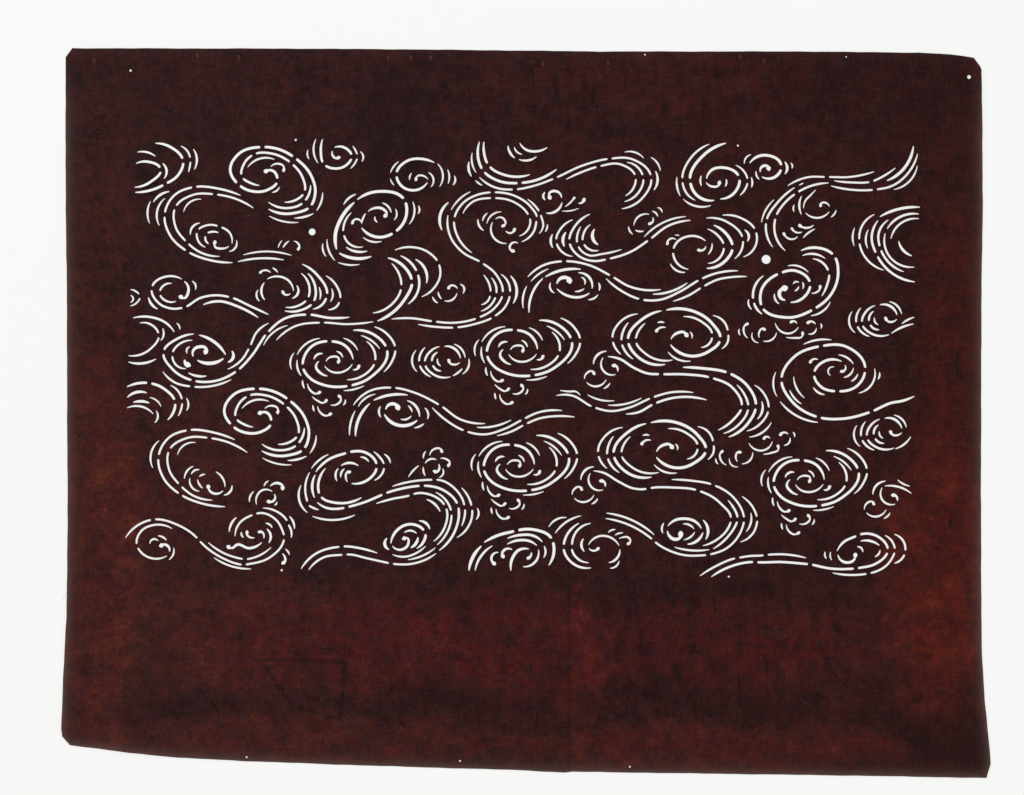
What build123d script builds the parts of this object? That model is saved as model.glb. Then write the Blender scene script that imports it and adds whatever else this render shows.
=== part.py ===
from build123d import *
import math
import os

# Stencil for dyeing kimono cloth: one sheet of laminated, tanned mulberry paper with a pattern of
# swirling water cut through it. Millimetres. It lies flat, face up, with its underside on z = 0.

# The sheet. Its edges were trimmed by hand and its corners are a little clipped and rubbed round.
THICKNESS = 0.3
LEFT, RIGHT = -209.0, 209.0
BOTTOM, TOP = -164.2, 164.2

# Every line of the pattern is cut with a knife, and bridges of paper cross it where it is long.
# It narrows over its last millimetres, to a thin tip or to a blunt end at a bridge.
BRIDGE = 1.9
TAPER_LENGTH = 6.0
TIP_SHARE = 0.45
BLUNT_SHARE = 0.85

# A slit shorter than this is left out, and a side of a slit turns this much at a corner at most.
SHORTEST_SLIT = 12.1
FACET_TURN = 0.6

# Each step of a smooth curve between two of its points.
TRACK_STEPS = 8

# Two round dots punched in the field of the pattern.
LEFT_DOT, LEFT_DOT_RADIUS = (-96.2, 81.5), 1.5
RIGHT_DOT, RIGHT_DOT_RADIUS = (108.0, 69.1), 2.0


def sheet_corners():
    """The trimmed edge, clockwise from the top left corner."""
    top = [(LEFT + 4.9, TOP), (-83.7, TOP - 0.4), (69.3, TOP - 1.7), (168, TOP - 2.3),
        (187.8, TOP - 3.2)]
    top_right = [(RIGHT - 7.4, TOP - 4.5), (RIGHT - 5.2, TOP - 5.6), (RIGHT - 4.4, TOP - 8)]
    right = [(RIGHT - 3.8, 146.3), (RIGHT - 2.7, 97), (RIGHT - 2.9, 67.4), (RIGHT - 4.2, 11.9)]
    right += [(RIGHT - 4.2, -50.4), (RIGHT - 2.9, -124.9), (RIGHT - 1.5, -144.6), (RIGHT, BOTTOM + 5.3)]
    bottom = [(RIGHT - 2, BOTTOM), (138.4, BOTTOM + 0.5), (73.8, BOTTOM + 1.7), (20.7, BOTTOM + 2.8)]
    bottom += [(16.7, BOTTOM + 2.3), (-27.5, BOTTOM + 4.3), (-126.2, BOTTOM + 7.8),
        (-156.3, BOTTOM + 8.8)]
    bottom_left = [(-176.4, BOTTOM + 11.3), (LEFT + 3.9, BOTTOM + 14.8), (LEFT + 0.4, BOTTOM + 18.8)]
    left = [(LEFT, BOTTOM + 22), (LEFT + 1.4, -116.1), (LEFT + 3.9, -50), (LEFT + 3.1, 5.9)]
    left += [(LEFT + 2.7, 66.6), (LEFT + 2.2, TOP - 4.1)]
    return top + top_right + right + bottom + bottom_left + left


def tie(x, y):
    """The middle of a bridge of paper that crosses a line and keeps the sheet together."""
    return (x, y, "tie")


def curl(x, y):
    """The round head that a line starts with."""
    return (x, y, "curl")


def turned(motif, shift, degrees, pivot):
    """The same lines again, turned about the pivot and then shifted."""
    c, s = math.cos(math.radians(degrees)), math.sin(math.radians(degrees))
    copies = []
    for width, *points in motif:
        moved = []
        for x, y, *kind in points:
            dx, dy = x - pivot[0], y - pivot[1]
            x, y = pivot[0] + shift[0] + c * dx - s * dy, pivot[1] + shift[1] + s * dx + c * dy
            moved.append((x, y, *kind))
        copies.append((width, *moved))
    return copies


def whirl_at_left_edge():
    return [
        (1.0, (-174.9, 117.4), (-170.6, 117.4), (-166.7, 115.5)),
        (1.2, (-175.5, 112.3), (-170.1, 113.1), tie(-164.4, 109.5), (-168.4, 104.4), (-176.1, 101.6)),
        (1.2, (-163.6, 112.4), (-161.7, 108.9), (-162.9, 105.5)),
        (1.25, (-166.8, 121.4), (-159.6, 119.5), tie(-154.3, 113.5), (-156.6, 107), tie(-162.4, 103),
         (-168.1, 100.5), (-175.9, 99.3)),
        (0.9, (-155.4, 120.2), (-152.3, 117.8), tie(-151, 114), (-151.3, 110.8), (-151.9, 108.3)),
        (1.1, (-149.7, 118.8), (-148.1, 114.3), (-149.3, 109.5)),
    ]


def open_swirl():
    """A wave that comes round on itself, open to the right."""
    return [
        (1.0, (-162.4, 96.7), (-166, 90.8), (-165, 84.3)),
        (1.0, (-122.6, 92.2), (-131.2, 96.6), tie(-139.9, 98.4), (-150.1, 98.1), tie(-157.8, 92.5),
         (-157.8, 84.1), tie(-152.5, 76.8), (-146.3, 72.2), (-137.8, 70.5)),
        (1.05, (-128.4, 97.9), (-138, 100.9), tie(-149.3, 101.7), (-158.1, 98.1), tie(-162.6, 89.3),
         (-160.3, 80.2), tie(-152.3, 72.7), (-143.4, 69.1), (-132, 67.7)),
        (0.9, (-146, 96.2), (-151.2, 94.9), (-154.1, 90.4)),
    ]


def upper_swirl_eye():
    return [
        (1.2, (-160.4, 99.7), (-164.7, 98.1), (-167.7, 94.9)),
        (1.0, (-168.9, 95.4), (-170.3, 90.6), (-169.3, 85.3)),
        (1.1, (-146.7, 85.5), (-150.1, 83.7), (-151, 80.2)),
        (0.95, (-144.2, 74.6), (-147.6, 77.7), tie(-147.8, 81.9), (-143.6, 84.5), tie(-137.9, 83.9),
         (-133.1, 80.8), (-132.3, 76.2)),
        (1.0, (-142.7, 76.1), (-144.3, 78.2), tie(-143.9, 80.4), (-141.1, 81.6), (-138.3, 81.1)),
        (1.1, curl(-139.5, 77.5), (-140.2, 75.4), (-136.7, 74), (-133.6, 75.1)),
        (1.0, (-130.3, 77.8), (-130.4, 75), (-133.6, 72.7)),
    ]


def lower_swirl_eye():
    return [
        (1.0, (-149.6, -23.9), (-152.8, -26.5), (-153.7, -29.6)),
        (1.0, (-146.9, -25.5), (-149.3, -25.9), (-150.6, -27.6)),
        (1.0, (-151.2, -29.2), (-150.6, -33), (-146.9, -35.2)),
        (0.9, (-144.3, -27.5), (-145.7, -27.8), (-147.1, -28.6)),
        (0.95, (-147.8, -29.8), (-147.1, -31.9), (-145.4, -33.9)),
        (1.2, curl(-142.8, -32.2), (-142.5, -34.7), (-139.5, -36.3), (-136.3, -34.9)),
        (1.0, (-139.6, -26.4), (-136.4, -29.4), (-135.4, -33.3)),
        (1.1, (-132.3, -32.4), (-133.2, -35.5), (-136, -36.9)),
    ]


def swirl_tail():
    return [
        (1.0, (-129.7, 68.1), (-120.1, 69.6), (-108.9, 68.9)),
        (0.85, (-127.3, 71.1), (-117.1, 72.7), (-105.4, 70.9)),
        (0.95, (-110.9, 101.8), (-112.1, 100.1), (-114.3, 99.3)),
        (0.7, (-111.5, 74.3), (-110.9, 76.1), (-109.7, 77.7)),
        (0.9, (-109.4, 74.3), (-108.2, 76.1), (-106.5, 77.5)),
        (0.95, curl(-103, 73.4), (-101.9, 75), (-102.8, 76.6), (-104.5, 77.4)),
    ]


def hook_whirl():
    """A whirl that opens into three long lines to the left below it."""
    return [
        (1.3, curl(-117.8, 108.2), (-115, 109.3), tie(-111.9, 104.5), (-116.3, 100.4), (-121.8, 99.6),
         tie(-129.4, 102.9), (-133.1, 109.6), (-129.6, 116.3), tie(-118.6, 119.7), (-110.7, 118.5),
         tie(-104.1, 114.9), (-96.7, 106.9), (-94.8, 99.5), tie(-97.2, 92.8), (-103.6, 90.1),
         (-109.1, 89.7), (-115.9, 91.8)),
        (1.0, (-125.2, 110.6), (-121.1, 114), (-113.1, 114.1)),
        (1.1, (-119.9, 102.4), (-123.9, 103.5), tie(-127.8, 106.4), (-127, 111.9), tie(-122.4, 116.4),
         (-114.6, 116.8), tie(-105.6, 112.4), (-100.7, 106.4), tie(-99.8, 99.2), (-104.2, 95.6),
         (-108.7, 94.9)),
        (1.1, (-96.9, 102.6), (-97.5, 98.9), tie(-99.9, 95), (-107.7, 92.2), (-115.9, 94.9)),
        (1.0, curl(-109.4, 108.6), (-108.9, 110.6), (-112, 112.2), (-114.9, 110.8)),
        (1.1, (-95.6, 89.8), (-99.6, 88.3), (-104.2, 87.7)),
        (0.85, (-102.3, 85.8), (-109.1, 86.2), (-115.6, 88.7)),
        (1.0, (-91.5, 99.3), (-92, 95.5), (-94.3, 91)),
    ]


def small_eye_top():
    return [
        (0.85, (-98, 118.5), (-98.4, 116.5), (-97.5, 114.2)),
        (0.95, (-94.5, 123.3), (-95.6, 118.5), (-93.5, 112.4)),
        (1.2, (-91.5, 123.3), (-92.3, 117.4), tie(-90.9, 112), (-85.8, 110), (-80.3, 112),
         tie(-78.4, 115.3), (-81, 119.1), (-86.2, 119.5)),
        (1.1, curl(-83.8, 115.6), (-85.2, 114.6), (-86.9, 115.7), (-87.1, 118)),
        (0.85, (-78, 120.2), (-76.5, 117.7), tie(-75.8, 115.4), (-76.9, 112.5), (-79.1, 109.9)),
        (0.95, (-74.6, 117.7), (-73.2, 115.4), (-73.9, 113.1)),
    ]


def round_eye():
    return [
        (1.25, (-44.3, 103.8), (-50.7, 100.2), (-56.9, 103.2), tie(-58.3, 107.4), (-53.5, 113.4),
         (-46.5, 114.3), (-41.2, 112.6)),
        (0.95, (-39.8, 112.2), (-37.4, 107.3), (-38.9, 101.8)),
        (0.95, curl(-49.3, 104.4), (-49.1, 106.4), (-46.9, 106.9), (-44.1, 105)),
        (0.85, (-51.4, 108), (-52.3, 106.5), (-52.3, 104.8)),
        (0.95, (-44, 108.3), (-41.6, 105.1), (-42.8, 101.7)),
        (0.85, (-57.2, 113.2), (-59.7, 110.7), (-61, 108)),
        (0.7, (-61.1, 105.5), (-60.5, 104), (-59.3, 102.4)),
        (0.9, (-35.3, 109.6), (-34.5, 106.4), (-35.1, 103.1)),
        (1.0, (-32.3, 106.8), (-31.8, 104.6), (-33, 102.5)),
    ]


def slanted_whirl():
    return [
        (1.4, (-75.9, 96), (-66.3, 99.7), tie(-54.6, 95.6), (-53.8, 89.2), tie(-59.2, 81.3),
         (-67.2, 79.2), (-74, 83.4)),
        (1.7, (-77.2, 94.8), (-83.5, 87), (-85.8, 80), (-85.2, 73.6)),
        (1.5, (-84.1, 72), (-77.1, 69.6), (-69.5, 70.5)),
        (1.1, (-76.4, 98.5), (-79.8, 96.6), (-82.1, 93.7)),
        (1.0, (-78.5, 90.2), (-81.5, 86), tie(-82.1, 80.9), (-79.3, 76), (-73.3, 74.8)),
        (1.2, (-81, 74.7), (-77.1, 72.8), (-71.4, 72.9)),
        (0.9, (-84.6, 67.8), (-79.1, 66.6), (-74.9, 66.9)),
        (0.95, (-89.5, 78.3), (-88.7, 73), (-85.9, 68.6)),
        (0.95, (-91.4, 76.3), (-91.3, 73), (-89.9, 70.4)),
        (1.0, curl(-78, 84.9), (-77.5, 86.8), (-75.5, 87.2), (-73.8, 85.3)),
        (1.0, (-72.1, 89.9), (-73.3, 87.7), (-74, 85.2)),
        (1.3, curl(-64.2, 88.6), (-62.7, 89.4), (-64.2, 91.7), (-67.7, 92.3), (-71, 90.7)),
        (1.0, (-64.8, 94.6), (-62.3, 93.2), (-60.6, 90.1)),
        (0.9, (-58.8, 91.9), (-58.1, 89.7), (-59.4, 86.8)),
        (0.9, (-67.9, 88.5), (-67.9, 86.9), (-66.8, 85.8)),
        (0.95, (-73.3, 79.1), (-70.1, 77.3), (-64.9, 77.3)),
        (1.0, (-51, 95.2), (-50.2, 90.2), (-52.6, 84.9)),
        (0.95, (-48.5, 93.3), (-47.9, 91.3), (-48.6, 89.6)),
    ]


def sickles():
    """The wave crest between the slanted whirl and the tall one, and the line that runs on from it."""
    return [
        (1.0, (-59, 73.3), (-50.7, 74.6), (-43.7, 72.2), tie(-39.5, 67.7), (-38.6, 62), (-40.8, 57),
         (-47, 52.3)),
        (1.4, (-62.2, 69.8), (-54.7, 65.7), tie(-51.3, 59.1), (-54.5, 51.3), (-60.3, 45),
         (-66.9, 41.4)),
        (1.05, (-60.5, 67.4), (-57.3, 63), tie(-56.1, 56.6), (-60.3, 49), (-68.9, 45)),
        (1.15, (-56.5, 70.8), (-52, 67.8), tie(-48.9, 63.1), (-48.1, 57), (-53.1, 49)),
        (1.3, (-49.8, 69.2), (-45.5, 65), (-44.8, 58.3)),
        (0.95, (-68.7, 41.1), (-80.3, 40), tie(-91.8, 40.7), (-104.3, 38.9), (-112.4, 32.7)),
        (1.0, curl(-34.8, 55.6), (-34.2, 57.2), (-32.3, 57.3), (-30.8, 55.9)),
        (0.95, (-31.1, 54), (-32.8, 51.2), (-36.7, 50.5)),
        (0.9, (-39.5, 54.7), (-39.1, 52.8), (-37.9, 51.3)),
        (0.95, (-42.1, 52.4), (-41.3, 50.8), (-39.6, 49.5)),
        (1.0, (-29.7, 58), (-27.8, 56.2), (-28.5, 53.8)),
    ]


def tall_whirl():
    return [
        (1.4, (-34.8, 94.8), (-38.6, 89.1), (-37.8, 82.3)),
        (0.9, (-24.9, 99.6), (-30.1, 96.1), (-33.7, 91.3)),
        (1.0, (-24.3, 72.1), (-30.6, 79.1), tie(-32.3, 87.1), (-28.1, 94.7), (-22.1, 98.1),
         tie(-15, 99.3), (-4.1, 97.3), (1.9, 93), tie(4.9, 87.3), (4.7, 86.3), (3.4, 81.5), (-2.1, 77)),
        (0.95, (-28.4, 89.7), (-24.6, 94.6), tie(-14.8, 96.7), (-5.6, 95), tie(1.4, 88.4), (1.8, 87.3),
         (0.9, 82.6), (-3.1, 79.6)),
        (0.9, (-11, 90.5), (-15.1, 89.3), (-17.6, 85.2)),
        (0.9, (-17.3, 90), (-19, 88.1), (-19.6, 86.3)),
        (1.1, (-21.6, 87.3), (-21, 84.1), (-19, 82.1)),
        (1.0, (-15, 85.9), (-15.4, 80.5), (-12.6, 77.2), (-8.7, 76.3)),
        (1.0, curl(-11.1, 84.2), (-9.4, 84.8), (-9.7, 87), (-13.7, 87.3)),
        (1.0, curl(-5.1, 83.3), (-5.9, 81.4), (-9.1, 82)),
        (1.1, curl(-5, 73), (-7.1, 73.6), (-6.9, 75.9), (-3.6, 76.4)),
        (0.95, (0.7, 96.2), (4.4, 92.8), tie(6.3, 90), (6.8, 88.5), (7.7, 84), (5.9, 80.7)),
        (0.9, (9.6, 85), (9.4, 83), (8.6, 81.5)),
        (1.0, (-35.1, 89.1), (-33.9, 79.1), (-28.6, 72.4), tie(-20.1, 67.7), (-13.6, 62.5),
         tie(-10.5, 53.5), (-14.4, 47), tie(-21.7, 42.8), (-32.7, 40.6), tie(-41.4, 41.2),
         (-52.2, 42.7), (-60.5, 42.3)),
        (1.0, (-11.3, 62.5), (-8.1, 59), tie(-7.2, 53.6), (-9.4, 47.8), tie(-14.7, 43.2), (-23.2, 40),
         tie(-31.8, 38.5), (-40.7, 38.8), (-48.6, 39.9)),
        (0.95, (-19.2, 62.2), (-16.8, 58.6), tie(-16, 53.7), (-17.2, 50.4), (-20.2, 48.7)),
        (1.0, (-15.6, 60.9), (-13.6, 57.5), tie(-13.5, 53), (-16.1, 48.3), (-20.3, 45.8)),
        (1.3, (-7, 61.8), (-4.4, 57), (-5.8, 49.3)),
    ]


def top_stream():
    """The lines that run in from the top edge and close round the small eye."""
    return [
        (0.9, (-24.2, 117.1), (-24.2, 112.1), (-22.4, 108.1)),
        (1.2, (-25.6, 113.1), (-25.7, 109.1), (-24.5, 106.4)),
        (1.25, (-20.9, 122.1), (-21.7, 116.1), tie(-19.3, 109.1), (-12.2, 104.4), tie(-2.9, 103.5),
         (5.8, 105.2), (13.8, 109.7)),
        (1.2, (-18.9, 122.1), (-18.9, 117.1), tie(-16.9, 111.5), (-9.2, 107), (-2.2, 106.4),
         (1.8, 107.3)),
        (0.9, (-22.8, 104.7), (-21.2, 103.3), (-19.6, 102.4)),
        (1.0, (-21, 106.1), (-14.2, 101.6), tie(-5, 100.6), (3.8, 102.3), tie(13.1, 105.7),
         (24.8, 111.1), tie(37.6, 114.4), (47.8, 114.2), tie(56.3, 106.1), (52.8, 97.2), (43, 91.9)),
        (1.0, (18, 105.1), (24.8, 108.3), tie(32.6, 110.9), (42.8, 111.8), tie(49.3, 106.2),
         (48.3, 101.2), (44.7, 97.7)),
        (0.9, (44.3, 117.4), (49.3, 117.2), (53, 114.6)),
        (1.0, (45.4, 112.8), (50, 110.8), tie(52.7, 106.1), (50.6, 99.2), (44.2, 95.1)),
        (0.9, (56.1, 115.1), (59.1, 112.5), (60.4, 108.9)),
        (1.2, (58.2, 108.9), (59.2, 104.7), (57.5, 100.3)),
        (1.2, (-8.1, 120.3), (-7.2, 117.1), (-5, 114.7)),
        (0.9, (-5.3, 119.7), (-4.2, 117.6), (-1.7, 116.4)),
        (1.2, (-2.8, 121.5), (-0.2, 118.6), (4.3, 117.7), (9.6, 119.5)),
        (1.1, (-3.2, 114.1), (0.3, 113.6), (4.8, 115.4)),
        (1.15, (8.6, 99.4), (7.7, 97.6), (8.7, 95.8)),
        (1.3, curl(11.4, 96.4), (10.4, 98.7), (12.8, 99.9), (16, 96.8)),
        (1.25, (16.2, 94.8), (14.3, 91.4), (9, 90)),
        (0.85, curl(22, 97.3), (20.8, 95.6), (17.5, 92.8)),
        (0.7, (16.1, 90.9), (19.3, 90.9), (23.7, 92.1)),
        (1.1, curl(26.1, 96.8), (25.6, 95), (23.5, 94.4)),
    ]


def small_eye_middle():
    return [
        (1.2, (12, 80.5), (11.1, 77.6), (12.1, 74.3)),
        (1.0, (21.1, 87), (15.9, 83.3), tie(13.6, 77.2), (16, 72.7), (21, 70.5)),
        (1.45, (18, 81.4), (16.6, 78.3), (17.3, 74.9)),
        (1.05, (28.8, 89.5), (22.1, 84.2), tie(19.5, 77.2), (24, 70.5), (30.5, 68.4), tie(36.8, 69.3),
         (47, 72.5), tie(55.6, 78.1), (64.1, 84.3), (74.1, 86.7)),
        (0.95, (24.7, 83.9), (23.1, 80.2), tie(23.2, 75.8), (27.8, 71.1), (34.5, 71.6), (43, 73.6)),
        (1.0, (29, 84.9), (26.3, 81.7), tie(25.7, 76.8), (28.5, 73.6), (32.7, 73.2)),
        (1.6, (30.9, 82.8), (29.9, 79.1), (32.5, 75.7)),
        (0.9, (53.1, 79.2), (61.1, 85.4), (71.9, 88.4)),
        (0.95, (55.4, 89.4), (50.6, 88.4), (48.5, 84.4)),
        (0.9, (49.1, 82.3), (51.1, 81.7), (53, 81.9)),
        (0.9, (46.1, 84), (46.6, 82), (48, 80.4)),
        (0.95, curl(54.9, 85.2), (56.6, 85.6), (56.9, 88.1)),
        (0.9, (56.7, 90.8), (58.3, 90.1), (59.3, 88.3)),
        (0.85, (59, 92.4), (60.5, 91.9), (61.2, 90.1)),
    ]


def twin_whirls():
    """Two whirls, one above the other, with an open eye between the big lines."""
    return [
        (1.0, (82.5, 121), (74, 114.6), tie(70.3, 104.7), (72.5, 98.5), (76.2, 95.7)),
        (1.4, (90, 121.4), (80, 116.1), tie(73.8, 104.5), (76.9, 97.9), (84.7, 95.7)),
        (1.3, (87.3, 96.3), (94.3, 99.8), tie(95.9, 105.9), (89, 110.4), (82.9, 108.8), (81.2, 105.3)),
        (1.15, curl(86.8, 104.5), (86.5, 102.3), (84.4, 101.8), (81, 103.8)),
        (0.95, (78.9, 106.9), (78.4, 104.6), (79, 102.1)),
        (0.95, (90, 105.3), (90.2, 103.5), (89.5, 101.8)),
        (1.0, (67.9, 106.2), (67.9, 102.1), (69.4, 97.6)),
        (1.0, (70.7, 96.3), (76.3, 93.1), (83.2, 93.4)),
        (0.95, (94.3, 111.5), (97.9, 108.9), tie(99.7, 104.4), (98.5, 100.6), (96.2, 97.9)),
        (1.0, (101.3, 106.1), (101.8, 103.4), (101.4, 101.4)),
        (1.0, curl(77.1, 73.7), (79, 73.1), (80.9, 75.1)),
        (1.05, (80.8, 77.4), (74.7, 79.7), tie(66.2, 73), (68.1, 67.3), (73.1, 64.7)),
        (1.05, (64.9, 67.2), (67.6, 64.2), (71.7, 63.3)),
        (0.9, (83.7, 76.5), (83.3, 73.5), (81.8, 71.3)),
        (0.95, curl(63.7, 75.6), (64, 77.7), (67.5, 78)),
        (0.65, (66.9, 80), (68, 80.1), (69, 79.7)),
        (1.05, (81.6, 82.8), (86.2, 80), tie(89, 75.2), (87.5, 70.3), (81.8, 67.3)),
        (1.4, (84.4, 84.5), (90, 80.7), tie(92.9, 74.6), (89.7, 68.5), (81.2, 65.1)),
        (1.0, (81, 87.7), (90.8, 85.8), tie(97.5, 78.3), (96.7, 72.9), (93.8, 69.4)),
        (1.0, (88.3, 89), (96.3, 87.9), tie(103.2, 82.1), (103.3, 75.4), (97.7, 70.2)),
        (1.25, (98.2, 82.4), (100.2, 79.9), (99.5, 77.2)),
        (0.85, (101.3, 116.3), (99, 114.9), (98.2, 112.1)),
        (1.35, (100.6, 112.4), (107.5, 116), tie(114.8, 110.5), (111.4, 105.9), (106.1, 106.3)),
        (1.4, curl(108.8, 109.1), (108.7, 111), (107.2, 111.3), (105.4, 108.4)),
        (0.9, (103.5, 108.9), (103.7, 106.7), (105, 105.1)),
        (1.3, (116.3, 113), (117.5, 110.3), (116.4, 107.5)),
        (0.9, (119.1, 112.6), (119.8, 111.3), (119.6, 110)),
    ]


def top_right_stream():
    return [
        (0.95, (117.7, 102.2), (126.3, 106), tie(135.3, 106.2), (145.8, 106.2), (156.6, 108.6)),
        (0.7, (122.8, 102.4), (123.8, 103), (124.9, 103.4)),
        (1.05, (116.7, 73), (112.3, 79.5), tie(112.4, 88.3), (115.9, 94), tie(121.7, 99),
         (128.9, 102.4), (136.2, 103.5)),
        (1.05, (111, 74.6), (108.2, 80.5), tie(108.1, 86.3), (113.4, 95), (120.9, 101.5)),
        (0.9, (111.6, 96), (107.4, 90.5), (105.9, 85.7)),
        (1.0, (138.5, 104.5), (146.9, 103.7), tie(155.3, 104.1), (160.8, 106.6), (166.2, 110.3)),
        (1.0, (137.1, 102.2), (145.9, 100.5), tie(156.9, 100.5), (164.9, 102.3), (171.3, 107.3),
         (176.1, 116.6)),
        (1.4, (162.3, 104.5), (169.8, 109.8), (174.2, 120.1)),
        (0.9, (165.3, 100.5), (171.4, 103.3), (176, 111.3)),
        (0.9, (130.3, 100.4), (127.9, 97.9), (125.7, 95.6), (124.8, 92)),
        (1.1, (124, 97.7), (122.9, 93.6), (123.9, 89.3)),
        (0.9, (120.7, 93.7), (120.2, 92.1), (120.6, 90.5)),
        (0.95, curl(132.7, 92.7), (132.9, 94.5), (134.4, 94.7), (136.5, 92.8)),
        (1.0, (136.4, 90.6), (131.4, 87.8), (125.7, 90.1)),
        (0.9, (139.5, 91.4), (138.6, 89.4), (137.1, 88.1)),
        (1.05, curl(122.6, 84.9), (124.4, 83.6), (129.4, 84.6)),
        (0.9, curl(119.4, 83.5), (121, 81.5), (124.2, 81.5)),
        (0.95, curl(115.8, 81.3), (117.5, 78.8), (120, 78.2), (122.2, 79.4)),
        (0.95, (130, 82.8), (127, 81.1), (124.6, 78.7)),
    ]


def whirl_at_right_edge():
    return [
        (1.3, (177.2, 92.6), (167.8, 91.8), (159.1, 88.3)),
        (1.15, (176.7, 89.5), (167.6, 87.9), (162.4, 82.8)),
        (1.0, (176.8, 87.4), (168.6, 85.4), (164.1, 78.3)),
        (1.0, (156.8, 89.4), (151.3, 84.5), tie(149.9, 77.2), (153.7, 68.7), (160.9, 64.3)),
        (1.15, (158.4, 86.7), (155.5, 79.8), tie(157.7, 71.3), (164.8, 62.8), (175, 59)),
        (1.1, (163, 86.9), (158.7, 81.2), tie(159.4, 74.1), (163.5, 67.4), (169.9, 63.6)),
        (1.0, (161.6, 81), (162.2, 72.6), (167, 67.3), (174.7, 65.7)),
        (1.3, (167.6, 77.4), (169.5, 73.4), (173.6, 70.7)),
        (0.95, (147.8, 83.4), (146.9, 79.1), (147.6, 75.1)),
        (1.0, (154, 82.6), (152.8, 78.4), (153.7, 74)),
    ]


def left_eye():
    return [
        (1.05, (-154.8, 60.2), (-161.5, 61.5), tie(-168.4, 56.2), (-165.5, 49.7), (-160, 47.1),
         tie(-153.7, 47.6), (-146.5, 51.8), (-139.5, 53), tie(-132.7, 52), (-124, 48.1),
         (-115.8, 44.3)),
        (1.25, (-169.9, 52.1), (-168.6, 49.1), (-165.7, 46.8)),
        (1.0, (-159.3, 58.3), (-163.3, 57.2), tie(-164.8, 54), (-162, 50.5), (-157.4, 50.3)),
        (1.35, curl(-155.8, 53.1), (-154.3, 51.7), (-151.9, 54.7), (-152.1, 57.2), (-153.8, 59.3)),
        (0.95, (-150.3, 59.4), (-148.7, 57.7), (-148.8, 55.4)),
        (1.2, (-145.3, 48.7), (-138, 50.3), (-130, 48.1), (-120.5, 43)),
        (0.85, (-178, 55.6), (-175.3, 54.6), tie(-173.7, 52.7), (-175.2, 49.6), (-178.1, 48.2)),
        (0.95, (-178, 53), (-176.7, 51.4), (-178, 49.8)),
        (1.1, (-176.8, 42.8), (-169, 43.2), (-161.5, 40.2), (-158.2, 36.4)),
        (0.85, (-157.3, 40.5), (-156, 39.2), (-155.8, 37.5)),
        (1.0, (-173.8, 40.5), (-168.3, 39.6), tie(-165.2, 35), (-168.6, 29.2), (-178.9, 25.8)),
        (1.0, (-163.6, 38.2), (-163, 35.5), (-164.4, 32.6)),
        (1.2, (-178.9, 23), (-171.1, 22.6), (-166.4, 24.4)),
    ]


def left_whirl():
    """The whirl at the left whose outer line climbs into the long stream."""
    return [
        (1.15, (-149.4, 35.6), (-157.1, 33.3), tie(-163.1, 27.5), (-159.1, 19.8), tie(-149.6, 14.6),
         (-139.6, 14.5), tie(-129.8, 19.2), (-123.1, 26.2), tie(-116.5, 35.9), (-108.6, 42.5),
         tie(-97.9, 44.3), (-88.1, 42.8), (-79.4, 43.1)),
        (1.4, (-147.1, 35.1), (-140.1, 31.9), (-135.1, 26.2)),
        (1.7, (-136.1, 24.6), (-141.6, 22.4), (-147.9, 23.8)),
        (1.0, (-150, 32.7), (-155.1, 31.6), tie(-159.1, 26.5), (-157.4, 21.6), (-152.9, 20)),
        (0.95, (-151.2, 29.9), (-152.7, 28.4), (-152.4, 26.8)),
        (1.5, curl(-145, 26.9), (-143.8, 28.3), (-147.3, 29.8), (-150, 27.4), (-149.7, 25.4)),
        (1.7, curl(-150.9, 21.9), (-152.9, 22.1), (-153.5, 24.1)),
        (1.2, (-151.9, 18.1), (-148.6, 16.8), (-143.7, 16.7)),
        (1.5, (-132.4, 28), (-131.7, 25.2), (-134.2, 22.9)),
        (1.0, (-163.4, 18.7), (-158.6, 14.1), tie(-150.1, 11.9), (-140.6, 12.3), (-132.6, 15.1)),
        (1.0, (-134.3, 19.7), (-127.8, 24.1), tie(-124.3, 29.8), (-120.9, 36.7), (-115.7, 40.5)),
        (0.9, (-118.1, 30.4), (-113.3, 36.6), (-107.2, 39.4)),
    ]


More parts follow.
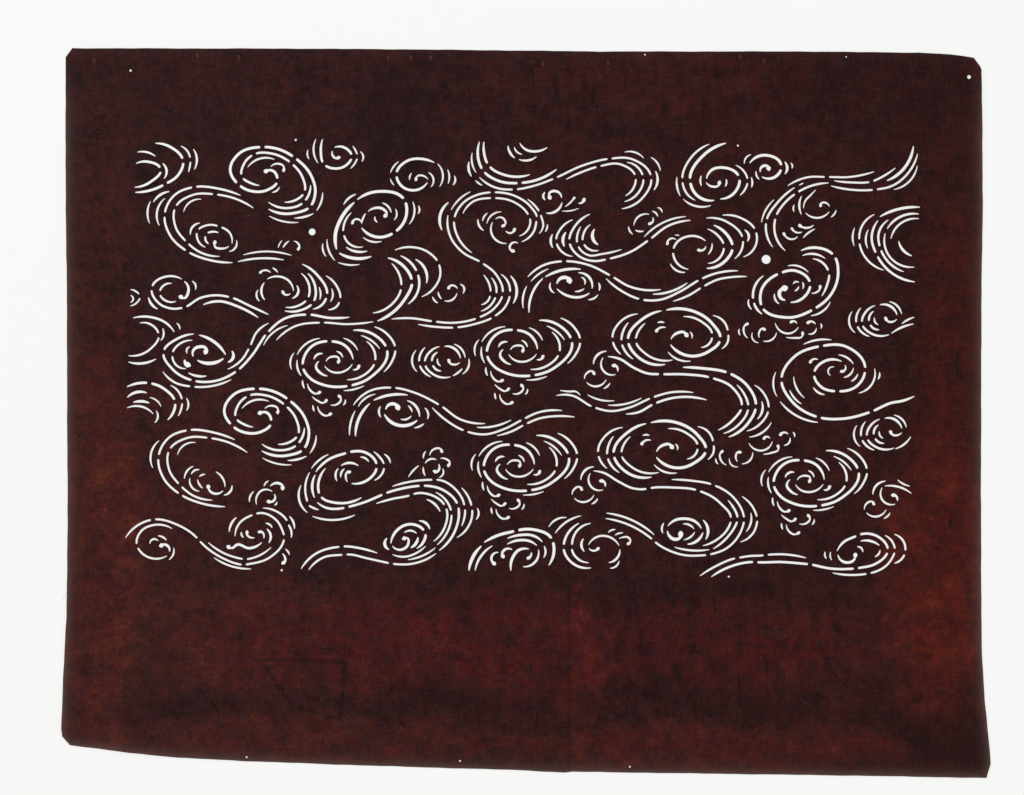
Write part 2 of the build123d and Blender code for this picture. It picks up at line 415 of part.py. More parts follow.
def nested_eye():
    return [
        (0.9, curl(-119.9, 62.8), (-118, 64.2), (-114.8, 63.1)),
        (0.9, (-114.2, 65.4), (-112.7, 64.5), (-111.7, 63.2)),
        (1.0, (-116.5, 60.2), (-111.7, 61.5), (-106, 58.7), (-104.6, 54.8)),
        (1.2, (-117.7, 58.7), (-119.1, 54.7), (-117.5, 50.9)),
        (1.0, (-120.5, 55.5), (-121.3, 53.2), (-119.8, 50.3)),
        (1.0, curl(-109.5, 55.2), (-108.6, 53.4), (-106, 53.9)),
        (1.2, (-103.2, 57.5), (-102.5, 54.2), (-105.3, 51.6)),
        (1.15, (-100.7, 67), (-94, 62.2), tie(-89.6, 52.7), (-91.7, 48.8), (-95.9, 46.8)),
        (1.05, (-101.2, 62.9), (-97.8, 58.2), tie(-98.4, 51.3), (-102.2, 48.4), (-108.2, 47.6)),
        (1.15, (-98.2, 62.9), (-94.9, 57.2), tie(-95.9, 49.6), (-101.2, 46.3), (-108.6, 46)),
        (1.0, (-90.1, 61.8), (-85.4, 57.5), tie(-83.7, 50.8), (-85.6, 47.6), (-89.1, 46.5)),
        (0.95, (-87.5, 56), (-86.9, 52.9), (-88.1, 50)),
        (0.95, (-93.2, 56.7), (-92.4, 54), (-92.8, 51)),
        (1.25, (-179.5, 11.8), (-175.1, 13.3), tie(-169.5, 13.5), (-162.1, 10.4), tie(-157.9, 5.1),
         (-158.8, 0.1), (-161.3, -3.1)),
        (0.95, (-160, 12.5), (-156.1, 9.3), tie(-154.7, 5.3), (-155.2, 1.6), (-156.5, -1.4)),
        (1.0, (-152.8, 6.8), (-151.9, 4.1), (-152.7, 1)),
        (1.35, (-179.4, 7), (-175.6, 9.3), (-170.6, 9.1)),
        (1.35, (-176.7, 4.8), (-173.1, 5.3), (-169.4, 4.5)),
        (0.85, (-169.4, 7), (-166.1, 5.6), (-164.2, 2.8)),
        (1.0, (-179.5, 2.3), (-173.9, 3.1), (-167.7, -0.4)),
        (1.0, (-166.4, 1.1), (-165.6, -1.4), (-167.1, -4.4)),
    ]


def whirlpool():
    """The whirlpool that the pattern repeats most, with foam hanging below it at the left."""
    return [
        (0.95, (-104.3, 27.1), (-106, 23.6), (-105.4, 19.6)),
        (1.0, (-102.9, 24), (-102.8, 20.2), (-101.1, 16.7)),
        (0.95, (-92.7, 33.6), (-98.9, 31.2), (-103, 26.1)),
        (1.25, (-77.8, 24.1), (-81.2, 30.2), tie(-88.4, 32.3), (-95.9, 30.4), (-99.4, 26.2),
         tie(-100.4, 20.9), (-96.8, 15.4), (-91.8, 12.9), tie(-79.4, 12.3), (-70.1, 16),
         tie(-62.7, 29.1), (-67.8, 34.9), (-77.8, 37.2)),
        (1.05, (-68.3, 38.8), (-62.2, 35.3), tie(-58.8, 29.1), (-60.4, 23.1), (-64, 18.5)),
        (0.95, (-74.3, 34.9), (-69.2, 32.4), (-65.8, 28.9)),
        (1.05, (-71.8, 32.3), (-68.5, 28.5), tie(-68, 22.9), (-72.6, 17.3), (-80.5, 15)),
        (0.95, (-82.2, 33.7), (-78.2, 31.6), (-75.7, 28.2)),
        (1.05, curl(-84.9, 22.5), (-84.1, 24.3), (-87.1, 25.4), (-90, 23.2)),
        (1.0, (-90.6, 21.2), (-87.9, 18.8), (-83.4, 18.3), (-78.1, 22.1)),
        (1.05, curl(-75.2, 21.8), (-75.5, 20.3), (-77.9, 19.6)),
        (0.95, (-85.3, 27.8), (-83.4, 26.8), (-82.4, 24.9)),
        (1.15, (-95.4, 24.1), (-94.2, 26.1), (-91.4, 26.7)),
        (1.3, (-93.1, 23.3), (-94.5, 20.9), (-92.7, 18.2), (-89.3, 16.7)),
        (0.9, (-82.1, 10.1), (-77.7, 10.6), (-72.8, 12.3)),
        (1.0, (-100.5, 14.9), (-100.4, 12.9), (-99.6, 11)),
        (1.0, curl(-92.4, 9.9), (-94.6, 8.7), (-96.6, 9.8), (-98.3, 13.3)),
        (0.95, curl(-89.6, 6.3), (-91.1, 4.6), (-93.7, 5.5), (-96.2, 7.4)),
        (0.95, (-95.9, 3.6), (-95.7, 2), (-95.2, 0.7)),
        (1.0, curl(-87.5, 0.2), (-89.8, -1.2), (-92.4, 0.1), (-93.7, 3.1)),
        (1.0, curl(-84.7, 7.9), (-83.2, 6.3), (-84.6, 4.2), (-87.9, 3.7)),
        (0.9, (-81.3, 6.2), (-81.4, 4.7), (-82.3, 3.5)),
    ]


def small_eye():
    return [
        (1.0, (-49.4, 28.3), (-51.3, 23.8), (-49, 18.6)),
        (1.0, (-45.3, 29.6), (-47.7, 26), tie(-48, 22.3), (-46, 18.5), (-42.8, 16.3)),
        (1.05, (-38.8, 29.9), (-42.9, 27.9), tie(-45.5, 22.3), (-41.8, 17.5), (-33.9, 16.3)),
        (1.25, (-36.7, 30), (-32.2, 29), (-29.5, 24.6)),
        (1.0, (-32.4, 31), (-29.2, 29), (-27.4, 24.8)),
        (1.05, (-39.7, 27.4), (-42.1, 24.9), tie(-42.2, 22.4), (-40.8, 19.9), (-38.1, 18.9)),
        (0.95, (-39.7, 24.6), (-39.7, 22.6), (-38.3, 21.1)),
        (1.05, curl(-34.7, 24.4), (-34.2, 22.5), (-31.8, 21.8), (-29.8, 22.8)),
    ]


def ends_by_small_eyes():
    """What runs on from each of the three small eyes, which differs."""
    return [
        (1.0, (-33, 16.7), (-31.4, 17.6), (-28.6, 20.1)),
        (1.0, (-25.8, 24.5), (-25.9, 20.8), (-28.6, 17.5)),
        (1.0, (169, 40.1), (171.4, 41.8), (174.7, 43.1)),
        (1.1, (164.3, 35.8), (168.9, 38.5), (174.4, 40.1)),
        (1.0, (166, -16.1), (169.6, -14.4), (173.1, -10.5)),
    ]


def wave_crest():
    """A breaking crest that runs out to the right in four lines."""
    return [
        (1.0, (-77.7, 3.5), (-71.4, 9.4), tie(-59.7, 11.4), (-50.2, 9.2), tie(-38.4, 3.3),
         (-29.4, -2.9), (-18.3, -4.7)),
        (0.95, (-75.5, 2.8), (-71.9, 6.9), (-67.7, 8.5)),
        (1.3, (-68.6, 5.7), (-61.4, 8.1), (-53.2, 8.1)),
        (1.4, (-70.2, 4.4), (-74.7, -1.4), (-76.7, -10.5)),
        (1.0, (-76.8, 1.1), (-78.9, -4.4), (-79.4, -10.1)),
        (1.05, (-65.4, 3.1), (-66.2, 0.6), (-65.2, -1.9)),
        (1.6, curl(-57.7, 1.3), (-58.1, 3.4), (-60.8, 4.1), (-63.1, 1.6)),
        (1.6, (-63.7, -0.5), (-60.6, -4.1), (-55.1, -5.7), (-48.9, -3.2)),
        (1.25, (-53.5, 5.6), (-49.5, 3), (-47.9, -1.7)),
        (0.95, (-53.1, 3.4), (-51.8, 2), (-51.2, 0.4)),
        (1.0, (-51.6, -1.2), (-53.5, -2.7), (-56.4, -2.7)),
        (1.0, (-45.6, 2.4), (-44, -0.2), (-44.4, -2.8)),
        (1.0, (-45.8, -4.7), (-47.9, -6), (-50.3, -6.7)),
        (1.0, (-42.2, 2.5), (-35.7, -3.4), tie(-27.2, -8.1), (-18.9, -9.6), (-9.4, -7),
         tie(-1.3, -2.8), (5.6, 0.3), (16.3, 1.1)),
        (1.0, (-22.2, -6.4), (-14.2, -5.9), (-6.7, -3.1)),
        (1.0, (-13.1, -10.2), (-6.4, -8.2), tie(-0.4, -5.1), (6.1, -2.4), (13.1, -1.4), (21.9, -1.8)),
    ]


def upper_wave_crest():
    return [
        (1.05, (0.8, 61.2), (7, 66.1), tie(17.1, 68.3), (27.9, 66.7), tie(38.6, 61.5), (46.4, 57),
         (60.7, 55.6)),
        (0.95, (2.2, 59.2), (5.7, 62.5), (10.1, 64.9)),
        (1.3, (8.6, 61.2), (15.9, 64.2), (24.7, 64.7)),
        (1.15, (7.7, 60.7), (3.1, 54.6), (1.4, 45.1)),
        (1.0, (0.4, 57.2), (-1.4, 51.9), (-1.2, 47.1)),
        (1.0, (11.1, 58.7), (10.8, 56.2), (12.9, 54)),
        (1.7, curl(19.3, 58.3), (19, 60.5), (16.7, 61), (13.9, 58.1)),
        (1.25, (13.9, 55.9), (18.4, 52.9), (24.4, 52.2), (28.6, 54)),
        (1.3, (23.5, 63.1), (28.2, 61.3), (29.7, 56)),
        (0.95, (24.7, 61.1), (26.5, 59.7), (26.3, 57.7)),
        (0.95, (21.9, 54.7), (24.1, 54.9), (26.2, 56)),
        (1.0, (32.6, 58.7), (33.2, 56.8), (32.8, 55)),
        (1.0, (27.9, 51), (30.4, 51.5), (32.4, 53.3)),
        (1.05, (36, 60.5), (43.2, 54.8), tie(51.8, 51.1), (59.9, 50.9), (69.4, 54.7), tie(78.4, 60.1),
         (84.9, 62.7), (95.4, 64)),
        (1.1, (56.9, 53.5), (64.4, 54.5), (72.6, 58.6)),
        (1.0, (66.1, 50.3), (72.9, 52.8), tie(79.4, 56.7), (86.4, 60.1), (91.9, 61.1), (99.4, 61.4)),
    ]


def double_curl():
    return [
        (1.15, (36.3, 27.8), (32.2, 26.2), (30.3, 21.9)),
        (1.0, (34.7, 25), (33.8, 21.2), (36, 17.9), (40.3, 17.4)),
        (1.15, curl(38.7, 21), (40.1, 21.4), (41.2, 20.2), (41.2, 18.7)),
        (1.0, curl(30.6, 17.1), (29.9, 18.8), (27.6, 18.2), (26.3, 15.3)),
        (1.0, (27.2, 13.9), (30.8, 12), (36.1, 15.1)),
        (0.95, (37.8, 13.6), (36.6, 12), (34.8, 11)),
    ]


def stream_from_curl():
    return [
        (1.15, (36.8, 25.4), (41.8, 24.5), (48.3, 20.5), (54.8, 17.8), tie(60.8, 17.5), (71.8, 17.4),
         tie(83.2, 15.9), (93, 11.3), tie(97, 2.6), (93.3, -2.9), (86.4, -7.7)),
        (1.3, (70.5, 20.6), (79.8, 20.1), tie(91.1, 18), (99.3, 12.6), tie(103.4, 2.9), (100.3, -4),
         (91.1, -10.8)),
        (1.05, (94.8, 12.7), (98.2, 8.5), tie(100, 2.5), (96.1, -4.8), (88.8, -9.2)),
        (1.0, (102.8, 12.6), (107, 8.8), tie(109.1, 1.6), (105.7, -4.5), (99.3, -8.1)),
        (1.2, (106, 5.3), (106.4, 1.6), (104, -2.8)),
        (1.0, (110.4, -4.1), (106.9, -8.3), (100.4, -10.8)),
        (0.95, (15.3, 10.2), (19.8, 9.7), (22.3, 9.7), (24.4, 7.9)),
        (1.0, (13.6, 7.9), (19.8, 8.1), tie(30.3, 2.7), (38.1, 0.9), (46.8, 2.6), tie(56.6, 6.9),
         (65.8, 9.4), (75.3, 9.2)),
        (0.9, (27.6, 8.3), (32.3, 6.2), (39.8, 5.6)),
        (0.95, (36.8, 3.6), (43, 3.8), (52, 6.8)),
        (1.1, (44.9, -0.4), (50.3, 0.3), tie(57.7, 4.2), (67.3, 7), (81.3, 5.9)),
    ]


def hooked_eye():
    return [
        (1.0, (50.4, 44.6), (43, 41.6), tie(38.9, 33), (40.3, 29.1), (42.7, 26.4)),
        (1.05, (46.1, 40.8), (43.8, 37.1), tie(43, 31.8), (44.9, 27.4), (48.2, 24.3)),
        (1.3, (61, 46), (53, 42.7), tie(45.9, 32.4), (50.3, 25.3), (62.6, 21.9)),
        (1.0, (53.7, 40.4), (50.7, 37.1), tie(49.4, 32.5), (53.5, 26.9), (66, 23.9)),
        (1.4, (63, 46.3), (75, 45.9), (84, 40), tie(87.4, 33.2), (82.3, 27.8), (73.5, 25.7),
         (65, 30.8)),
        (1.4, curl(72.3, 34.1), (71.5, 36.1), (68.3, 36.1), (65.2, 33.2)),
        (1.05, (70.7, 43.4), (79, 41.1), tie(83.8, 34.9), (82.4, 31.2), (78.7, 29.5)),
        (1.0, (84, 43.9), (88.7, 41.5), tie(90.9, 36.2), (90.5, 31.5), (88, 28.9)),
        (0.95, (59.1, 40.6), (60.5, 41), (62.3, 40.6)),
        (1.0, curl(58.4, 36.3), (59.9, 38.2), (62.9, 38.4)),
        (0.9, (73.7, 36.5), (74.7, 35.2), (74.5, 33.6)),
        (1.0, (63.9, 27.5), (67.3, 24.6), (74.1, 23.4)),
    ]


def right_whirl():
    return [
        (1.3, (123.6, 73), (130.5, 74.4), tie(138.6, 70.7), (140.4, 63.3), (136.8, 52.8),
         tie(129.5, 46.8), (117, 43), tie(106.2, 47.7), (105.6, 54.3), tie(114.2, 62.9), (121.7, 63.9),
         tie(127.8, 58.1), (125.3, 52.4), (118.9, 49.8)),
        (1.1, (124.3, 70.8), (129.3, 71.6), (134.6, 69.5)),
        (1.1, (128.9, 69.4), (133.3, 67.7), tie(136.2, 63.2), (135.3, 57.3), (133, 52.6)),
        (0.95, (117.7, 66.2), (122.2, 66.2), (127, 63.3)),
        (1.15, (106.9, 61.8), (102.8, 56.8), tie(102.3, 50.5), (103.7, 47), (106.2, 44.5)),
        (0.95, (100.2, 51.3), (100.1, 48.8), (101.5, 46.6)),
        (1.8, curl(117.7, 55.8), (114.3, 55), (114.2, 52.3), (116.7, 50.8)),
        (1.0, (111.8, 53.8), (112.1, 51.1), (113.9, 49.1)),
        (0.9, (120.1, 58), (121.3, 59.1), (122.8, 58.7)),
        (0.9, (124.3, 59), (124.8, 57.4), (124.4, 55.8)),
        (0.9, (122.7, 57.1), (122.1, 55.7), (120.7, 54.9)),
        (0.95, curl(132.2, 57.6), (132, 55.5), (130.4, 54.2), (128.4, 53.9)),
        (1.0, (136.9, 50.1), (133.7, 46), (128.1, 43.8)),
    ]


def foam():
    return [
        (0.85, (96, 37.9), (95.7, 36.5), (96.4, 35)),
        (0.95, curl(100.2, 40.2), (98.5, 39.5), (97.9, 36.7), (99.8, 33.7)),
        (0.75, (101.9, 36.3), (101.6, 34.2), (104.7, 31.6)),
        (1.0, curl(107.6, 37.1), (106.4, 38), (104.9, 36.5), (105, 33.9)),
        (0.9, (112.7, 36.3), (111.1, 33.4), (106.6, 32.4)),
        (0.95, (112.1, 40.6), (114.6, 36.8), (118.2, 35.8), (122.5, 38.7)),
        (0.95, curl(118.9, 40.4), (120.2, 41.4), (121.8, 40.2)),
        (0.95, curl(124.2, 36.6), (124.2, 34.5), (120.8, 33.8), (117, 34.1)),
        (1.0, curl(126.4, 40.1), (127.9, 41.2), (130.2, 39.9)),
        (0.95, (130.6, 38.3), (129.8, 36.3), (127, 35.6)),
        (0.9, (132.4, 40.3), (133, 39.2), (132.5, 38)),
    ]


def whirl_with_stem():
    """The whirl low at the right, whose line leads to the right edge."""
    return [
        (1.25, (174.7, 7.6), (169.4, 5.5), (164.4, 4.6), tie(155.5, 0.7), (142.9, -2.5),
         tie(131.7, -1.9), (119.4, 5.5), tie(114.9, 15), (120.5, 25.2), tie(132.7, 30.1), (144, 29.9),
         tie(152.6, 19.4), (149, 12.3), tie(140, 9.8), (132.5, 12), tie(129.6, 17.7), (134, 23.2),
         (142, 23.2)),
        (1.0, (124.8, 30.9), (131, 32.9), (137.4, 32.9)),
        (0.95, (112.4, 18.5), (111.2, 13.5), (112.9, 7.4)),
        (1.0, (114.3, 5.2), (120.7, -0.6), (131.4, -4.2)),
        (0.95, (120.4, 16.5), (121.7, 11.2), (125.3, 6.8)),
        (1.0, (118.6, 10.4), (120.7, 6.8), (123.9, 4.1)),
        (0.95, curl(127.7, 22.3), (128.6, 23.9), (131.4, 24)),
        (1.0, (140.5, 26.2), (144.6, 24.8), (147.3, 22)),
        (0.8, (138.7, 20.7), (136.2, 19.9), (135.9, 18.2), (137.1, 16.9)),
        (1.0, curl(141.3, 18.9), (142.9, 18.9), (143.4, 21.6)),
        (1.0, (147.3, 20.4), (146, 17.6), (142.8, 16)),
        (1.0, (149.3, 17.7), (148.2, 15.7), (146.2, 14.2)),
        (1.1, (129.2, 11.6), (131.4, 9.3), (134.4, 8.3)),
        (1.0, (156.8, 20.1), (156.2, 14.1), (149.6, 9)),
        (1.0, (159, 18.4), (159, 16.6), (158.3, 15.1)),
    ]


def bottom_left_whirl():
    return [
        (1.0, (-180.2, -56.2), (-174.7, -50.5), (-168.4, -48), tie(-167.8, -47.9), (-166.2, -47.8),
         (-157.2, -50.1), (-148.2, -56), tie(-147.3, -57), (-146.2, -58.2), (-136.6, -65.2),
         (-128, -68.2), tie(-127, -68.3), (-125.7, -68.1), (-115.2, -64.9), (-109, -57.5),
         tie(-108.7, -55.9), (-109.2, -54), (-112.7, -47.8), (-120.7, -45.1), tie(-122.2, -45.6),
         (-124.2, -46.3), (-129.2, -49.9), (-130.9, -55.5)),
        (0.95, (-143, -58.2), (-136.2, -62.9), (-128.2, -65.5), tie(-126.5, -65.8), (-124.8, -65.6),
         (-119.2, -63.7), (-114.7, -60.4)),
        (0.95, (-140.5, -65), (-132.2, -69), (-123.6, -70.1)),
        (1.15, (-130.2, -46.9), (-132.6, -49.8), (-133.5, -53.5)),
        (1.0, (-118.5, -42.7), (-112.7, -44), (-107.6, -48.3), tie(-107.1, -49.3), (-106.6, -50.6),
         (-105.6, -53), (-105.7, -56.2)),
        (1.1, (-106.5, -46.4), (-104.7, -49), (-104.2, -52.2)),
        (1.0, (-128, -53.4), (-128, -54.8), (-127, -56)),
        (1.0, curl(-125.2, -52.9), (-125.4, -54.9), (-124.2, -55.9), (-122, -56)),
        (1.0, (-117.2, -49.6), (-115.7, -49.9), (-114.2, -51.7)),
        (1.0, curl(-120.5, -53.9), (-118.9, -53.4), (-118, -54.6), (-118, -56.4)),
        (1.25, (-116.7, -52.1), (-114.9, -54.9), (-115.8, -58.4)),
        (1.25, curl(-134.4, -59.5), (-132.4, -60.8), (-130.1, -59.2), (-124.5, -60.8), (-118.9, -58.2)),
        (1.0, (-159.2, -52), (-167.2, -50.3), (-173.2, -53.2), (-175.2, -58.7), tie(-175, -59.8),
         (-174.4, -61), (-167.2, -65.5), (-161.5, -64.2)),
        (1.0, (-165.6, -55.2), (-163.4, -55.8), (-161.7, -57.3)),
        (1.0, (-169.2, -58.9), (-168, -56.8), (-165.4, -57.6)),
        (1.3, curl(-164.7, -60.3), (-162.7, -59.1), (-160.7, -60.3), (-160.4, -62.4)),
        (0.95, (-158.5, -60.6), (-158.6, -63.3), (-160.7, -66)),
        (0.9, (-108.3, -61.1), (-107.1, -62.3), (-106.4, -63.8)),
        (1.15, curl(-110.1, -67.5), (-108.6, -67), (-108.4, -65), (-109.7, -63.2)),
        (0.85, (-115.7, -30.4), (-117.1, -31.4), (-117.9, -33)),
        (1.3, curl(-110.1, -34.5), (-109.4, -33.2), (-111.1, -31.6), (-113.1, -31.6), (-115.1, -32.9)),
        (1.0, (-114.1, -35.4), (-118.1, -34.5), (-121.1, -37.4), (-121.2, -41.2)),
        (0.95, (-122.4, -35.2), (-124.1, -37.4), (-124.4, -40.1)),
        (1.15, curl(-116.5, -39.3), (-115.1, -40), (-112.9, -38.5), (-113.3, -36.4)),
        (0.95, (-112.1, -39.9), (-112.4, -41), (-113.3, -41.4)),
    ]


def lower_sickle():
    """The great crest of the lower half, with the eye that it curls round."""
    return [
        (1.1, (-101.2, -32.4), (-102.3, -37.3), (-98.3, -44.8)),
        (1.0, (-97.3, -26.6), (-99.3, -32.8), (-98.5, -39.4), tie(-98.1, -40.7), (-97.3, -41.8),
         (-95.6, -42.7), (-93.2, -43.6)),
        (1.15, (-94, -40.1), (-91.1, -42.1), (-82.6, -42.8), tie(-80.8, -42.4), (-79.1, -42),
         (-72.1, -39.9), (-65.3, -37), tie(-63.7, -36.3), (-62.1, -35.7), (-55.1, -33.8),
         (-48.6, -32.8), tie(-46.9, -32.7), (-45.1, -32.7), (-37.1, -34.7), (-31.2, -40.2),
         tie(-30.6, -41.6), (-30.3, -43.1), (-31.7, -52.4), (-39.1, -61.8)),
        (1.3, (-94.8, -27.7), (-96.2, -33.8), (-95.1, -38.1)),
        (1.2, (-90.1, -24.8), (-93.3, -30.8), (-93.2, -35.8), tie(-92.8, -37.1), (-91.5, -38.4),
         (-86.1, -40.3), (-74, -38)),
        (1.0, (-96.6, -25), (-93.1, -21.2), (-88.8, -18.6)),
        (1.25, (-94.6, -26.5), (-89.6, -21.4), (-81, -18), tie(-80, -17.7), (-78.6, -17.4),
         (-72.6, -17.6), (-67.4, -22.4), tie(-67.1, -23.8), (-67.3, -25.1), (-71.1, -30),
         (-78.5, -31.7)),
        (1.0, (-68.6, -17.3), (-65.9, -19.7), (-64.1, -22.5), tie(-63.9, -23.8), (-63.9, -25),
         (-65.1, -27.8), (-68.3, -30.3)),
        (1.0, (-63.9, -18.4), (-61.9, -20.1), (-61, -22.6)),
        (1.05, (-74.6, -19.8), (-72.5, -20.2), (-70.7, -22)),
        (1.2, (-83.2, -23.7), (-79.1, -22.4), (-75.4, -23.7)),
        (1.05, curl(-78.8, -26.8), (-80.4, -26.6), (-81.1, -28.8), (-80.3, -31)),
        (1.05, (-81.6, -25), (-83.1, -26.8), (-83.3, -29)),
        (1.1, (-84.4, -24.8), (-85.7, -27.8), (-85, -30.6)),
        (1.0, (-96.1, -46.4), (-87.6, -48.1), (-76.9, -45.8)),
        (1.0, (-60.2, -33), (-51.1, -30.7), (-42.3, -30), tie(-41.2, -30), (-39.9, -30),
         (-31.6, -34.4), (-27.8, -41.2), tie(-27.6, -42.4), (-27.4, -43.8), (-27.7, -46.9),
         (-29, -50.9)),
        (1.05, (-67.4, -40.7), (-60.1, -38.6), (-52.9, -37.2), tie(-51.5, -36.8), (-50.1, -36.3),
         (-43.1, -36.7), (-36.8, -41.1), tie(-36.2, -42.1), (-35.7, -43.5), (-36.4, -50.9),
         (-41.6, -57.8)),
        (1.0, (-40.7, -35.6), (-36.6, -38.5), (-33.8, -43.5), tie(-33.5, -44.8), (-33.5, -46.2),
         (-35.1, -52.9), (-40, -59.3)),
        (1.15, (-44.8, -38.8), (-41.1, -40.9), (-38.6, -44.4)),
        (1.0, (-29, -33.6), (-26.4, -36.9), (-24.6, -41.4), tie(-24.4, -42.6), (-24.2, -43.9),
         (-25.6, -50.4), (-31.1, -56)),
        (1.05, (-22, -42.7), (-21.3, -45.4), (-22.5, -47.9)),
        (1.0, (-53.2, -66), (-46.2, -64), (-40.7, -60.5)),
        (1.0, (-60.1, -63.6), (-54.2, -64.6), (-49.2, -62.9), (-45.1, -59.8)),
        (1.05, (-101.2, -70.1), (-95.7, -64), (-84.2, -60.2), tie(-83, -60.1), (-81.7, -60),
         (-74.7, -60.8), (-66.9, -63)),
        (1.0, (-97.8, -70.6), (-91.2, -65), (-83.2, -63.8), tie(-81.7, -63.7), (-80.2, -63.6),
         (-71.2, -65.4), (-62.2, -67.4), tie(-60.8, -67.7), (-59.2, -67.9), (-50.2, -67.6),
         (-40.4, -63.1)),
        (1.3, (-60.8, -58.7), (-58.4, -53.1), (-51.6, -50), (-46.2, -52.5), tie(-45.5, -53.6),
         (-45.2, -54.9), (-46, -57.7), (-49.2, -60.9)),
        (1.05, (-54.8, -53.8), (-51.6, -52.9), (-49.2, -54.2)),
        (1.25, curl(-55.4, -57.1), (-53.5, -56.2), (-53, -58.9), (-55.2, -61.2), (-60.1, -59.8)),
        (1.5, (-48.6, -55.8), (-49.5, -58.6), (-51.9, -60.6)),
        (1.5, (-62.5, -56.3), (-63.6, -58.6), (-61.6, -61.4)),
        (1.3, (-48.2, -48.5), (-45.6, -49.1), (-43.3, -52.3)),
        (0.9, (-45, -17.1), (-45.9, -18.4), (-46.1, -20.5)),
        (1.0, curl(-37.9, -17.9), (-38.4, -16.2), (-41.1, -16.1), (-43.3, -19.1)),
        (1.0, (-40.3, -21), (-43.1, -20.7), (-45.4, -22.7)),
        (1.0, curl(-35.5, -23.9), (-34.3, -22.4), (-36.1, -20.6), (-38.5, -20.4)),
        (0.95, (-48.2, -23.6), (-50.6, -25.7), (-52.9, -28.8)),
        (0.95, (-46.2, -24.2), (-46.1, -26.4), (-45.3, -28.3)),
        (1.15, curl(-41.5, -25.6), (-40.1, -26.5), (-39, -24.9), (-39.3, -22.9)),
        (0.95, (-37.5, -24.9), (-37.3, -27.4), (-39.1, -29)),
    ]


def bottom_whirl():
    """The whirl that the lower edge of the pattern cuts through, and the one beside it."""
    return [
        (1.4, (-18.9, -58.2), (-12.6, -55), (-5.6, -53.2), tie(-4.4, -52.9), (-3.1, -52.6),
         (3.9, -52.5), (11.2, -56), tie(11.9, -57.2), (12.3, -58.6), (12.5, -63), (10.2, -68.5)),
        (1.25, (-8.4, -56.4), (-2.1, -54.8), (3.4, -55.2), (7.4, -58)),
        (1.25, (-8.5, -59), (-3.1, -57.2), (1.9, -57.7), (4.9, -59.6)),
        (1.05, (8.1, -59.8), (8.8, -62), (7.9, -65.1)),
        (1.15, (5.6, -61.4), (4.5, -66.5), (-1.4, -69.1)),
        (1.05, curl(0.3, -65.4), (2, -64.5), (2.4, -62.6)),
        (1.4, (-6.7, -70.9), (-6, -65), (-3, -61.5), (1.3, -61.2)),
        (1.2, curl(-13.5, -68), (-15.4, -66.5), (-15, -63.7), (-12.4, -62.7)),
        (1.25, curl(-9.6, -64.9), (-10.8, -63.5), (-10, -61.8), (-6.2, -61.5)),
        (1.6, (-25.7, -70.9), (-24, -65), (-20, -59.7)),
        (1.15, (-22.9, -70.9), (-21, -65.5), (-15.1, -59.7)),
        (1.05, (29.2, -49.6), (22.9, -53), (20.7, -59), tie(20.7, -60.2), (20.7, -61.4), (23, -65.3),
         (28.3, -67.3)),
        (1.15, (23.9, -49.5), (18.9, -54), (17, -59), tie(16.9, -60.2), (17, -61.4), (20.5, -67.2),
         (29.3, -69.6)),
        (1.0, (18.3, -47), (13.4, -48), (10.2, -51.3)),
        (1.0, (24.8, -46.2), (17.4, -49.5), (13.1, -54.1)),
        (1.25, (25.9, -56.5), (24.9, -59.4), (26.3, -62.3)),
        (1.0, (28.1, -59.3), (31.9, -55.7), (37.9, -55.9), (41.9, -59.7)),
        (1.0, curl(32.8, -60.3), (31, -61.9), (29.3, -61.7), (28.3, -60.8)),
        (1.2, (42.2, -61.3), (41.2, -64.9), (37.2, -67.3)),
        (0.95, (41.9, -66.4), (40.5, -68.9), (37.7, -69.8)),
        (0.9, (40.3, -52.4), (38.4, -52.7), (36.9, -53.8)),
        (0.9, (43.7, -53.9), (41.7, -54.1), (40, -55)),
        (1.0, curl(45.3, -58.8), (47, -57.7), (45.9, -55.9), (43.8, -55.8), (41.8, -56.5)),
    ]


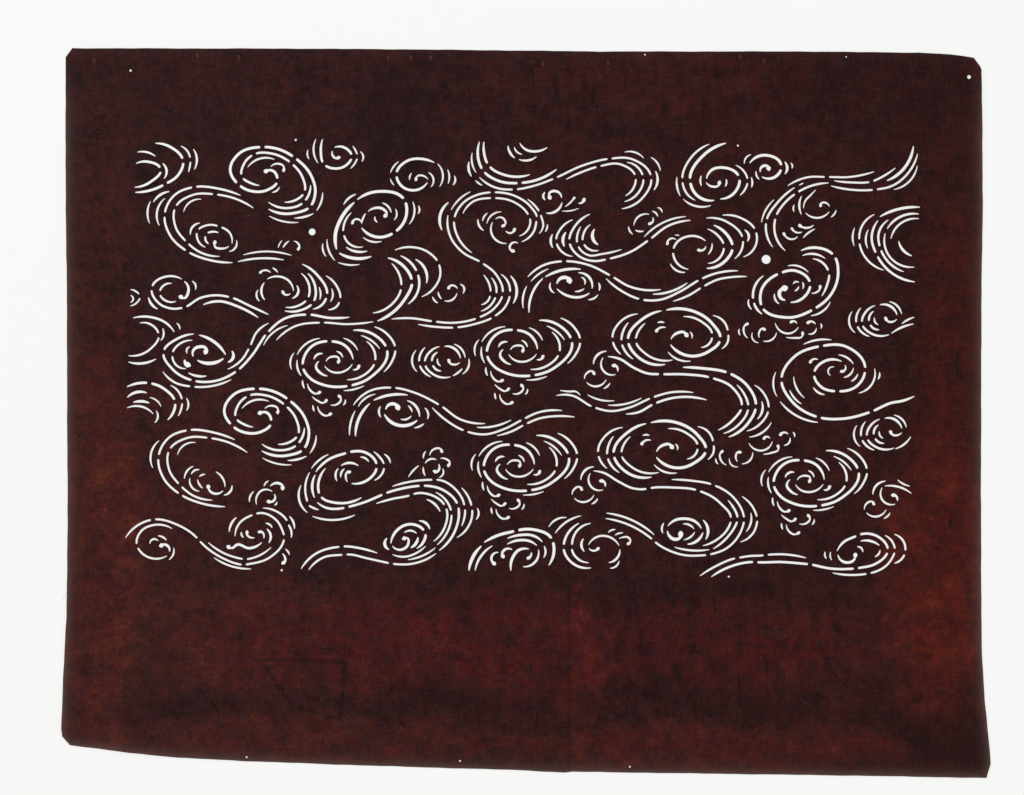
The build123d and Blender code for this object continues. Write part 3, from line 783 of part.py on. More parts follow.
def lower_right_crest():
    return [
        (1.0, (36.1, -45), (48.8, -48.7), (57.7, -54.8)),
        (1.0, (35.7, -47.4), (46.8, -50.5), (56.2, -56.3), tie(57.4, -57.3), (58.6, -58.4),
         (63.7, -61.5), (70.7, -63.8), (80.7, -63.9), tie(82, -63.8), (83.3, -63.5), (90.7, -60.5),
         (96.3, -54), (98, -49.1), tie(98.2, -47.9), (98, -46.5), (93.4, -38), (85.5, -32.8),
         tie(84.2, -32.3), (82.7, -31.8), (76, -30.6), (65.5, -29.9)),
        (1.05, (79.5, -59.7), (85.8, -57), (90.8, -52), (92, -49.2), tie(92.2, -48), (92.1, -46.6),
         (87.9, -41), (83.4, -37.4), (78.7, -35.3), tie(77.4, -34.8), (75.9, -34.4), (66.2, -33.5),
         (56.9, -33.6), tie(55.1, -33.9), (53.4, -34.2), (48.4, -33.9), (41.6, -30.8), (34.7, -26.8),
         (30.3, -26)),
        (1.05, (90.8, -39.2), (93.2, -42.3), (95.1, -46.6), tie(95.2, -47.9), (94.8, -49.3),
         (91.8, -54.4), (84.1, -61.1)),
        (1.05, (101.1, -44.8), (101.2, -49.1), (99, -53.4)),
        (1.0, (97.1, -37.5), (101.2, -41.1), (103.8, -46.4), tie(104.1, -47.5), (104, -48.7),
         (102.1, -54.1), (96.4, -58)),
        (1.0, (82.5, -61.4), (74.7, -61.8), (66.8, -60.3)),
        (1.3, (63.8, -50.8), (66.6, -48.4), (71.3, -47.5), (76.3, -48.9), (78.9, -52)),
        (1.6, curl(69, -53.3), (69.4, -55.8), (66.8, -56.8), (64.5, -55.3), (63.6, -53)),
        (1.0, (70.6, -49.9), (73.3, -50.2), (75.6, -52.2)),
        (1.0, (75.9, -53.5), (73.8, -55.9), (70.9, -57)),
        (1.4, (79.6, -53.7), (77.3, -57.2), (72.6, -59)),
        (1.05, (62.1, -49.4), (61.1, -51.8), (61.6, -54.1)),
        (1.4, (79.6, -48.1), (81.8, -51.9), (80.8, -56.9)),
    ]


def lower_right_whirl():
    return [
        (1.0, (78.2, -73.3), (86.3, -68.4), (93.9, -65.4), tie(95, -65.2), (96.2, -65), (100.8, -64.3),
         (106.6, -64), tie(107.8, -63.8), (109.1, -63.7), (116.8, -63.6), (126.1, -65.2)),
        (1.15, (83.3, -73.7), (91.8, -69.1), (101.8, -67), tie(103.1, -67), (104.4, -67.1),
         (114.8, -67), (126.5, -67.9), tie(127.8, -68), (129.1, -68.3), (136.8, -69.9), (147.1, -70),
         tie(148.4, -69.9), (149.6, -69.7), (157.3, -67.8), (162.3, -63.4), tie(162.9, -62),
         (162.6, -60.4), (158.2, -55.5), (150.7, -54.5), tie(149.4, -54.9), (148.1, -55.5),
         (142.8, -58.1), (139.9, -62.1)),
        (1.0, (137.9, -71.9), (144.8, -72.8), (152.8, -72.4), tie(154.1, -72.2), (155.4, -71.9),
         (162.3, -68.4), (165.7, -63.1), tie(166.1, -61.9), (165.9, -60.7), (164.4, -57.3),
         (161.4, -55)),
        (1.2, (150.5, -57.6), (154.8, -57.5), (159, -59.6)),
        (1.3, curl(147.9, -62.9), (147.8, -65.6), (143.8, -67.2), (140.3, -63.7)),
        (1.0, (148.9, -60.1), (150.8, -60.7), (151.5, -62.6)),
        (1.0, (159.3, -61.5), (158.7, -63.3), (156.9, -64.7)),
        (1.05, (165.6, -54.5), (169.5, -57.2), (170.7, -61.6), tie(170.6, -62.8), (170.1, -64),
         (168.4, -66.2), (165.6, -67.6)),
        (0.95, (134.6, -62.3), (134.4, -63.9), (135.2, -65.6)),
        (0.8, (137.1, -62.4), (136.8, -64.4), (137.6, -66.2)),
        (1.0, (161.3, -32.8), (167.6, -33.2), (173.4, -36.2)),
        (0.9, (167.1, -30), (169.6, -31.8), (172.7, -32.9)),
    ]


def pattern():
    """Every line of the stencil: its motifs where they were first drawn, and their copies."""
    lines = whirl_at_left_edge() + upper_swirl_eye() + lower_swirl_eye() + swirl_tail() + small_eye_top()
    lines += round_eye() + slanted_whirl() + sickles() + tall_whirl() + top_stream() + small_eye_middle()
    lines += twin_whirls() + top_right_stream() + whirl_at_right_edge() + left_eye() + left_whirl()
    lines += nested_eye() + ends_by_small_eyes() + wave_crest() + upper_wave_crest() + stream_from_curl()
    lines += right_whirl() + whirl_with_stem() + bottom_left_whirl() + lower_sickle() + bottom_whirl()
    lines += lower_right_crest() + lower_right_whirl()
    for shift, turn in [((0, 0), 0), ((-5, -113), -1.4)]:
        lines += turned(open_swirl(), shift, turn, (0, 0))
    for shift, turn in [((0, 0), 0), ((-4.8, -111), -1.1)]:
        lines += turned(hook_whirl(), shift, turn, (0, 0))
    for shift, turn in [((0, 0), 0), ((82.9, 4.8), -3.1), ((81.5, -46.9), -3.7), ((211.9, -53.8),
        -3.2)]:
        lines += turned(whirlpool(), shift, turn, (-83, 23))
    for shift, turn in [((0, 0), 0), ((196.6, 18.5), 5.9), ((198.8, -32.6), 6.5)]:
        lines += turned(small_eye(), shift, turn, (-39, 23))
    for shift, turn in [((0, 0), 0), ((-5.6, -52), 0.9), ((125.8, -58.5), 1.8)]:
        lines += turned(double_curl(), shift, turn, (34, 19))
    for shift, turn in [((0, 0), 0), ((-6.5, -50.6), 1.8)]:
        lines += turned(hooked_eye(), shift, turn, (65, 34))
    for shift, turn in [((0, 0), 0), ((-10.8, -54.8), 14.9)]:
        lines += turned(foam(), shift, turn, (109, 37))
    return lines


def smooth(points):
    """A smooth curve through the points: places along it, and the distance at which each tie lies."""
    place = [(x, y) for x, y, *kind in points]
    toward = []
    for i in range(1, len(place) - 1):
        ux, uy = place[i][0] - place[i - 1][0], place[i][1] - place[i - 1][1]
        vx, vy = place[i + 1][0] - place[i][0], place[i + 1][1] - place[i][1]
        u, v = math.hypot(ux, uy), math.hypot(vx, vy)
        tx, ty = ux / u * v + vx / v * u, uy / u * v + vy / v * u
        toward.append((tx / math.hypot(tx, ty), ty / math.hypot(tx, ty)))
    toward.insert(0, mirrored(place[0], place[1], toward[0]))
    toward.append(mirrored(place[-2], place[-1], toward[-1]))
    track, ties, run = [place[0]], [], 0.0
    for i in range(len(place) - 1):
        (ax, ay), (bx, by) = place[i], place[i + 1]
        (sx, sy), (ex, ey) = toward[i], toward[i + 1]
        turn = abs(math.atan2(sx * ey - sy * ex, sx * ex + sy * ey))
        pull = math.hypot(bx - ax, by - ay) / math.cos(turn / 4) ** 2
        for k in range(1, TRACK_STEPS + 1):
            t = k / TRACK_STEPS
            h, g = t * t * (3 - 2 * t), t * (1 - t) ** 2
            j = -t * t * (1 - t)
            x = ax + (bx - ax) * h + pull * (sx * g + ex * j)
            y = ay + (by - ay) * h + pull * (sy * g + ey * j)
            run += math.hypot(x - track[-1][0], y - track[-1][1])
            track.append((x, y))
        if "tie" in points[i + 1]:
            ties.append(run)
    return track, ties


def mirrored(a, b, direction):
    """The direction at the far end of the arc that leaves along the given direction over the chord ab."""
    cx, cy = b[0] - a[0], b[1] - a[1]
    c = math.hypot(cx, cy)
    along = (cx * direction[0] + cy * direction[1]) / c
    return (2 * along * cx / c - direction[0], 2 * along * cy / c - direction[1])


def place_on(track, distance):
    """Where a point lies at this distance along the track, and the direction there."""
    run = 0.0
    for (ax, ay), (bx, by) in zip(track, track[1:]):
        step = math.hypot(bx - ax, by - ay)
        if run + step >= distance or (bx, by) == track[-1]:
            t = (distance - run) / step
            return ax + t * (bx - ax), ay + t * (by - ay), (bx - ax) / step, (by - ay) / step
        run += step


def track_length(track):
    return sum(math.hypot(bx - ax, by - ay) for (ax, ay), (bx, by) in zip(track, track[1:]))


def slits_of(line):
    """The slits of one line: width, track, where it starts and stops, and which ends are free."""
    width, *points = line
    track, ties = smooth(points)
    starts = [0.0] + [tie_at + BRIDGE / 2 for tie_at in ties]
    stops = [tie_at - BRIDGE / 2 for tie_at in ties] + [track_length(track)]
    last = len(ties)
    return [(width, track, starts[i], stops[i], i == 0, i == last) for i in range(last + 1)]


def share_of_width(slit, distance):
    """The line swells in the middle, thins to a free tip and stays blunt at a bridge."""
    width, track, start, stop, free_start, free_stop = slit
    share = 1.0
    for gap, free in [(distance - start, free_start), (stop - distance, free_stop)]:
        least = TIP_SHARE if free else BLUNT_SHARE
        length = min(TAPER_LENGTH, (stop - start) / 2)
        share = min(share, least + (1 - least) * math.sin(min(gap / length, 1) * math.pi / 2))
    return share


def turn_along(slit):
    """How far the slit turns from one end to the other, in radians."""
    width, track, start, stop, *free = slit
    total, steps = 0.0, 12
    before = place_on(track, start)
    for k in range(1, steps + 1):
        here = place_on(track, start + (stop - start) * k / steps)
        across = before[2] * here[3] - before[3] * here[2]
        along = before[2] * here[2] + before[3] * here[3]
        total += abs(math.atan2(across, along))
        before = here
    return total


def slit_sides(slit):
    """The corners of the slit, once round it, with only as many on each side as its bend needs."""
    width, track, start, stop, *free = slit
    facets = max(2, math.ceil(turn_along(slit) / FACET_TURN - 0.2))
    left, right = [], []
    for k in range(facets + 1):
        distance = start + (stop - start) * k / facets
        x, y, dx, dy = place_on(track, distance)
        half = width / 2 * share_of_width(slit, distance)
        left.append((x - dy * half, y + dx * half))
        right.append((x + dy * half, y - dx * half))
    return left + right[::-1]


def stencil_sheet():
    """The sheet with its slits and dots, cut straight through."""
    slits = [slit for line in pattern() for slit in slits_of(line)]
    long_slits = [slit for slit in slits if slit[3] - slit[2] >= SHORTEST_SLIT]
    holes = [Wire.make_polygon([(x, y) for x, y in slit_sides(slit)], close=True) for slit in long_slits]
    holes.append(Wire.make_circle(LEFT_DOT_RADIUS, Plane(LEFT_DOT)))
    holes.append(Wire.make_circle(RIGHT_DOT_RADIUS, Plane(RIGHT_DOT)))
    outline = Wire.make_polygon(sheet_corners(), close=True)
    print(f"{len(slits)} slits in the pattern, {len(long_slits)} of them cut")
    return extrude(Face(outline, holes), THICKNESS, dir=(0, 0, 1))


os.makedirs("parts", exist_ok=True)
sheet = stencil_sheet()
export_step(sheet, "parts/stencil_sheet.step")
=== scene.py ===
# %% [markdown]
# This lesson dresses one object: a stencil for dyeing kimono cloth. The real one is two to four thin
# sheets of mulberry paper, laminated with persimmon tannin, smoked dark, and cut through by hand
# with a pattern of swirling water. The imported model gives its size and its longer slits. Blender adds
# every slit at its full smoothness, the gentle waviness of old paper and the finish of the tannin.

# %% The frame
import math

import bpy
import numpy as np
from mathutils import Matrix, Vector
from mathutils.geometry import delaunay_2d_cdt


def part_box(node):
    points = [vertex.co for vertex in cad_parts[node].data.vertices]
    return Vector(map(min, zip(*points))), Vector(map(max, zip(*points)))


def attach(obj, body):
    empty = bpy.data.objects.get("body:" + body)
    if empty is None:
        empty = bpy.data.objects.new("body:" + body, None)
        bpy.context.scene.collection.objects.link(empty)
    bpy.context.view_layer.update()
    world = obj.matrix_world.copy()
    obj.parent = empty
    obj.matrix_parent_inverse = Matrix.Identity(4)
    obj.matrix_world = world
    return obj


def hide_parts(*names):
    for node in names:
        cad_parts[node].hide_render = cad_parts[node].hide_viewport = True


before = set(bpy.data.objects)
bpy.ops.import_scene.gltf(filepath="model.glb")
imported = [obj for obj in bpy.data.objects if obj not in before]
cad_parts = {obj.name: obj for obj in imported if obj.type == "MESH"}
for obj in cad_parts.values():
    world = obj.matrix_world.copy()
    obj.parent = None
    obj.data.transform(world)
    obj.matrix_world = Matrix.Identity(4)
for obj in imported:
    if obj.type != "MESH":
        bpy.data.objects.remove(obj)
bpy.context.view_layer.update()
node_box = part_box("stencil_sheet")
print("the sheet in the packed model, in metres:", [tuple(round(c, 4) for c in p) for p in node_box])

# %% [markdown]
# Blender works in metres, and the pattern is easier to read in millimetres, so the shapes are worked
# out in millimetres and scaled once, when the mesh is made. The sheet's edges come from the packed
# model's box, so that the visible sheet stays where the solid one is.

# %% The sheet's size
MM = 0.001
LEFT, BOTTOM, UNDERSIDE = (c / MM for c in node_box[0])
RIGHT, TOP, FACE = (c / MM for c in node_box[1])
THICKNESS = FACE - UNDERSIDE
print(f"{RIGHT - LEFT:.1f} by {TOP - BOTTOM:.1f} mm, {THICKNESS:.2f} mm thick")

# %% [markdown]
# The edge was trimmed by hand, so its sides lean a little and its corners are clipped. It is written
# as the corners where the line turns. Between them the blade wandered by a tenth of a millimetre or
# so, which a few sine waves of different lengths stand for.

# %% The trimmed edge
EDGE_STEP = 1.6
BLADE_WANDER = 0.11
BLADE_BIAS = 0.3
BLADE_WAVES = [(1.0, 7.3, 0), (0.8, 3.1, 1), (0.6, 1.7, 2)]


def sheet_corners():
    """The corners of the trimmed edge, counterclockwise from the left end of the top side."""
    left = [(LEFT + 1.8, TOP - 4.1), (LEFT + 1.8, 100), (LEFT + 2.4, 50), (LEFT + 2.5, 6)]
    left += [(LEFT + 2.8, -50), (LEFT + 2.2, -93), (LEFT + 0.7, -120), (LEFT, BOTTOM + 22)]
    bottom_left = [(LEFT + 0.4, BOTTOM + 18.8), (LEFT + 3.9, BOTTOM + 14.8), (-178, BOTTOM + 11.3)]
    bottom_left += [(-156, BOTTOM + 9.1), (-124, BOTTOM + 7.5)]
    bottom = [(-88, BOTTOM + 6.1), (-48, BOTTOM + 4.8), (-3, BOTTOM + 3.5), (17.3, BOTTOM + 2.4)]
    bottom += [(20.7, BOTTOM + 2.8), (78, BOTTOM + 2), (150, BOTTOM + 1), (RIGHT - 1.8, BOTTOM)]
    right = [(RIGHT, BOTTOM + 6.3), (RIGHT - 0.3, -152), (RIGHT - 1.3, -143), (RIGHT - 2.6, -129)]
    right += [(RIGHT - 4, -105), (RIGHT - 4.3, -40), (RIGHT - 4.1, 51), (RIGHT - 3.5, 95)]
    top_right = [(RIGHT - 3.8, 132), (RIGHT - 4.1, TOP - 9.6), (RIGHT - 4.9, TOP - 8)]
    top_right += [(RIGHT - 7.6, TOP - 4.4), (191, TOP - 2.9), (177, TOP - 2.1)]
    top = [(123, TOP - 1.5), (33, TOP - 1.5), (-57, TOP - 0.5), (-102, TOP - 0.2), (LEFT + 4.9, TOP)]
    return np.array(left + bottom_left + bottom + right + top_right + top)


def trimmed_edge(corners):
    """Points along each side from its corner on, and the direction into the paper at each."""
    ends = np.roll(corners, -1, 0)
    counts = np.ceil(np.hypot(*(ends - corners).T) / EDGE_STEP).astype(int)
    shares = [np.arange(count)[:, None] / count for count in counts]
    points = np.vstack([a + (b - a) * share for a, b, share in zip(corners, ends, shares)])
    ahead = np.roll(points, -1, 0) - np.roll(points, 1, 0)
    inward = np.stack([-ahead[:, 1], ahead[:, 0]], axis=1) / np.hypot(*ahead.T)[:, None]
    along = EDGE_STEP * np.arange(len(points))
    wander = sum(size * np.sin(along / length + shift) for size, length, shift in BLADE_WAVES)
    wander /= sum(size for size, _, _ in BLADE_WAVES)
    return points + inward * BLADE_WANDER * (BLADE_BIAS + wander[:, None]), inward


edge, edge_inward = trimmed_edge(sheet_corners())
print(len(edge), "points round the edge")

# %% [markdown]
# The pattern is drawn with lines, as a cutter follows a brush drawing. A line is a width and a few
# points of a smooth curve. Where a line is long, bridges of paper cross it, or the sheet would fall
# apart: tie() marks the middle of a bridge. A line that begins in a small round head has curl() as
# its first point. turned() repeats a motif elsewhere, because such patterns reuse their motifs.

# %% Marks on a line
def tie(x, y):
    """The middle of a bridge of paper that crosses a line and keeps the sheet together."""
    return (x, y, "tie")


def curl(x, y):
    """The round head that a line starts with."""
    return (x, y, "curl")


def turned(motif, shift, degrees, pivot):
    """The same lines again, turned about the pivot and then shifted."""
    c, s = math.cos(math.radians(degrees)), math.sin(math.radians(degrees))
    copies = []
    for width, *points in motif:
        moved = []
        for x, y, *kind in points:
            dx, dy = x - pivot[0], y - pivot[1]
            x, y = pivot[0] + shift[0] + c * dx - s * dy, pivot[1] + shift[1] + s * dx + c * dy
            moved.append((x, y, *kind))
        copies.append((width, *moved))
    return copies

# %% [markdown]
# Each function from here on returns one motif, as the lines that it is made of, in millimetres from
# the middle of the sheet. These lie at the upper left. The eye inside the open swirl is drawn apart
# from it, because the swirl comes back lower down with another eye.

# %% Swirls at the upper left
def whirl_at_left_edge():
    """The whirl that the left edge of the pattern cuts through."""
    return [
        (1.0, (-174.9, 117.4), (-170.6, 117.4), (-166.7, 115.5)),
        (1.2, (-175.5, 112.3), (-170.1, 113.1), tie(-164.4, 109.5), (-168.4, 104.4), (-176.1, 101.6)),
        (1.2, (-163.6, 112.4), (-161.7, 108.9), (-162.9, 105.5)),
        (1.25, (-166.8, 121.4), (-159.6, 119.5), tie(-154.3, 113.5), (-156.6, 107), tie(-162.4, 103),
         (-168.1, 100.5), (-175.9, 99.3)),
        (0.9, (-155.4, 120.2), (-152.3, 117.8), tie(-151, 114), (-151.3, 110.8), (-151.9, 108.3)),
        (1.1, (-149.7, 118.8), (-148.1, 114.3), (-149.3, 109.5)),
    ]


def open_swirl():
    """A wave that comes round on itself, open to the right."""
    return [
        (1.0, (-162.4, 96.7), (-166, 90.8), (-165, 84.3)),
        (1.0, (-122.6, 92.2), (-131.2, 96.6), tie(-139.9, 98.4), (-150.1, 98.1), tie(-157.8, 92.5),
         (-157.8, 84.1), tie(-152.5, 76.8), (-146.3, 72.2), (-137.8, 70.5)),
        (1.05, (-128.4, 97.9), (-138, 100.9), tie(-149.3, 101.7), (-158.1, 98.1), tie(-162.6, 89.3),
         (-160.3, 80.2), tie(-152.3, 72.7), (-143.4, 69.1), (-132, 67.7)),
        (0.9, (-146, 96.2), (-151.2, 94.9), (-154.1, 90.4)),
    ]


def upper_swirl_eye():
    """The eye inside the open swirl."""
    return [
        (1.2, (-160.4, 99.7), (-164.7, 98.1), (-167.7, 94.9)),
        (1.0, (-168.9, 95.4), (-170.3, 90.6), (-169.3, 85.3)),
        (1.1, (-146.7, 85.5), (-150.1, 83.7), (-151, 80.2)),
        (0.95, (-144.2, 74.6), (-147.6, 77.7), tie(-147.8, 81.9), (-143.6, 84.5), tie(-137.9, 83.9),
         (-133.1, 80.8), (-132.3, 76.2)),
        (1.0, (-142.7, 76.1), (-144.3, 78.2), tie(-143.9, 80.4), (-141.1, 81.6), (-138.3, 81.1)),
        (1.1, curl(-139.5, 77.5), (-140.2, 75.4), (-136.7, 74), (-133.6, 75.1)),
        (1.0, (-130.3, 77.8), (-130.4, 75), (-133.6, 72.7)),
    ]


def lower_swirl_eye():
    """The other eye, inside the swirl's copy lower down."""
    return [
        (1.0, (-149.6, -23.9), (-152.8, -26.5), (-153.7, -29.6)),
        (1.0, (-146.9, -25.5), (-149.3, -25.9), (-150.6, -27.6)),
        (1.0, (-151.2, -29.2), (-150.6, -33), (-146.9, -35.2)),
        (0.9, (-144.3, -27.5), (-145.7, -27.8), (-147.1, -28.6)),
        (0.95, (-147.8, -29.8), (-147.1, -31.9), (-145.4, -33.9)),
        (1.2, curl(-142.8, -32.2), (-142.5, -34.7), (-139.5, -36.3), (-136.3, -34.9)),
        (1.0, (-139.6, -26.4), (-136.4, -29.4), (-135.4, -33.3)),
        (1.1, (-132.3, -32.4), (-133.2, -35.5), (-136, -36.9)),
    ]


def swirl_tail():
    """The short lines where the upper swirl ends."""
    return [
        (1.0, (-129.7, 68.1), (-120.1, 69.6), (-108.9, 68.9)),
        (0.85, (-127.3, 71.1), (-117.1, 72.7), (-105.4, 70.9)),
        (0.95, (-110.9, 101.8), (-112.1, 100.1), (-114.3, 99.3)),
        (0.7, (-111.5, 74.3), (-110.9, 76.1), (-109.7, 77.7)),
        (0.9, (-109.4, 74.3), (-108.2, 76.1), (-106.5, 77.5)),
        (0.95, curl(-103, 73.4), (-101.9, 75), (-102.8, 76.6), (-104.5, 77.4)),
    ]

# %% [markdown]
# Whirls near the upper edge. In each, long lines wind about an eye, and shorter ones inside them
# follow their bend.

# %% Whirls along the upper edge
def hook_whirl():
    """A whirl that opens into three long lines to the left below it."""
    return [
        (1.3, curl(-117.8, 108.2), (-115, 109.3), tie(-111.9, 104.5), (-116.3, 100.4), (-121.8, 99.6),
         tie(-129.4, 102.9), (-133.1, 109.6), (-129.6, 116.3), tie(-118.6, 119.7), (-110.7, 118.5),
         tie(-104.1, 114.9), (-96.7, 106.9), (-94.8, 99.5), tie(-97.2, 92.8), (-103.6, 90.1),
         (-109.1, 89.7), (-115.9, 91.8)),
        (1.0, (-125.2, 110.6), (-121.1, 114), (-113.1, 114.1)),
        (1.1, (-119.9, 102.4), (-123.9, 103.5), tie(-127.8, 106.4), (-127, 111.9), tie(-122.4, 116.4),
         (-114.6, 116.8), tie(-105.6, 112.4), (-100.7, 106.4), tie(-99.8, 99.2), (-104.2, 95.6),
         (-108.7, 94.9)),
        (1.1, (-96.9, 102.6), (-97.5, 98.9), tie(-99.9, 95), (-107.7, 92.2), (-115.9, 94.9)),
        (1.0, curl(-109.4, 108.6), (-108.9, 110.6), (-112, 112.2), (-114.9, 110.8)),
        (1.1, (-95.6, 89.8), (-99.6, 88.3), (-104.2, 87.7)),
        (0.85, (-102.3, 85.8), (-109.1, 86.2), (-115.6, 88.7)),
        (1.0, (-91.5, 99.3), (-92, 95.5), (-94.3, 91)),
    ]


def small_eye_top():
    """The small eye at the upper edge."""
    return [
        (0.85, (-98, 118.5), (-98.4, 116.5), (-97.5, 114.2)),
        (0.95, (-94.5, 123.3), (-95.6, 118.5), (-93.5, 112.4)),
        (1.2, (-91.5, 123.3), (-92.3, 117.4), tie(-90.9, 112), (-85.8, 110), (-80.3, 112),
         tie(-78.4, 115.3), (-81, 119.1), (-86.2, 119.5)),
        (1.1, curl(-83.8, 115.6), (-85.2, 114.6), (-86.9, 115.7), (-87.1, 118)),
        (0.85, (-78, 120.2), (-76.5, 117.7), tie(-75.8, 115.4), (-76.9, 112.5), (-79.1, 109.9)),
        (0.95, (-74.6, 117.7), (-73.2, 115.4), (-73.9, 113.1)),
    ]


def round_eye():
    """The round eye to its right."""
    return [
        (1.25, (-44.3, 103.8), (-50.7, 100.2), (-56.9, 103.2), tie(-58.3, 107.4), (-53.5, 113.4),
         (-46.5, 114.3), (-41.2, 112.6)),
        (0.95, (-39.8, 112.2), (-37.4, 107.3), (-38.9, 101.8)),
        (0.95, curl(-49.3, 104.4), (-49.1, 106.4), (-46.9, 106.9), (-44.1, 105)),
        (0.85, (-51.4, 108), (-52.3, 106.5), (-52.3, 104.8)),
        (0.95, (-44, 108.3), (-41.6, 105.1), (-42.8, 101.7)),
        (0.85, (-57.2, 113.2), (-59.7, 110.7), (-61, 108)),
        (0.7, (-61.1, 105.5), (-60.5, 104), (-59.3, 102.4)),
        (0.9, (-35.3, 109.6), (-34.5, 106.4), (-35.1, 103.1)),
        (1.0, (-32.3, 106.8), (-31.8, 104.6), (-33, 102.5)),
    ]

# %% [markdown]
# Next come the slanted whirl, the sickle-shaped crest below it, and the tall whirl with the stream
# that runs in from the top edge and closes round a small eye.

# %% From the slanted whirl to the top stream
def slanted_whirl():
    """A whirl drawn out towards its upper right."""
    return [
        (1.4, (-75.9, 96), (-66.3, 99.7), tie(-54.6, 95.6), (-53.8, 89.2), tie(-59.2, 81.3),
         (-67.2, 79.2), (-74, 83.4)),
        (1.7, (-77.2, 94.8), (-83.5, 87), (-85.8, 80), (-85.2, 73.6)),
        (1.5, (-84.1, 72), (-77.1, 69.6), (-69.5, 70.5)),
        (1.1, (-76.4, 98.5), (-79.8, 96.6), (-82.1, 93.7)),
        (1.0, (-78.5, 90.2), (-81.5, 86), tie(-82.1, 80.9), (-79.3, 76), (-73.3, 74.8)),
        (1.2, (-81, 74.7), (-77.1, 72.8), (-71.4, 72.9)),
        (0.9, (-84.6, 67.8), (-79.1, 66.6), (-74.9, 66.9)),
        (0.95, (-89.5, 78.3), (-88.7, 73), (-85.9, 68.6)),
        (0.95, (-91.4, 76.3), (-91.3, 73), (-89.9, 70.4)),
        (1.0, curl(-78, 84.9), (-77.5, 86.8), (-75.5, 87.2), (-73.8, 85.3)),
        (1.0, (-72.1, 89.9), (-73.3, 87.7), (-74, 85.2)),
        (1.3, curl(-64.2, 88.6), (-62.7, 89.4), (-64.2, 91.7), (-67.7, 92.3), (-71, 90.7)),
        (1.0, (-64.8, 94.6), (-62.3, 93.2), (-60.6, 90.1)),
        (0.9, (-58.8, 91.9), (-58.1, 89.7), (-59.4, 86.8)),
        (0.9, (-67.9, 88.5), (-67.9, 86.9), (-66.8, 85.8)),
        (0.95, (-73.3, 79.1), (-70.1, 77.3), (-64.9, 77.3)),
        (1.0, (-51, 95.2), (-50.2, 90.2), (-52.6, 84.9)),
        (0.95, (-48.5, 93.3), (-47.9, 91.3), (-48.6, 89.6)),
    ]


def sickles():
    """The wave crest between the slanted whirl and the tall one, and the line that runs on from it."""
    return [
        (1.0, (-59, 73.3), (-50.7, 74.6), (-43.7, 72.2), tie(-39.5, 67.7), (-38.6, 62), (-40.8, 57),
         (-47, 52.3)),
        (1.4, (-62.2, 69.8), (-54.7, 65.7), tie(-51.3, 59.1), (-54.5, 51.3), (-60.3, 45),
         (-66.9, 41.4)),
        (1.05, (-60.5, 67.4), (-57.3, 63), tie(-56.1, 56.6), (-60.3, 49), (-68.9, 45)),
        (1.15, (-56.5, 70.8), (-52, 67.8), tie(-48.9, 63.1), (-48.1, 57), (-53.1, 49)),
        (1.3, (-49.8, 69.2), (-45.5, 65), (-44.8, 58.3)),
        (0.95, (-68.7, 41.1), (-80.3, 40), tie(-91.8, 40.7), (-104.3, 38.9), (-112.4, 32.7)),
        (1.0, curl(-34.8, 55.6), (-34.2, 57.2), (-32.3, 57.3), (-30.8, 55.9)),
        (0.95, (-31.1, 54), (-32.8, 51.2), (-36.7, 50.5)),
        (0.9, (-39.5, 54.7), (-39.1, 52.8), (-37.9, 51.3)),
        (0.95, (-42.1, 52.4), (-41.3, 50.8), (-39.6, 49.5)),
        (1.0, (-29.7, 58), (-27.8, 56.2), (-28.5, 53.8)),
    ]


def tall_whirl():
    """The whirl near the middle, and the lines that come down from it."""
    return [
        (1.4, (-34.8, 94.8), (-38.6, 89.1), (-37.8, 82.3)),
        (0.9, (-24.9, 99.6), (-30.1, 96.1), (-33.7, 91.3)),
        (1.0, (-24.3, 72.1), (-30.6, 79.1), tie(-32.3, 87.1), (-28.1, 94.7), (-22.1, 98.1),
         tie(-15, 99.3), (-4.1, 97.3), (1.9, 93), tie(4.9, 87.3), (4.7, 86.3), (3.4, 81.5), (-2.1, 77)),
        (0.95, (-28.4, 89.7), (-24.6, 94.6), tie(-14.8, 96.7), (-5.6, 95), tie(1.4, 88.4), (1.8, 87.3),
         (0.9, 82.6), (-3.1, 79.6)),
        (0.9, (-11, 90.5), (-15.1, 89.3), (-17.6, 85.2)),
        (0.9, (-17.3, 90), (-19, 88.1), (-19.6, 86.3)),
        (1.1, (-21.6, 87.3), (-21, 84.1), (-19, 82.1)),
        (1.0, (-15, 85.9), (-15.4, 80.5), (-12.6, 77.2), (-8.7, 76.3)),
        (1.0, curl(-11.1, 84.2), (-9.4, 84.8), (-9.7, 87), (-13.7, 87.3)),
        (1.0, curl(-5.1, 83.3), (-5.9, 81.4), (-9.1, 82)),
        (1.1, curl(-5, 73), (-7.1, 73.6), (-6.9, 75.9), (-3.6, 76.4)),
        (0.95, (0.7, 96.2), (4.4, 92.8), tie(6.3, 90), (6.8, 88.5), (7.7, 84), (5.9, 80.7)),
        (0.9, (9.6, 85), (9.4, 83), (8.6, 81.5)),
        (1.0, (-35.1, 89.1), (-33.9, 79.1), (-28.6, 72.4), tie(-20.1, 67.7), (-13.6, 62.5),
         tie(-10.5, 53.5), (-14.4, 47), tie(-21.7, 42.8), (-32.7, 40.6), tie(-41.4, 41.2),
         (-52.2, 42.7), (-60.5, 42.3)),
        (1.0, (-11.3, 62.5), (-8.1, 59), tie(-7.2, 53.6), (-9.4, 47.8), tie(-14.7, 43.2), (-23.2, 40),
         tie(-31.8, 38.5), (-40.7, 38.8), (-48.6, 39.9)),
        (0.95, (-19.2, 62.2), (-16.8, 58.6), tie(-16, 53.7), (-17.2, 50.4), (-20.2, 48.7)),
        (1.0, (-15.6, 60.9), (-13.6, 57.5), tie(-13.5, 53), (-16.1, 48.3), (-20.3, 45.8)),
        (1.3, (-7, 61.8), (-4.4, 57), (-5.8, 49.3)),
    ]


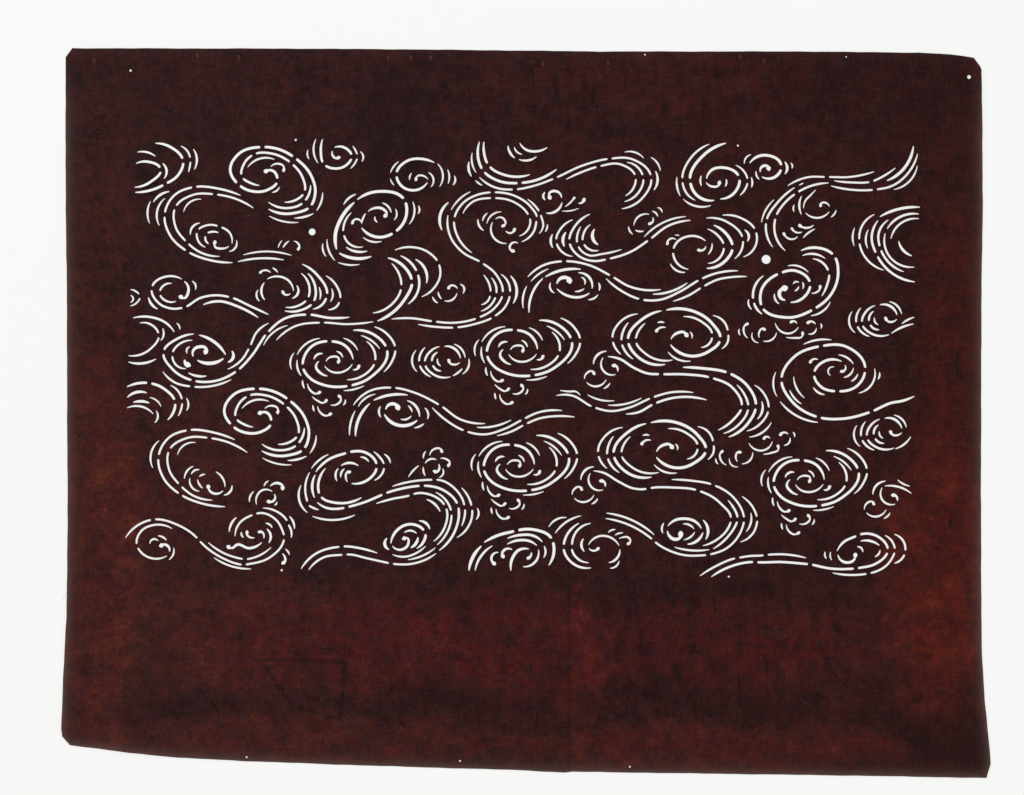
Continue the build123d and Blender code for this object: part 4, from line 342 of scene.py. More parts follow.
def top_stream():
    """The lines that run in from the top edge and close round the small eye."""
    return [
        (0.9, (-24.2, 117.1), (-24.2, 112.1), (-22.4, 108.1)),
        (1.2, (-25.6, 113.1), (-25.7, 109.1), (-24.5, 106.4)),
        (1.25, (-20.9, 122.1), (-21.7, 116.1), tie(-19.3, 109.1), (-12.2, 104.4), tie(-2.9, 103.5),
         (5.8, 105.2), (13.8, 109.7)),
        (1.2, (-18.9, 122.1), (-18.9, 117.1), tie(-16.9, 111.5), (-9.2, 107), (-2.2, 106.4),
         (1.8, 107.3)),
        (0.9, (-22.8, 104.7), (-21.2, 103.3), (-19.6, 102.4)),
        (1.0, (-21, 106.1), (-14.2, 101.6), tie(-5, 100.6), (3.8, 102.3), tie(13.1, 105.7),
         (24.8, 111.1), tie(37.6, 114.4), (47.8, 114.2), tie(56.3, 106.1), (52.8, 97.2), (43, 91.9)),
        (1.0, (18, 105.1), (24.8, 108.3), tie(32.6, 110.9), (42.8, 111.8), tie(49.3, 106.2),
         (48.3, 101.2), (44.7, 97.7)),
        (0.9, (44.3, 117.4), (49.3, 117.2), (53, 114.6)),
        (1.0, (45.4, 112.8), (50, 110.8), tie(52.7, 106.1), (50.6, 99.2), (44.2, 95.1)),
        (0.9, (56.1, 115.1), (59.1, 112.5), (60.4, 108.9)),
        (1.2, (58.2, 108.9), (59.2, 104.7), (57.5, 100.3)),
        (1.2, (-8.1, 120.3), (-7.2, 117.1), (-5, 114.7)),
        (0.9, (-5.3, 119.7), (-4.2, 117.6), (-1.7, 116.4)),
        (1.2, (-2.8, 121.5), (-0.2, 118.6), (4.3, 117.7), (9.6, 119.5)),
        (1.1, (-3.2, 114.1), (0.3, 113.6), (4.8, 115.4)),
        (1.15, (8.6, 99.4), (7.7, 97.6), (8.7, 95.8)),
        (1.3, curl(11.4, 96.4), (10.4, 98.7), (12.8, 99.9), (16, 96.8)),
        (1.25, (16.2, 94.8), (14.3, 91.4), (9, 90)),
        (0.85, curl(22, 97.3), (20.8, 95.6), (17.5, 92.8)),
        (0.7, (16.1, 90.9), (19.3, 90.9), (23.7, 92.1)),
        (1.1, curl(26.1, 96.8), (25.6, 95), (23.5, 94.4)),
    ]


def small_eye_middle():
    """The small eye between the stream and the twin whirls."""
    return [
        (1.2, (12, 80.5), (11.1, 77.6), (12.1, 74.3)),
        (1.0, (21.1, 87), (15.9, 83.3), tie(13.6, 77.2), (16, 72.7), (21, 70.5)),
        (1.45, (18, 81.4), (16.6, 78.3), (17.3, 74.9)),
        (1.05, (28.8, 89.5), (22.1, 84.2), tie(19.5, 77.2), (24, 70.5), (30.5, 68.4), tie(36.8, 69.3),
         (47, 72.5), tie(55.6, 78.1), (64.1, 84.3), (74.1, 86.7)),
        (0.95, (24.7, 83.9), (23.1, 80.2), tie(23.2, 75.8), (27.8, 71.1), (34.5, 71.6), (43, 73.6)),
        (1.0, (29, 84.9), (26.3, 81.7), tie(25.7, 76.8), (28.5, 73.6), (32.7, 73.2)),
        (1.6, (30.9, 82.8), (29.9, 79.1), (32.5, 75.7)),
        (0.9, (53.1, 79.2), (61.1, 85.4), (71.9, 88.4)),
        (0.95, (55.4, 89.4), (50.6, 88.4), (48.5, 84.4)),
        (0.9, (49.1, 82.3), (51.1, 81.7), (53, 81.9)),
        (0.9, (46.1, 84), (46.6, 82), (48, 80.4)),
        (0.95, curl(54.9, 85.2), (56.6, 85.6), (56.9, 88.1)),
        (0.9, (56.7, 90.8), (58.3, 90.1), (59.3, 88.3)),
        (0.85, (59, 92.4), (60.5, 91.9), (61.2, 90.1)),
    ]

# %% [markdown]
# The upper right has two whirls, one above the other, the stream that comes down from the right
# edge, and the whirl that the right edge of the pattern cuts through.

# %% The upper right
def twin_whirls():
    """Two whirls, one above the other, with an open eye between the big lines."""
    return [
        (1.0, (82.5, 121), (74, 114.6), tie(70.3, 104.7), (72.5, 98.5), (76.2, 95.7)),
        (1.4, (90, 121.4), (80, 116.1), tie(73.8, 104.5), (76.9, 97.9), (84.7, 95.7)),
        (1.3, (87.3, 96.3), (94.3, 99.8), tie(95.9, 105.9), (89, 110.4), (82.9, 108.8), (81.2, 105.3)),
        (1.15, curl(86.8, 104.5), (86.5, 102.3), (84.4, 101.8), (81, 103.8)),
        (0.95, (78.9, 106.9), (78.4, 104.6), (79, 102.1)),
        (0.95, (90, 105.3), (90.2, 103.5), (89.5, 101.8)),
        (1.0, (67.9, 106.2), (67.9, 102.1), (69.4, 97.6)),
        (1.0, (70.7, 96.3), (76.3, 93.1), (83.2, 93.4)),
        (0.95, (94.3, 111.5), (97.9, 108.9), tie(99.7, 104.4), (98.5, 100.6), (96.2, 97.9)),
        (1.0, (101.3, 106.1), (101.8, 103.4), (101.4, 101.4)),
        (1.0, curl(77.1, 73.7), (79, 73.1), (80.9, 75.1)),
        (1.05, (80.8, 77.4), (74.7, 79.7), tie(66.2, 73), (68.1, 67.3), (73.1, 64.7)),
        (1.05, (64.9, 67.2), (67.6, 64.2), (71.7, 63.3)),
        (0.9, (83.7, 76.5), (83.3, 73.5), (81.8, 71.3)),
        (0.95, curl(63.7, 75.6), (64, 77.7), (67.5, 78)),
        (0.65, (66.9, 80), (68, 80.1), (69, 79.7)),
        (1.05, (81.6, 82.8), (86.2, 80), tie(89, 75.2), (87.5, 70.3), (81.8, 67.3)),
        (1.4, (84.4, 84.5), (90, 80.7), tie(92.9, 74.6), (89.7, 68.5), (81.2, 65.1)),
        (1.0, (81, 87.7), (90.8, 85.8), tie(97.5, 78.3), (96.7, 72.9), (93.8, 69.4)),
        (1.0, (88.3, 89), (96.3, 87.9), tie(103.2, 82.1), (103.3, 75.4), (97.7, 70.2)),
        (1.25, (98.2, 82.4), (100.2, 79.9), (99.5, 77.2)),
        (0.85, (101.3, 116.3), (99, 114.9), (98.2, 112.1)),
        (1.35, (100.6, 112.4), (107.5, 116), tie(114.8, 110.5), (111.4, 105.9), (106.1, 106.3)),
        (1.4, curl(108.8, 109.1), (108.7, 111), (107.2, 111.3), (105.4, 108.4)),
        (0.9, (103.5, 108.9), (103.7, 106.7), (105, 105.1)),
        (1.3, (116.3, 113), (117.5, 110.3), (116.4, 107.5)),
        (0.9, (119.1, 112.6), (119.8, 111.3), (119.6, 110)),
    ]


def top_right_stream():
    """The stream that comes down from the right edge."""
    return [
        (0.95, (117.7, 102.2), (126.3, 106), tie(135.3, 106.2), (145.8, 106.2), (156.6, 108.6)),
        (0.7, (122.8, 102.4), (123.8, 103), (124.9, 103.4)),
        (1.05, (116.7, 73), (112.3, 79.5), tie(112.4, 88.3), (115.9, 94), tie(121.7, 99),
         (128.9, 102.4), (136.2, 103.5)),
        (1.05, (111, 74.6), (108.2, 80.5), tie(108.1, 86.3), (113.4, 95), (120.9, 101.5)),
        (0.9, (111.6, 96), (107.4, 90.5), (105.9, 85.7)),
        (1.0, (138.5, 104.5), (146.9, 103.7), tie(155.3, 104.1), (160.8, 106.6), (166.2, 110.3)),
        (1.0, (137.1, 102.2), (145.9, 100.5), tie(156.9, 100.5), (164.9, 102.3), (171.3, 107.3),
         (176.1, 116.6)),
        (1.4, (162.3, 104.5), (169.8, 109.8), (174.2, 120.1)),
        (0.9, (165.3, 100.5), (171.4, 103.3), (176, 111.3)),
        (0.9, (130.3, 100.4), (127.9, 97.9), (125.7, 95.6), (124.8, 92)),
        (1.1, (124, 97.7), (122.9, 93.6), (123.9, 89.3)),
        (0.9, (120.7, 93.7), (120.2, 92.1), (120.6, 90.5)),
        (0.95, curl(132.7, 92.7), (132.9, 94.5), (134.4, 94.7), (136.5, 92.8)),
        (1.0, (136.4, 90.6), (131.4, 87.8), (125.7, 90.1)),
        (0.9, (139.5, 91.4), (138.6, 89.4), (137.1, 88.1)),
        (1.05, curl(122.6, 84.9), (124.4, 83.6), (129.4, 84.6)),
        (0.9, curl(119.4, 83.5), (121, 81.5), (124.2, 81.5)),
        (0.95, curl(115.8, 81.3), (117.5, 78.8), (120, 78.2), (122.2, 79.4)),
        (0.95, (130, 82.8), (127, 81.1), (124.6, 78.7)),
    ]


def whirl_at_right_edge():
    """The whirl that the right edge of the pattern cuts through."""
    return [
        (1.3, (177.2, 92.6), (167.8, 91.8), (159.1, 88.3)),
        (1.15, (176.7, 89.5), (167.6, 87.9), (162.4, 82.8)),
        (1.0, (176.8, 87.4), (168.6, 85.4), (164.1, 78.3)),
        (1.0, (156.8, 89.4), (151.3, 84.5), tie(149.9, 77.2), (153.7, 68.7), (160.9, 64.3)),
        (1.15, (158.4, 86.7), (155.5, 79.8), tie(157.7, 71.3), (164.8, 62.8), (175, 59)),
        (1.1, (163, 86.9), (158.7, 81.2), tie(159.4, 74.1), (163.5, 67.4), (169.9, 63.6)),
        (1.0, (161.6, 81), (162.2, 72.6), (167, 67.3), (174.7, 65.7)),
        (1.3, (167.6, 77.4), (169.5, 73.4), (173.6, 70.7)),
        (0.95, (147.8, 83.4), (146.9, 79.1), (147.6, 75.1)),
        (1.0, (154, 82.6), (152.8, 78.4), (153.7, 74)),
    ]

# %% [markdown]
# At the left, three motifs lie close together, and an outer line of theirs climbs into the long
# stream.

# %% The left side, at middle height
def left_eye():
    """The eye at the left edge, and its line to the right."""
    return [
        (1.05, (-154.8, 60.2), (-161.5, 61.5), tie(-168.4, 56.2), (-165.5, 49.7), (-160, 47.1),
         tie(-153.7, 47.6), (-146.5, 51.8), (-139.5, 53), tie(-132.7, 52), (-124, 48.1),
         (-115.8, 44.3)),
        (1.25, (-169.9, 52.1), (-168.6, 49.1), (-165.7, 46.8)),
        (1.0, (-159.3, 58.3), (-163.3, 57.2), tie(-164.8, 54), (-162, 50.5), (-157.4, 50.3)),
        (1.35, curl(-155.8, 53.1), (-154.3, 51.7), (-151.9, 54.7), (-152.1, 57.2), (-153.8, 59.3)),
        (0.95, (-150.3, 59.4), (-148.7, 57.7), (-148.8, 55.4)),
        (1.2, (-145.3, 48.7), (-138, 50.3), (-130, 48.1), (-120.5, 43)),
        (0.85, (-178, 55.6), (-175.3, 54.6), tie(-173.7, 52.7), (-175.2, 49.6), (-178.1, 48.2)),
        (0.95, (-178, 53), (-176.7, 51.4), (-178, 49.8)),
        (1.1, (-176.8, 42.8), (-169, 43.2), (-161.5, 40.2), (-158.2, 36.4)),
        (0.85, (-157.3, 40.5), (-156, 39.2), (-155.8, 37.5)),
        (1.0, (-173.8, 40.5), (-168.3, 39.6), tie(-165.2, 35), (-168.6, 29.2), (-178.9, 25.8)),
        (1.0, (-163.6, 38.2), (-163, 35.5), (-164.4, 32.6)),
        (1.2, (-178.9, 23), (-171.1, 22.6), (-166.4, 24.4)),
    ]


def left_whirl():
    """The whirl at the left whose outer line climbs into the long stream."""
    return [
        (1.15, (-149.4, 35.6), (-157.1, 33.3), tie(-163.1, 27.5), (-159.1, 19.8), tie(-149.6, 14.6),
         (-139.6, 14.5), tie(-129.8, 19.2), (-123.1, 26.2), tie(-116.5, 35.9), (-108.6, 42.5),
         tie(-97.9, 44.3), (-88.1, 42.8), (-79.4, 43.1)),
        (1.4, (-147.1, 35.1), (-140.1, 31.9), (-135.1, 26.2)),
        (1.7, (-136.1, 24.6), (-141.6, 22.4), (-147.9, 23.8)),
        (1.0, (-150, 32.7), (-155.1, 31.6), tie(-159.1, 26.5), (-157.4, 21.6), (-152.9, 20)),
        (0.95, (-151.2, 29.9), (-152.7, 28.4), (-152.4, 26.8)),
        (1.5, curl(-145, 26.9), (-143.8, 28.3), (-147.3, 29.8), (-150, 27.4), (-149.7, 25.4)),
        (1.7, curl(-150.9, 21.9), (-152.9, 22.1), (-153.5, 24.1)),
        (1.2, (-151.9, 18.1), (-148.6, 16.8), (-143.7, 16.7)),
        (1.5, (-132.4, 28), (-131.7, 25.2), (-134.2, 22.9)),
        (1.0, (-163.4, 18.7), (-158.6, 14.1), tie(-150.1, 11.9), (-140.6, 12.3), (-132.6, 15.1)),
        (1.0, (-134.3, 19.7), (-127.8, 24.1), tie(-124.3, 29.8), (-120.9, 36.7), (-115.7, 40.5)),
        (0.9, (-118.1, 30.4), (-113.3, 36.6), (-107.2, 39.4)),
    ]


def nested_eye():
    """The eye nested below the stream, and the pieces that the left edge cuts off."""
    return [
        (0.9, curl(-119.9, 62.8), (-118, 64.2), (-114.8, 63.1)),
        (0.9, (-114.2, 65.4), (-112.7, 64.5), (-111.7, 63.2)),
        (1.0, (-116.5, 60.2), (-111.7, 61.5), (-106, 58.7), (-104.6, 54.8)),
        (1.2, (-117.7, 58.7), (-119.1, 54.7), (-117.5, 50.9)),
        (1.0, (-120.5, 55.5), (-121.3, 53.2), (-119.8, 50.3)),
        (1.0, curl(-109.5, 55.2), (-108.6, 53.4), (-106, 53.9)),
        (1.2, (-103.2, 57.5), (-102.5, 54.2), (-105.3, 51.6)),
        (1.15, (-100.7, 67), (-94, 62.2), tie(-89.6, 52.7), (-91.7, 48.8), (-95.9, 46.8)),
        (1.05, (-101.2, 62.9), (-97.8, 58.2), tie(-98.4, 51.3), (-102.2, 48.4), (-108.2, 47.6)),
        (1.15, (-98.2, 62.9), (-94.9, 57.2), tie(-95.9, 49.6), (-101.2, 46.3), (-108.6, 46)),
        (1.0, (-90.1, 61.8), (-85.4, 57.5), tie(-83.7, 50.8), (-85.6, 47.6), (-89.1, 46.5)),
        (0.95, (-87.5, 56), (-86.9, 52.9), (-88.1, 50)),
        (0.95, (-93.2, 56.7), (-92.4, 54), (-92.8, 51)),
        (1.25, (-179.5, 11.8), (-175.1, 13.3), tie(-169.5, 13.5), (-162.1, 10.4), tie(-157.9, 5.1),
         (-158.8, 0.1), (-161.3, -3.1)),
        (0.95, (-160, 12.5), (-156.1, 9.3), tie(-154.7, 5.3), (-155.2, 1.6), (-156.5, -1.4)),
        (1.0, (-152.8, 6.8), (-151.9, 4.1), (-152.7, 1)),
        (1.35, (-179.4, 7), (-175.6, 9.3), (-170.6, 9.1)),
        (1.35, (-176.7, 4.8), (-173.1, 5.3), (-169.4, 4.5)),
        (0.85, (-169.4, 7), (-166.1, 5.6), (-164.2, 2.8)),
        (1.0, (-179.5, 2.3), (-173.9, 3.1), (-167.7, -0.4)),
        (1.0, (-166.4, 1.1), (-165.6, -1.4), (-167.1, -4.4)),
    ]

# %% [markdown]
# The whirlpool is drawn four times in all and the small eye three times, each copy with its own
# turn. What runs on from a small eye differs, so those lines are apart.

# %% The motifs that come back most
def whirlpool():
    """The whirlpool that the pattern repeats most, with foam hanging below it at the left."""
    return [
        (0.95, (-104.3, 27.1), (-106, 23.6), (-105.4, 19.6)),
        (1.0, (-102.9, 24), (-102.8, 20.2), (-101.1, 16.7)),
        (0.95, (-92.7, 33.6), (-98.9, 31.2), (-103, 26.1)),
        (1.25, (-77.8, 24.1), (-81.2, 30.2), tie(-88.4, 32.3), (-95.9, 30.4), (-99.4, 26.2),
         tie(-100.4, 20.9), (-96.8, 15.4), (-91.8, 12.9), tie(-79.4, 12.3), (-70.1, 16),
         tie(-62.7, 29.1), (-67.8, 34.9), (-77.8, 37.2)),
        (1.05, (-68.3, 38.8), (-62.2, 35.3), tie(-58.8, 29.1), (-60.4, 23.1), (-64, 18.5)),
        (0.95, (-74.3, 34.9), (-69.2, 32.4), (-65.8, 28.9)),
        (1.05, (-71.8, 32.3), (-68.5, 28.5), tie(-68, 22.9), (-72.6, 17.3), (-80.5, 15)),
        (0.95, (-82.2, 33.7), (-78.2, 31.6), (-75.7, 28.2)),
        (1.05, curl(-84.9, 22.5), (-84.1, 24.3), (-87.1, 25.4), (-90, 23.2)),
        (1.0, (-90.6, 21.2), (-87.9, 18.8), (-83.4, 18.3), (-78.1, 22.1)),
        (1.05, curl(-75.2, 21.8), (-75.5, 20.3), (-77.9, 19.6)),
        (0.95, (-85.3, 27.8), (-83.4, 26.8), (-82.4, 24.9)),
        (1.15, (-95.4, 24.1), (-94.2, 26.1), (-91.4, 26.7)),
        (1.3, (-93.1, 23.3), (-94.5, 20.9), (-92.7, 18.2), (-89.3, 16.7)),
        (0.9, (-82.1, 10.1), (-77.7, 10.6), (-72.8, 12.3)),
        (1.0, (-100.5, 14.9), (-100.4, 12.9), (-99.6, 11)),
        (1.0, curl(-92.4, 9.9), (-94.6, 8.7), (-96.6, 9.8), (-98.3, 13.3)),
        (0.95, curl(-89.6, 6.3), (-91.1, 4.6), (-93.7, 5.5), (-96.2, 7.4)),
        (0.95, (-95.9, 3.6), (-95.7, 2), (-95.2, 0.7)),
        (1.0, curl(-87.5, 0.2), (-89.8, -1.2), (-92.4, 0.1), (-93.7, 3.1)),
        (1.0, curl(-84.7, 7.9), (-83.2, 6.3), (-84.6, 4.2), (-87.9, 3.7)),
        (0.9, (-81.3, 6.2), (-81.4, 4.7), (-82.3, 3.5)),
    ]


def small_eye():
    """An eye with short sickles to its left and right."""
    return [
        (1.0, (-49.4, 28.3), (-51.3, 23.8), (-49, 18.6)),
        (1.0, (-45.3, 29.6), (-47.7, 26), tie(-48, 22.3), (-46, 18.5), (-42.8, 16.3)),
        (1.05, (-38.8, 29.9), (-42.9, 27.9), tie(-45.5, 22.3), (-41.8, 17.5), (-33.9, 16.3)),
        (1.25, (-36.7, 30), (-32.2, 29), (-29.5, 24.6)),
        (1.0, (-32.4, 31), (-29.2, 29), (-27.4, 24.8)),
        (1.05, (-39.7, 27.4), (-42.1, 24.9), tie(-42.2, 22.4), (-40.8, 19.9), (-38.1, 18.9)),
        (0.95, (-39.7, 24.6), (-39.7, 22.6), (-38.3, 21.1)),
        (1.05, curl(-34.7, 24.4), (-34.2, 22.5), (-31.8, 21.8), (-29.8, 22.8)),
    ]


def ends_by_small_eyes():
    """What runs on from each of the three small eyes, which differs."""
    return [
        (1.0, (-33, 16.7), (-31.4, 17.6), (-28.6, 20.1)),
        (1.0, (-25.8, 24.5), (-25.9, 20.8), (-28.6, 17.5)),
        (1.0, (169, 40.1), (171.4, 41.8), (174.7, 43.1)),
        (1.1, (164.3, 35.8), (168.9, 38.5), (174.4, 40.1)),
        (1.0, (166, -16.1), (169.6, -14.4), (173.1, -10.5)),
    ]

# %% [markdown]
# Two wave crests cross the middle of the sheet. Near their breaking ends are the small curls, and
# the hooked eye from which a stream runs on to the right.

# %% Crests and curls in the middle
def wave_crest():
    """A breaking crest that runs out to the right in four lines."""
    return [
        (1.0, (-77.7, 3.5), (-71.4, 9.4), tie(-59.7, 11.4), (-50.2, 9.2), tie(-38.4, 3.3),
         (-29.4, -2.9), (-18.3, -4.7)),
        (0.95, (-75.5, 2.8), (-71.9, 6.9), (-67.7, 8.5)),
        (1.3, (-68.6, 5.7), (-61.4, 8.1), (-53.2, 8.1)),
        (1.4, (-70.2, 4.4), (-74.7, -1.4), (-76.7, -10.5)),
        (1.0, (-76.8, 1.1), (-78.9, -4.4), (-79.4, -10.1)),
        (1.05, (-65.4, 3.1), (-66.2, 0.6), (-65.2, -1.9)),
        (1.6, curl(-57.7, 1.3), (-58.1, 3.4), (-60.8, 4.1), (-63.1, 1.6)),
        (1.6, (-63.7, -0.5), (-60.6, -4.1), (-55.1, -5.7), (-48.9, -3.2)),
        (1.25, (-53.5, 5.6), (-49.5, 3), (-47.9, -1.7)),
        (0.95, (-53.1, 3.4), (-51.8, 2), (-51.2, 0.4)),
        (1.0, (-51.6, -1.2), (-53.5, -2.7), (-56.4, -2.7)),
        (1.0, (-45.6, 2.4), (-44, -0.2), (-44.4, -2.8)),
        (1.0, (-45.8, -4.7), (-47.9, -6), (-50.3, -6.7)),
        (1.0, (-42.2, 2.5), (-35.7, -3.4), tie(-27.2, -8.1), (-18.9, -9.6), (-9.4, -7),
         tie(-1.3, -2.8), (5.6, 0.3), (16.3, 1.1)),
        (1.0, (-22.2, -6.4), (-14.2, -5.9), (-6.7, -3.1)),
        (1.0, (-13.1, -10.2), (-6.4, -8.2), tie(-0.4, -5.1), (6.1, -2.4), (13.1, -1.4), (21.9, -1.8)),
    ]


def upper_wave_crest():
    """The crest that breaks higher up."""
    return [
        (1.05, (0.8, 61.2), (7, 66.1), tie(17.1, 68.3), (27.9, 66.7), tie(38.6, 61.5), (46.4, 57),
         (60.7, 55.6)),
        (0.95, (2.2, 59.2), (5.7, 62.5), (10.1, 64.9)),
        (1.3, (8.6, 61.2), (15.9, 64.2), (24.7, 64.7)),
        (1.15, (7.7, 60.7), (3.1, 54.6), (1.4, 45.1)),
        (1.0, (0.4, 57.2), (-1.4, 51.9), (-1.2, 47.1)),
        (1.0, (11.1, 58.7), (10.8, 56.2), (12.9, 54)),
        (1.7, curl(19.3, 58.3), (19, 60.5), (16.7, 61), (13.9, 58.1)),
        (1.25, (13.9, 55.9), (18.4, 52.9), (24.4, 52.2), (28.6, 54)),
        (1.3, (23.5, 63.1), (28.2, 61.3), (29.7, 56)),
        (0.95, (24.7, 61.1), (26.5, 59.7), (26.3, 57.7)),
        (0.95, (21.9, 54.7), (24.1, 54.9), (26.2, 56)),
        (1.0, (32.6, 58.7), (33.2, 56.8), (32.8, 55)),
        (1.0, (27.9, 51), (30.4, 51.5), (32.4, 53.3)),
        (1.05, (36, 60.5), (43.2, 54.8), tie(51.8, 51.1), (59.9, 50.9), (69.4, 54.7), tie(78.4, 60.1),
         (84.9, 62.7), (95.4, 64)),
        (1.1, (56.9, 53.5), (64.4, 54.5), (72.6, 58.6)),
        (1.0, (66.1, 50.3), (72.9, 52.8), tie(79.4, 56.7), (86.4, 60.1), (91.9, 61.1), (99.4, 61.4)),
    ]


def double_curl():
    """A pair of small curls."""
    return [
        (1.15, (36.3, 27.8), (32.2, 26.2), (30.3, 21.9)),
        (1.0, (34.7, 25), (33.8, 21.2), (36, 17.9), (40.3, 17.4)),
        (1.15, curl(38.7, 21), (40.1, 21.4), (41.2, 20.2), (41.2, 18.7)),
        (1.0, curl(30.6, 17.1), (29.9, 18.8), (27.6, 18.2), (26.3, 15.3)),
        (1.0, (27.2, 13.9), (30.8, 12), (36.1, 15.1)),
        (0.95, (37.8, 13.6), (36.6, 12), (34.8, 11)),
    ]


def stream_from_curl():
    """The two streams that run on to the right from the pair of curls."""
    return [
        (1.15, (36.8, 25.4), (41.8, 24.5), (48.3, 20.5), (54.8, 17.8), tie(60.8, 17.5), (71.8, 17.4),
         tie(83.2, 15.9), (93, 11.3), tie(97, 2.6), (93.3, -2.9), (86.4, -7.7)),
        (1.3, (70.5, 20.6), (79.8, 20.1), tie(91.1, 18), (99.3, 12.6), tie(103.4, 2.9), (100.3, -4),
         (91.1, -10.8)),
        (1.05, (94.8, 12.7), (98.2, 8.5), tie(100, 2.5), (96.1, -4.8), (88.8, -9.2)),
        (1.0, (102.8, 12.6), (107, 8.8), tie(109.1, 1.6), (105.7, -4.5), (99.3, -8.1)),
        (1.2, (106, 5.3), (106.4, 1.6), (104, -2.8)),
        (1.0, (110.4, -4.1), (106.9, -8.3), (100.4, -10.8)),
        (0.95, (15.3, 10.2), (19.8, 9.7), (22.3, 9.7), (24.4, 7.9)),
        (1.0, (13.6, 7.9), (19.8, 8.1), tie(30.3, 2.7), (38.1, 0.9), (46.8, 2.6), tie(56.6, 6.9),
         (65.8, 9.4), (75.3, 9.2)),
        (0.9, (27.6, 8.3), (32.3, 6.2), (39.8, 5.6)),
        (0.95, (36.8, 3.6), (43, 3.8), (52, 6.8)),
        (1.1, (44.9, -0.4), (50.3, 0.3), tie(57.7, 4.2), (67.3, 7), (81.3, 5.9)),
    ]


def hooked_eye():
    """An eye with hooked lines round it."""
    return [
        (1.0, (50.4, 44.6), (43, 41.6), tie(38.9, 33), (40.3, 29.1), (42.7, 26.4)),
        (1.05, (46.1, 40.8), (43.8, 37.1), tie(43, 31.8), (44.9, 27.4), (48.2, 24.3)),
        (1.3, (61, 46), (53, 42.7), tie(45.9, 32.4), (50.3, 25.3), (62.6, 21.9)),
        (1.0, (53.7, 40.4), (50.7, 37.1), tie(49.4, 32.5), (53.5, 26.9), (66, 23.9)),
        (1.4, (63, 46.3), (75, 45.9), (84, 40), tie(87.4, 33.2), (82.3, 27.8), (73.5, 25.7),
         (65, 30.8)),
        (1.4, curl(72.3, 34.1), (71.5, 36.1), (68.3, 36.1), (65.2, 33.2)),
        (1.05, (70.7, 43.4), (79, 41.1), tie(83.8, 34.9), (82.4, 31.2), (78.7, 29.5)),
        (1.0, (84, 43.9), (88.7, 41.5), tie(90.9, 36.2), (90.5, 31.5), (88, 28.9)),
        (0.95, (59.1, 40.6), (60.5, 41), (62.3, 40.6)),
        (1.0, curl(58.4, 36.3), (59.9, 38.2), (62.9, 38.4)),
        (0.9, (73.7, 36.5), (74.7, 35.2), (74.5, 33.6)),
        (1.0, (63.9, 27.5), (67.3, 24.6), (74.1, 23.4)),
    ]

# %% [markdown]
# At the right are two more whirls, and the foam that hangs below one of them.

# %% The right side, at middle height
def right_whirl():
    """The whirl at the right, above the foam."""
    return [
        (1.3, (123.6, 73), (130.5, 74.4), tie(138.6, 70.7), (140.4, 63.3), (136.8, 52.8),
         tie(129.5, 46.8), (117, 43), tie(106.2, 47.7), (105.6, 54.3), tie(114.2, 62.9), (121.7, 63.9),
         tie(127.8, 58.1), (125.3, 52.4), (118.9, 49.8)),
        (1.1, (124.3, 70.8), (129.3, 71.6), (134.6, 69.5)),
        (1.1, (128.9, 69.4), (133.3, 67.7), tie(136.2, 63.2), (135.3, 57.3), (133, 52.6)),
        (0.95, (117.7, 66.2), (122.2, 66.2), (127, 63.3)),
        (1.15, (106.9, 61.8), (102.8, 56.8), tie(102.3, 50.5), (103.7, 47), (106.2, 44.5)),
        (0.95, (100.2, 51.3), (100.1, 48.8), (101.5, 46.6)),
        (1.8, curl(117.7, 55.8), (114.3, 55), (114.2, 52.3), (116.7, 50.8)),
        (1.0, (111.8, 53.8), (112.1, 51.1), (113.9, 49.1)),
        (0.9, (120.1, 58), (121.3, 59.1), (122.8, 58.7)),
        (0.9, (124.3, 59), (124.8, 57.4), (124.4, 55.8)),
        (0.9, (122.7, 57.1), (122.1, 55.7), (120.7, 54.9)),
        (0.95, curl(132.2, 57.6), (132, 55.5), (130.4, 54.2), (128.4, 53.9)),
        (1.0, (136.9, 50.1), (133.7, 46), (128.1, 43.8)),
    ]


def foam():
    """A row of small curls of foam."""
    return [
        (0.85, (96, 37.9), (95.7, 36.5), (96.4, 35)),
        (0.95, curl(100.2, 40.2), (98.5, 39.5), (97.9, 36.7), (99.8, 33.7)),
        (0.75, (101.9, 36.3), (101.6, 34.2), (104.7, 31.6)),
        (1.0, curl(107.6, 37.1), (106.4, 38), (104.9, 36.5), (105, 33.9)),
        (0.9, (112.7, 36.3), (111.1, 33.4), (106.6, 32.4)),
        (0.95, (112.1, 40.6), (114.6, 36.8), (118.2, 35.8), (122.5, 38.7)),
        (0.95, curl(118.9, 40.4), (120.2, 41.4), (121.8, 40.2)),
        (0.95, curl(124.2, 36.6), (124.2, 34.5), (120.8, 33.8), (117, 34.1)),
        (1.0, curl(126.4, 40.1), (127.9, 41.2), (130.2, 39.9)),
        (0.95, (130.6, 38.3), (129.8, 36.3), (127, 35.6)),
        (0.9, (132.4, 40.3), (133, 39.2), (132.5, 38)),
    ]


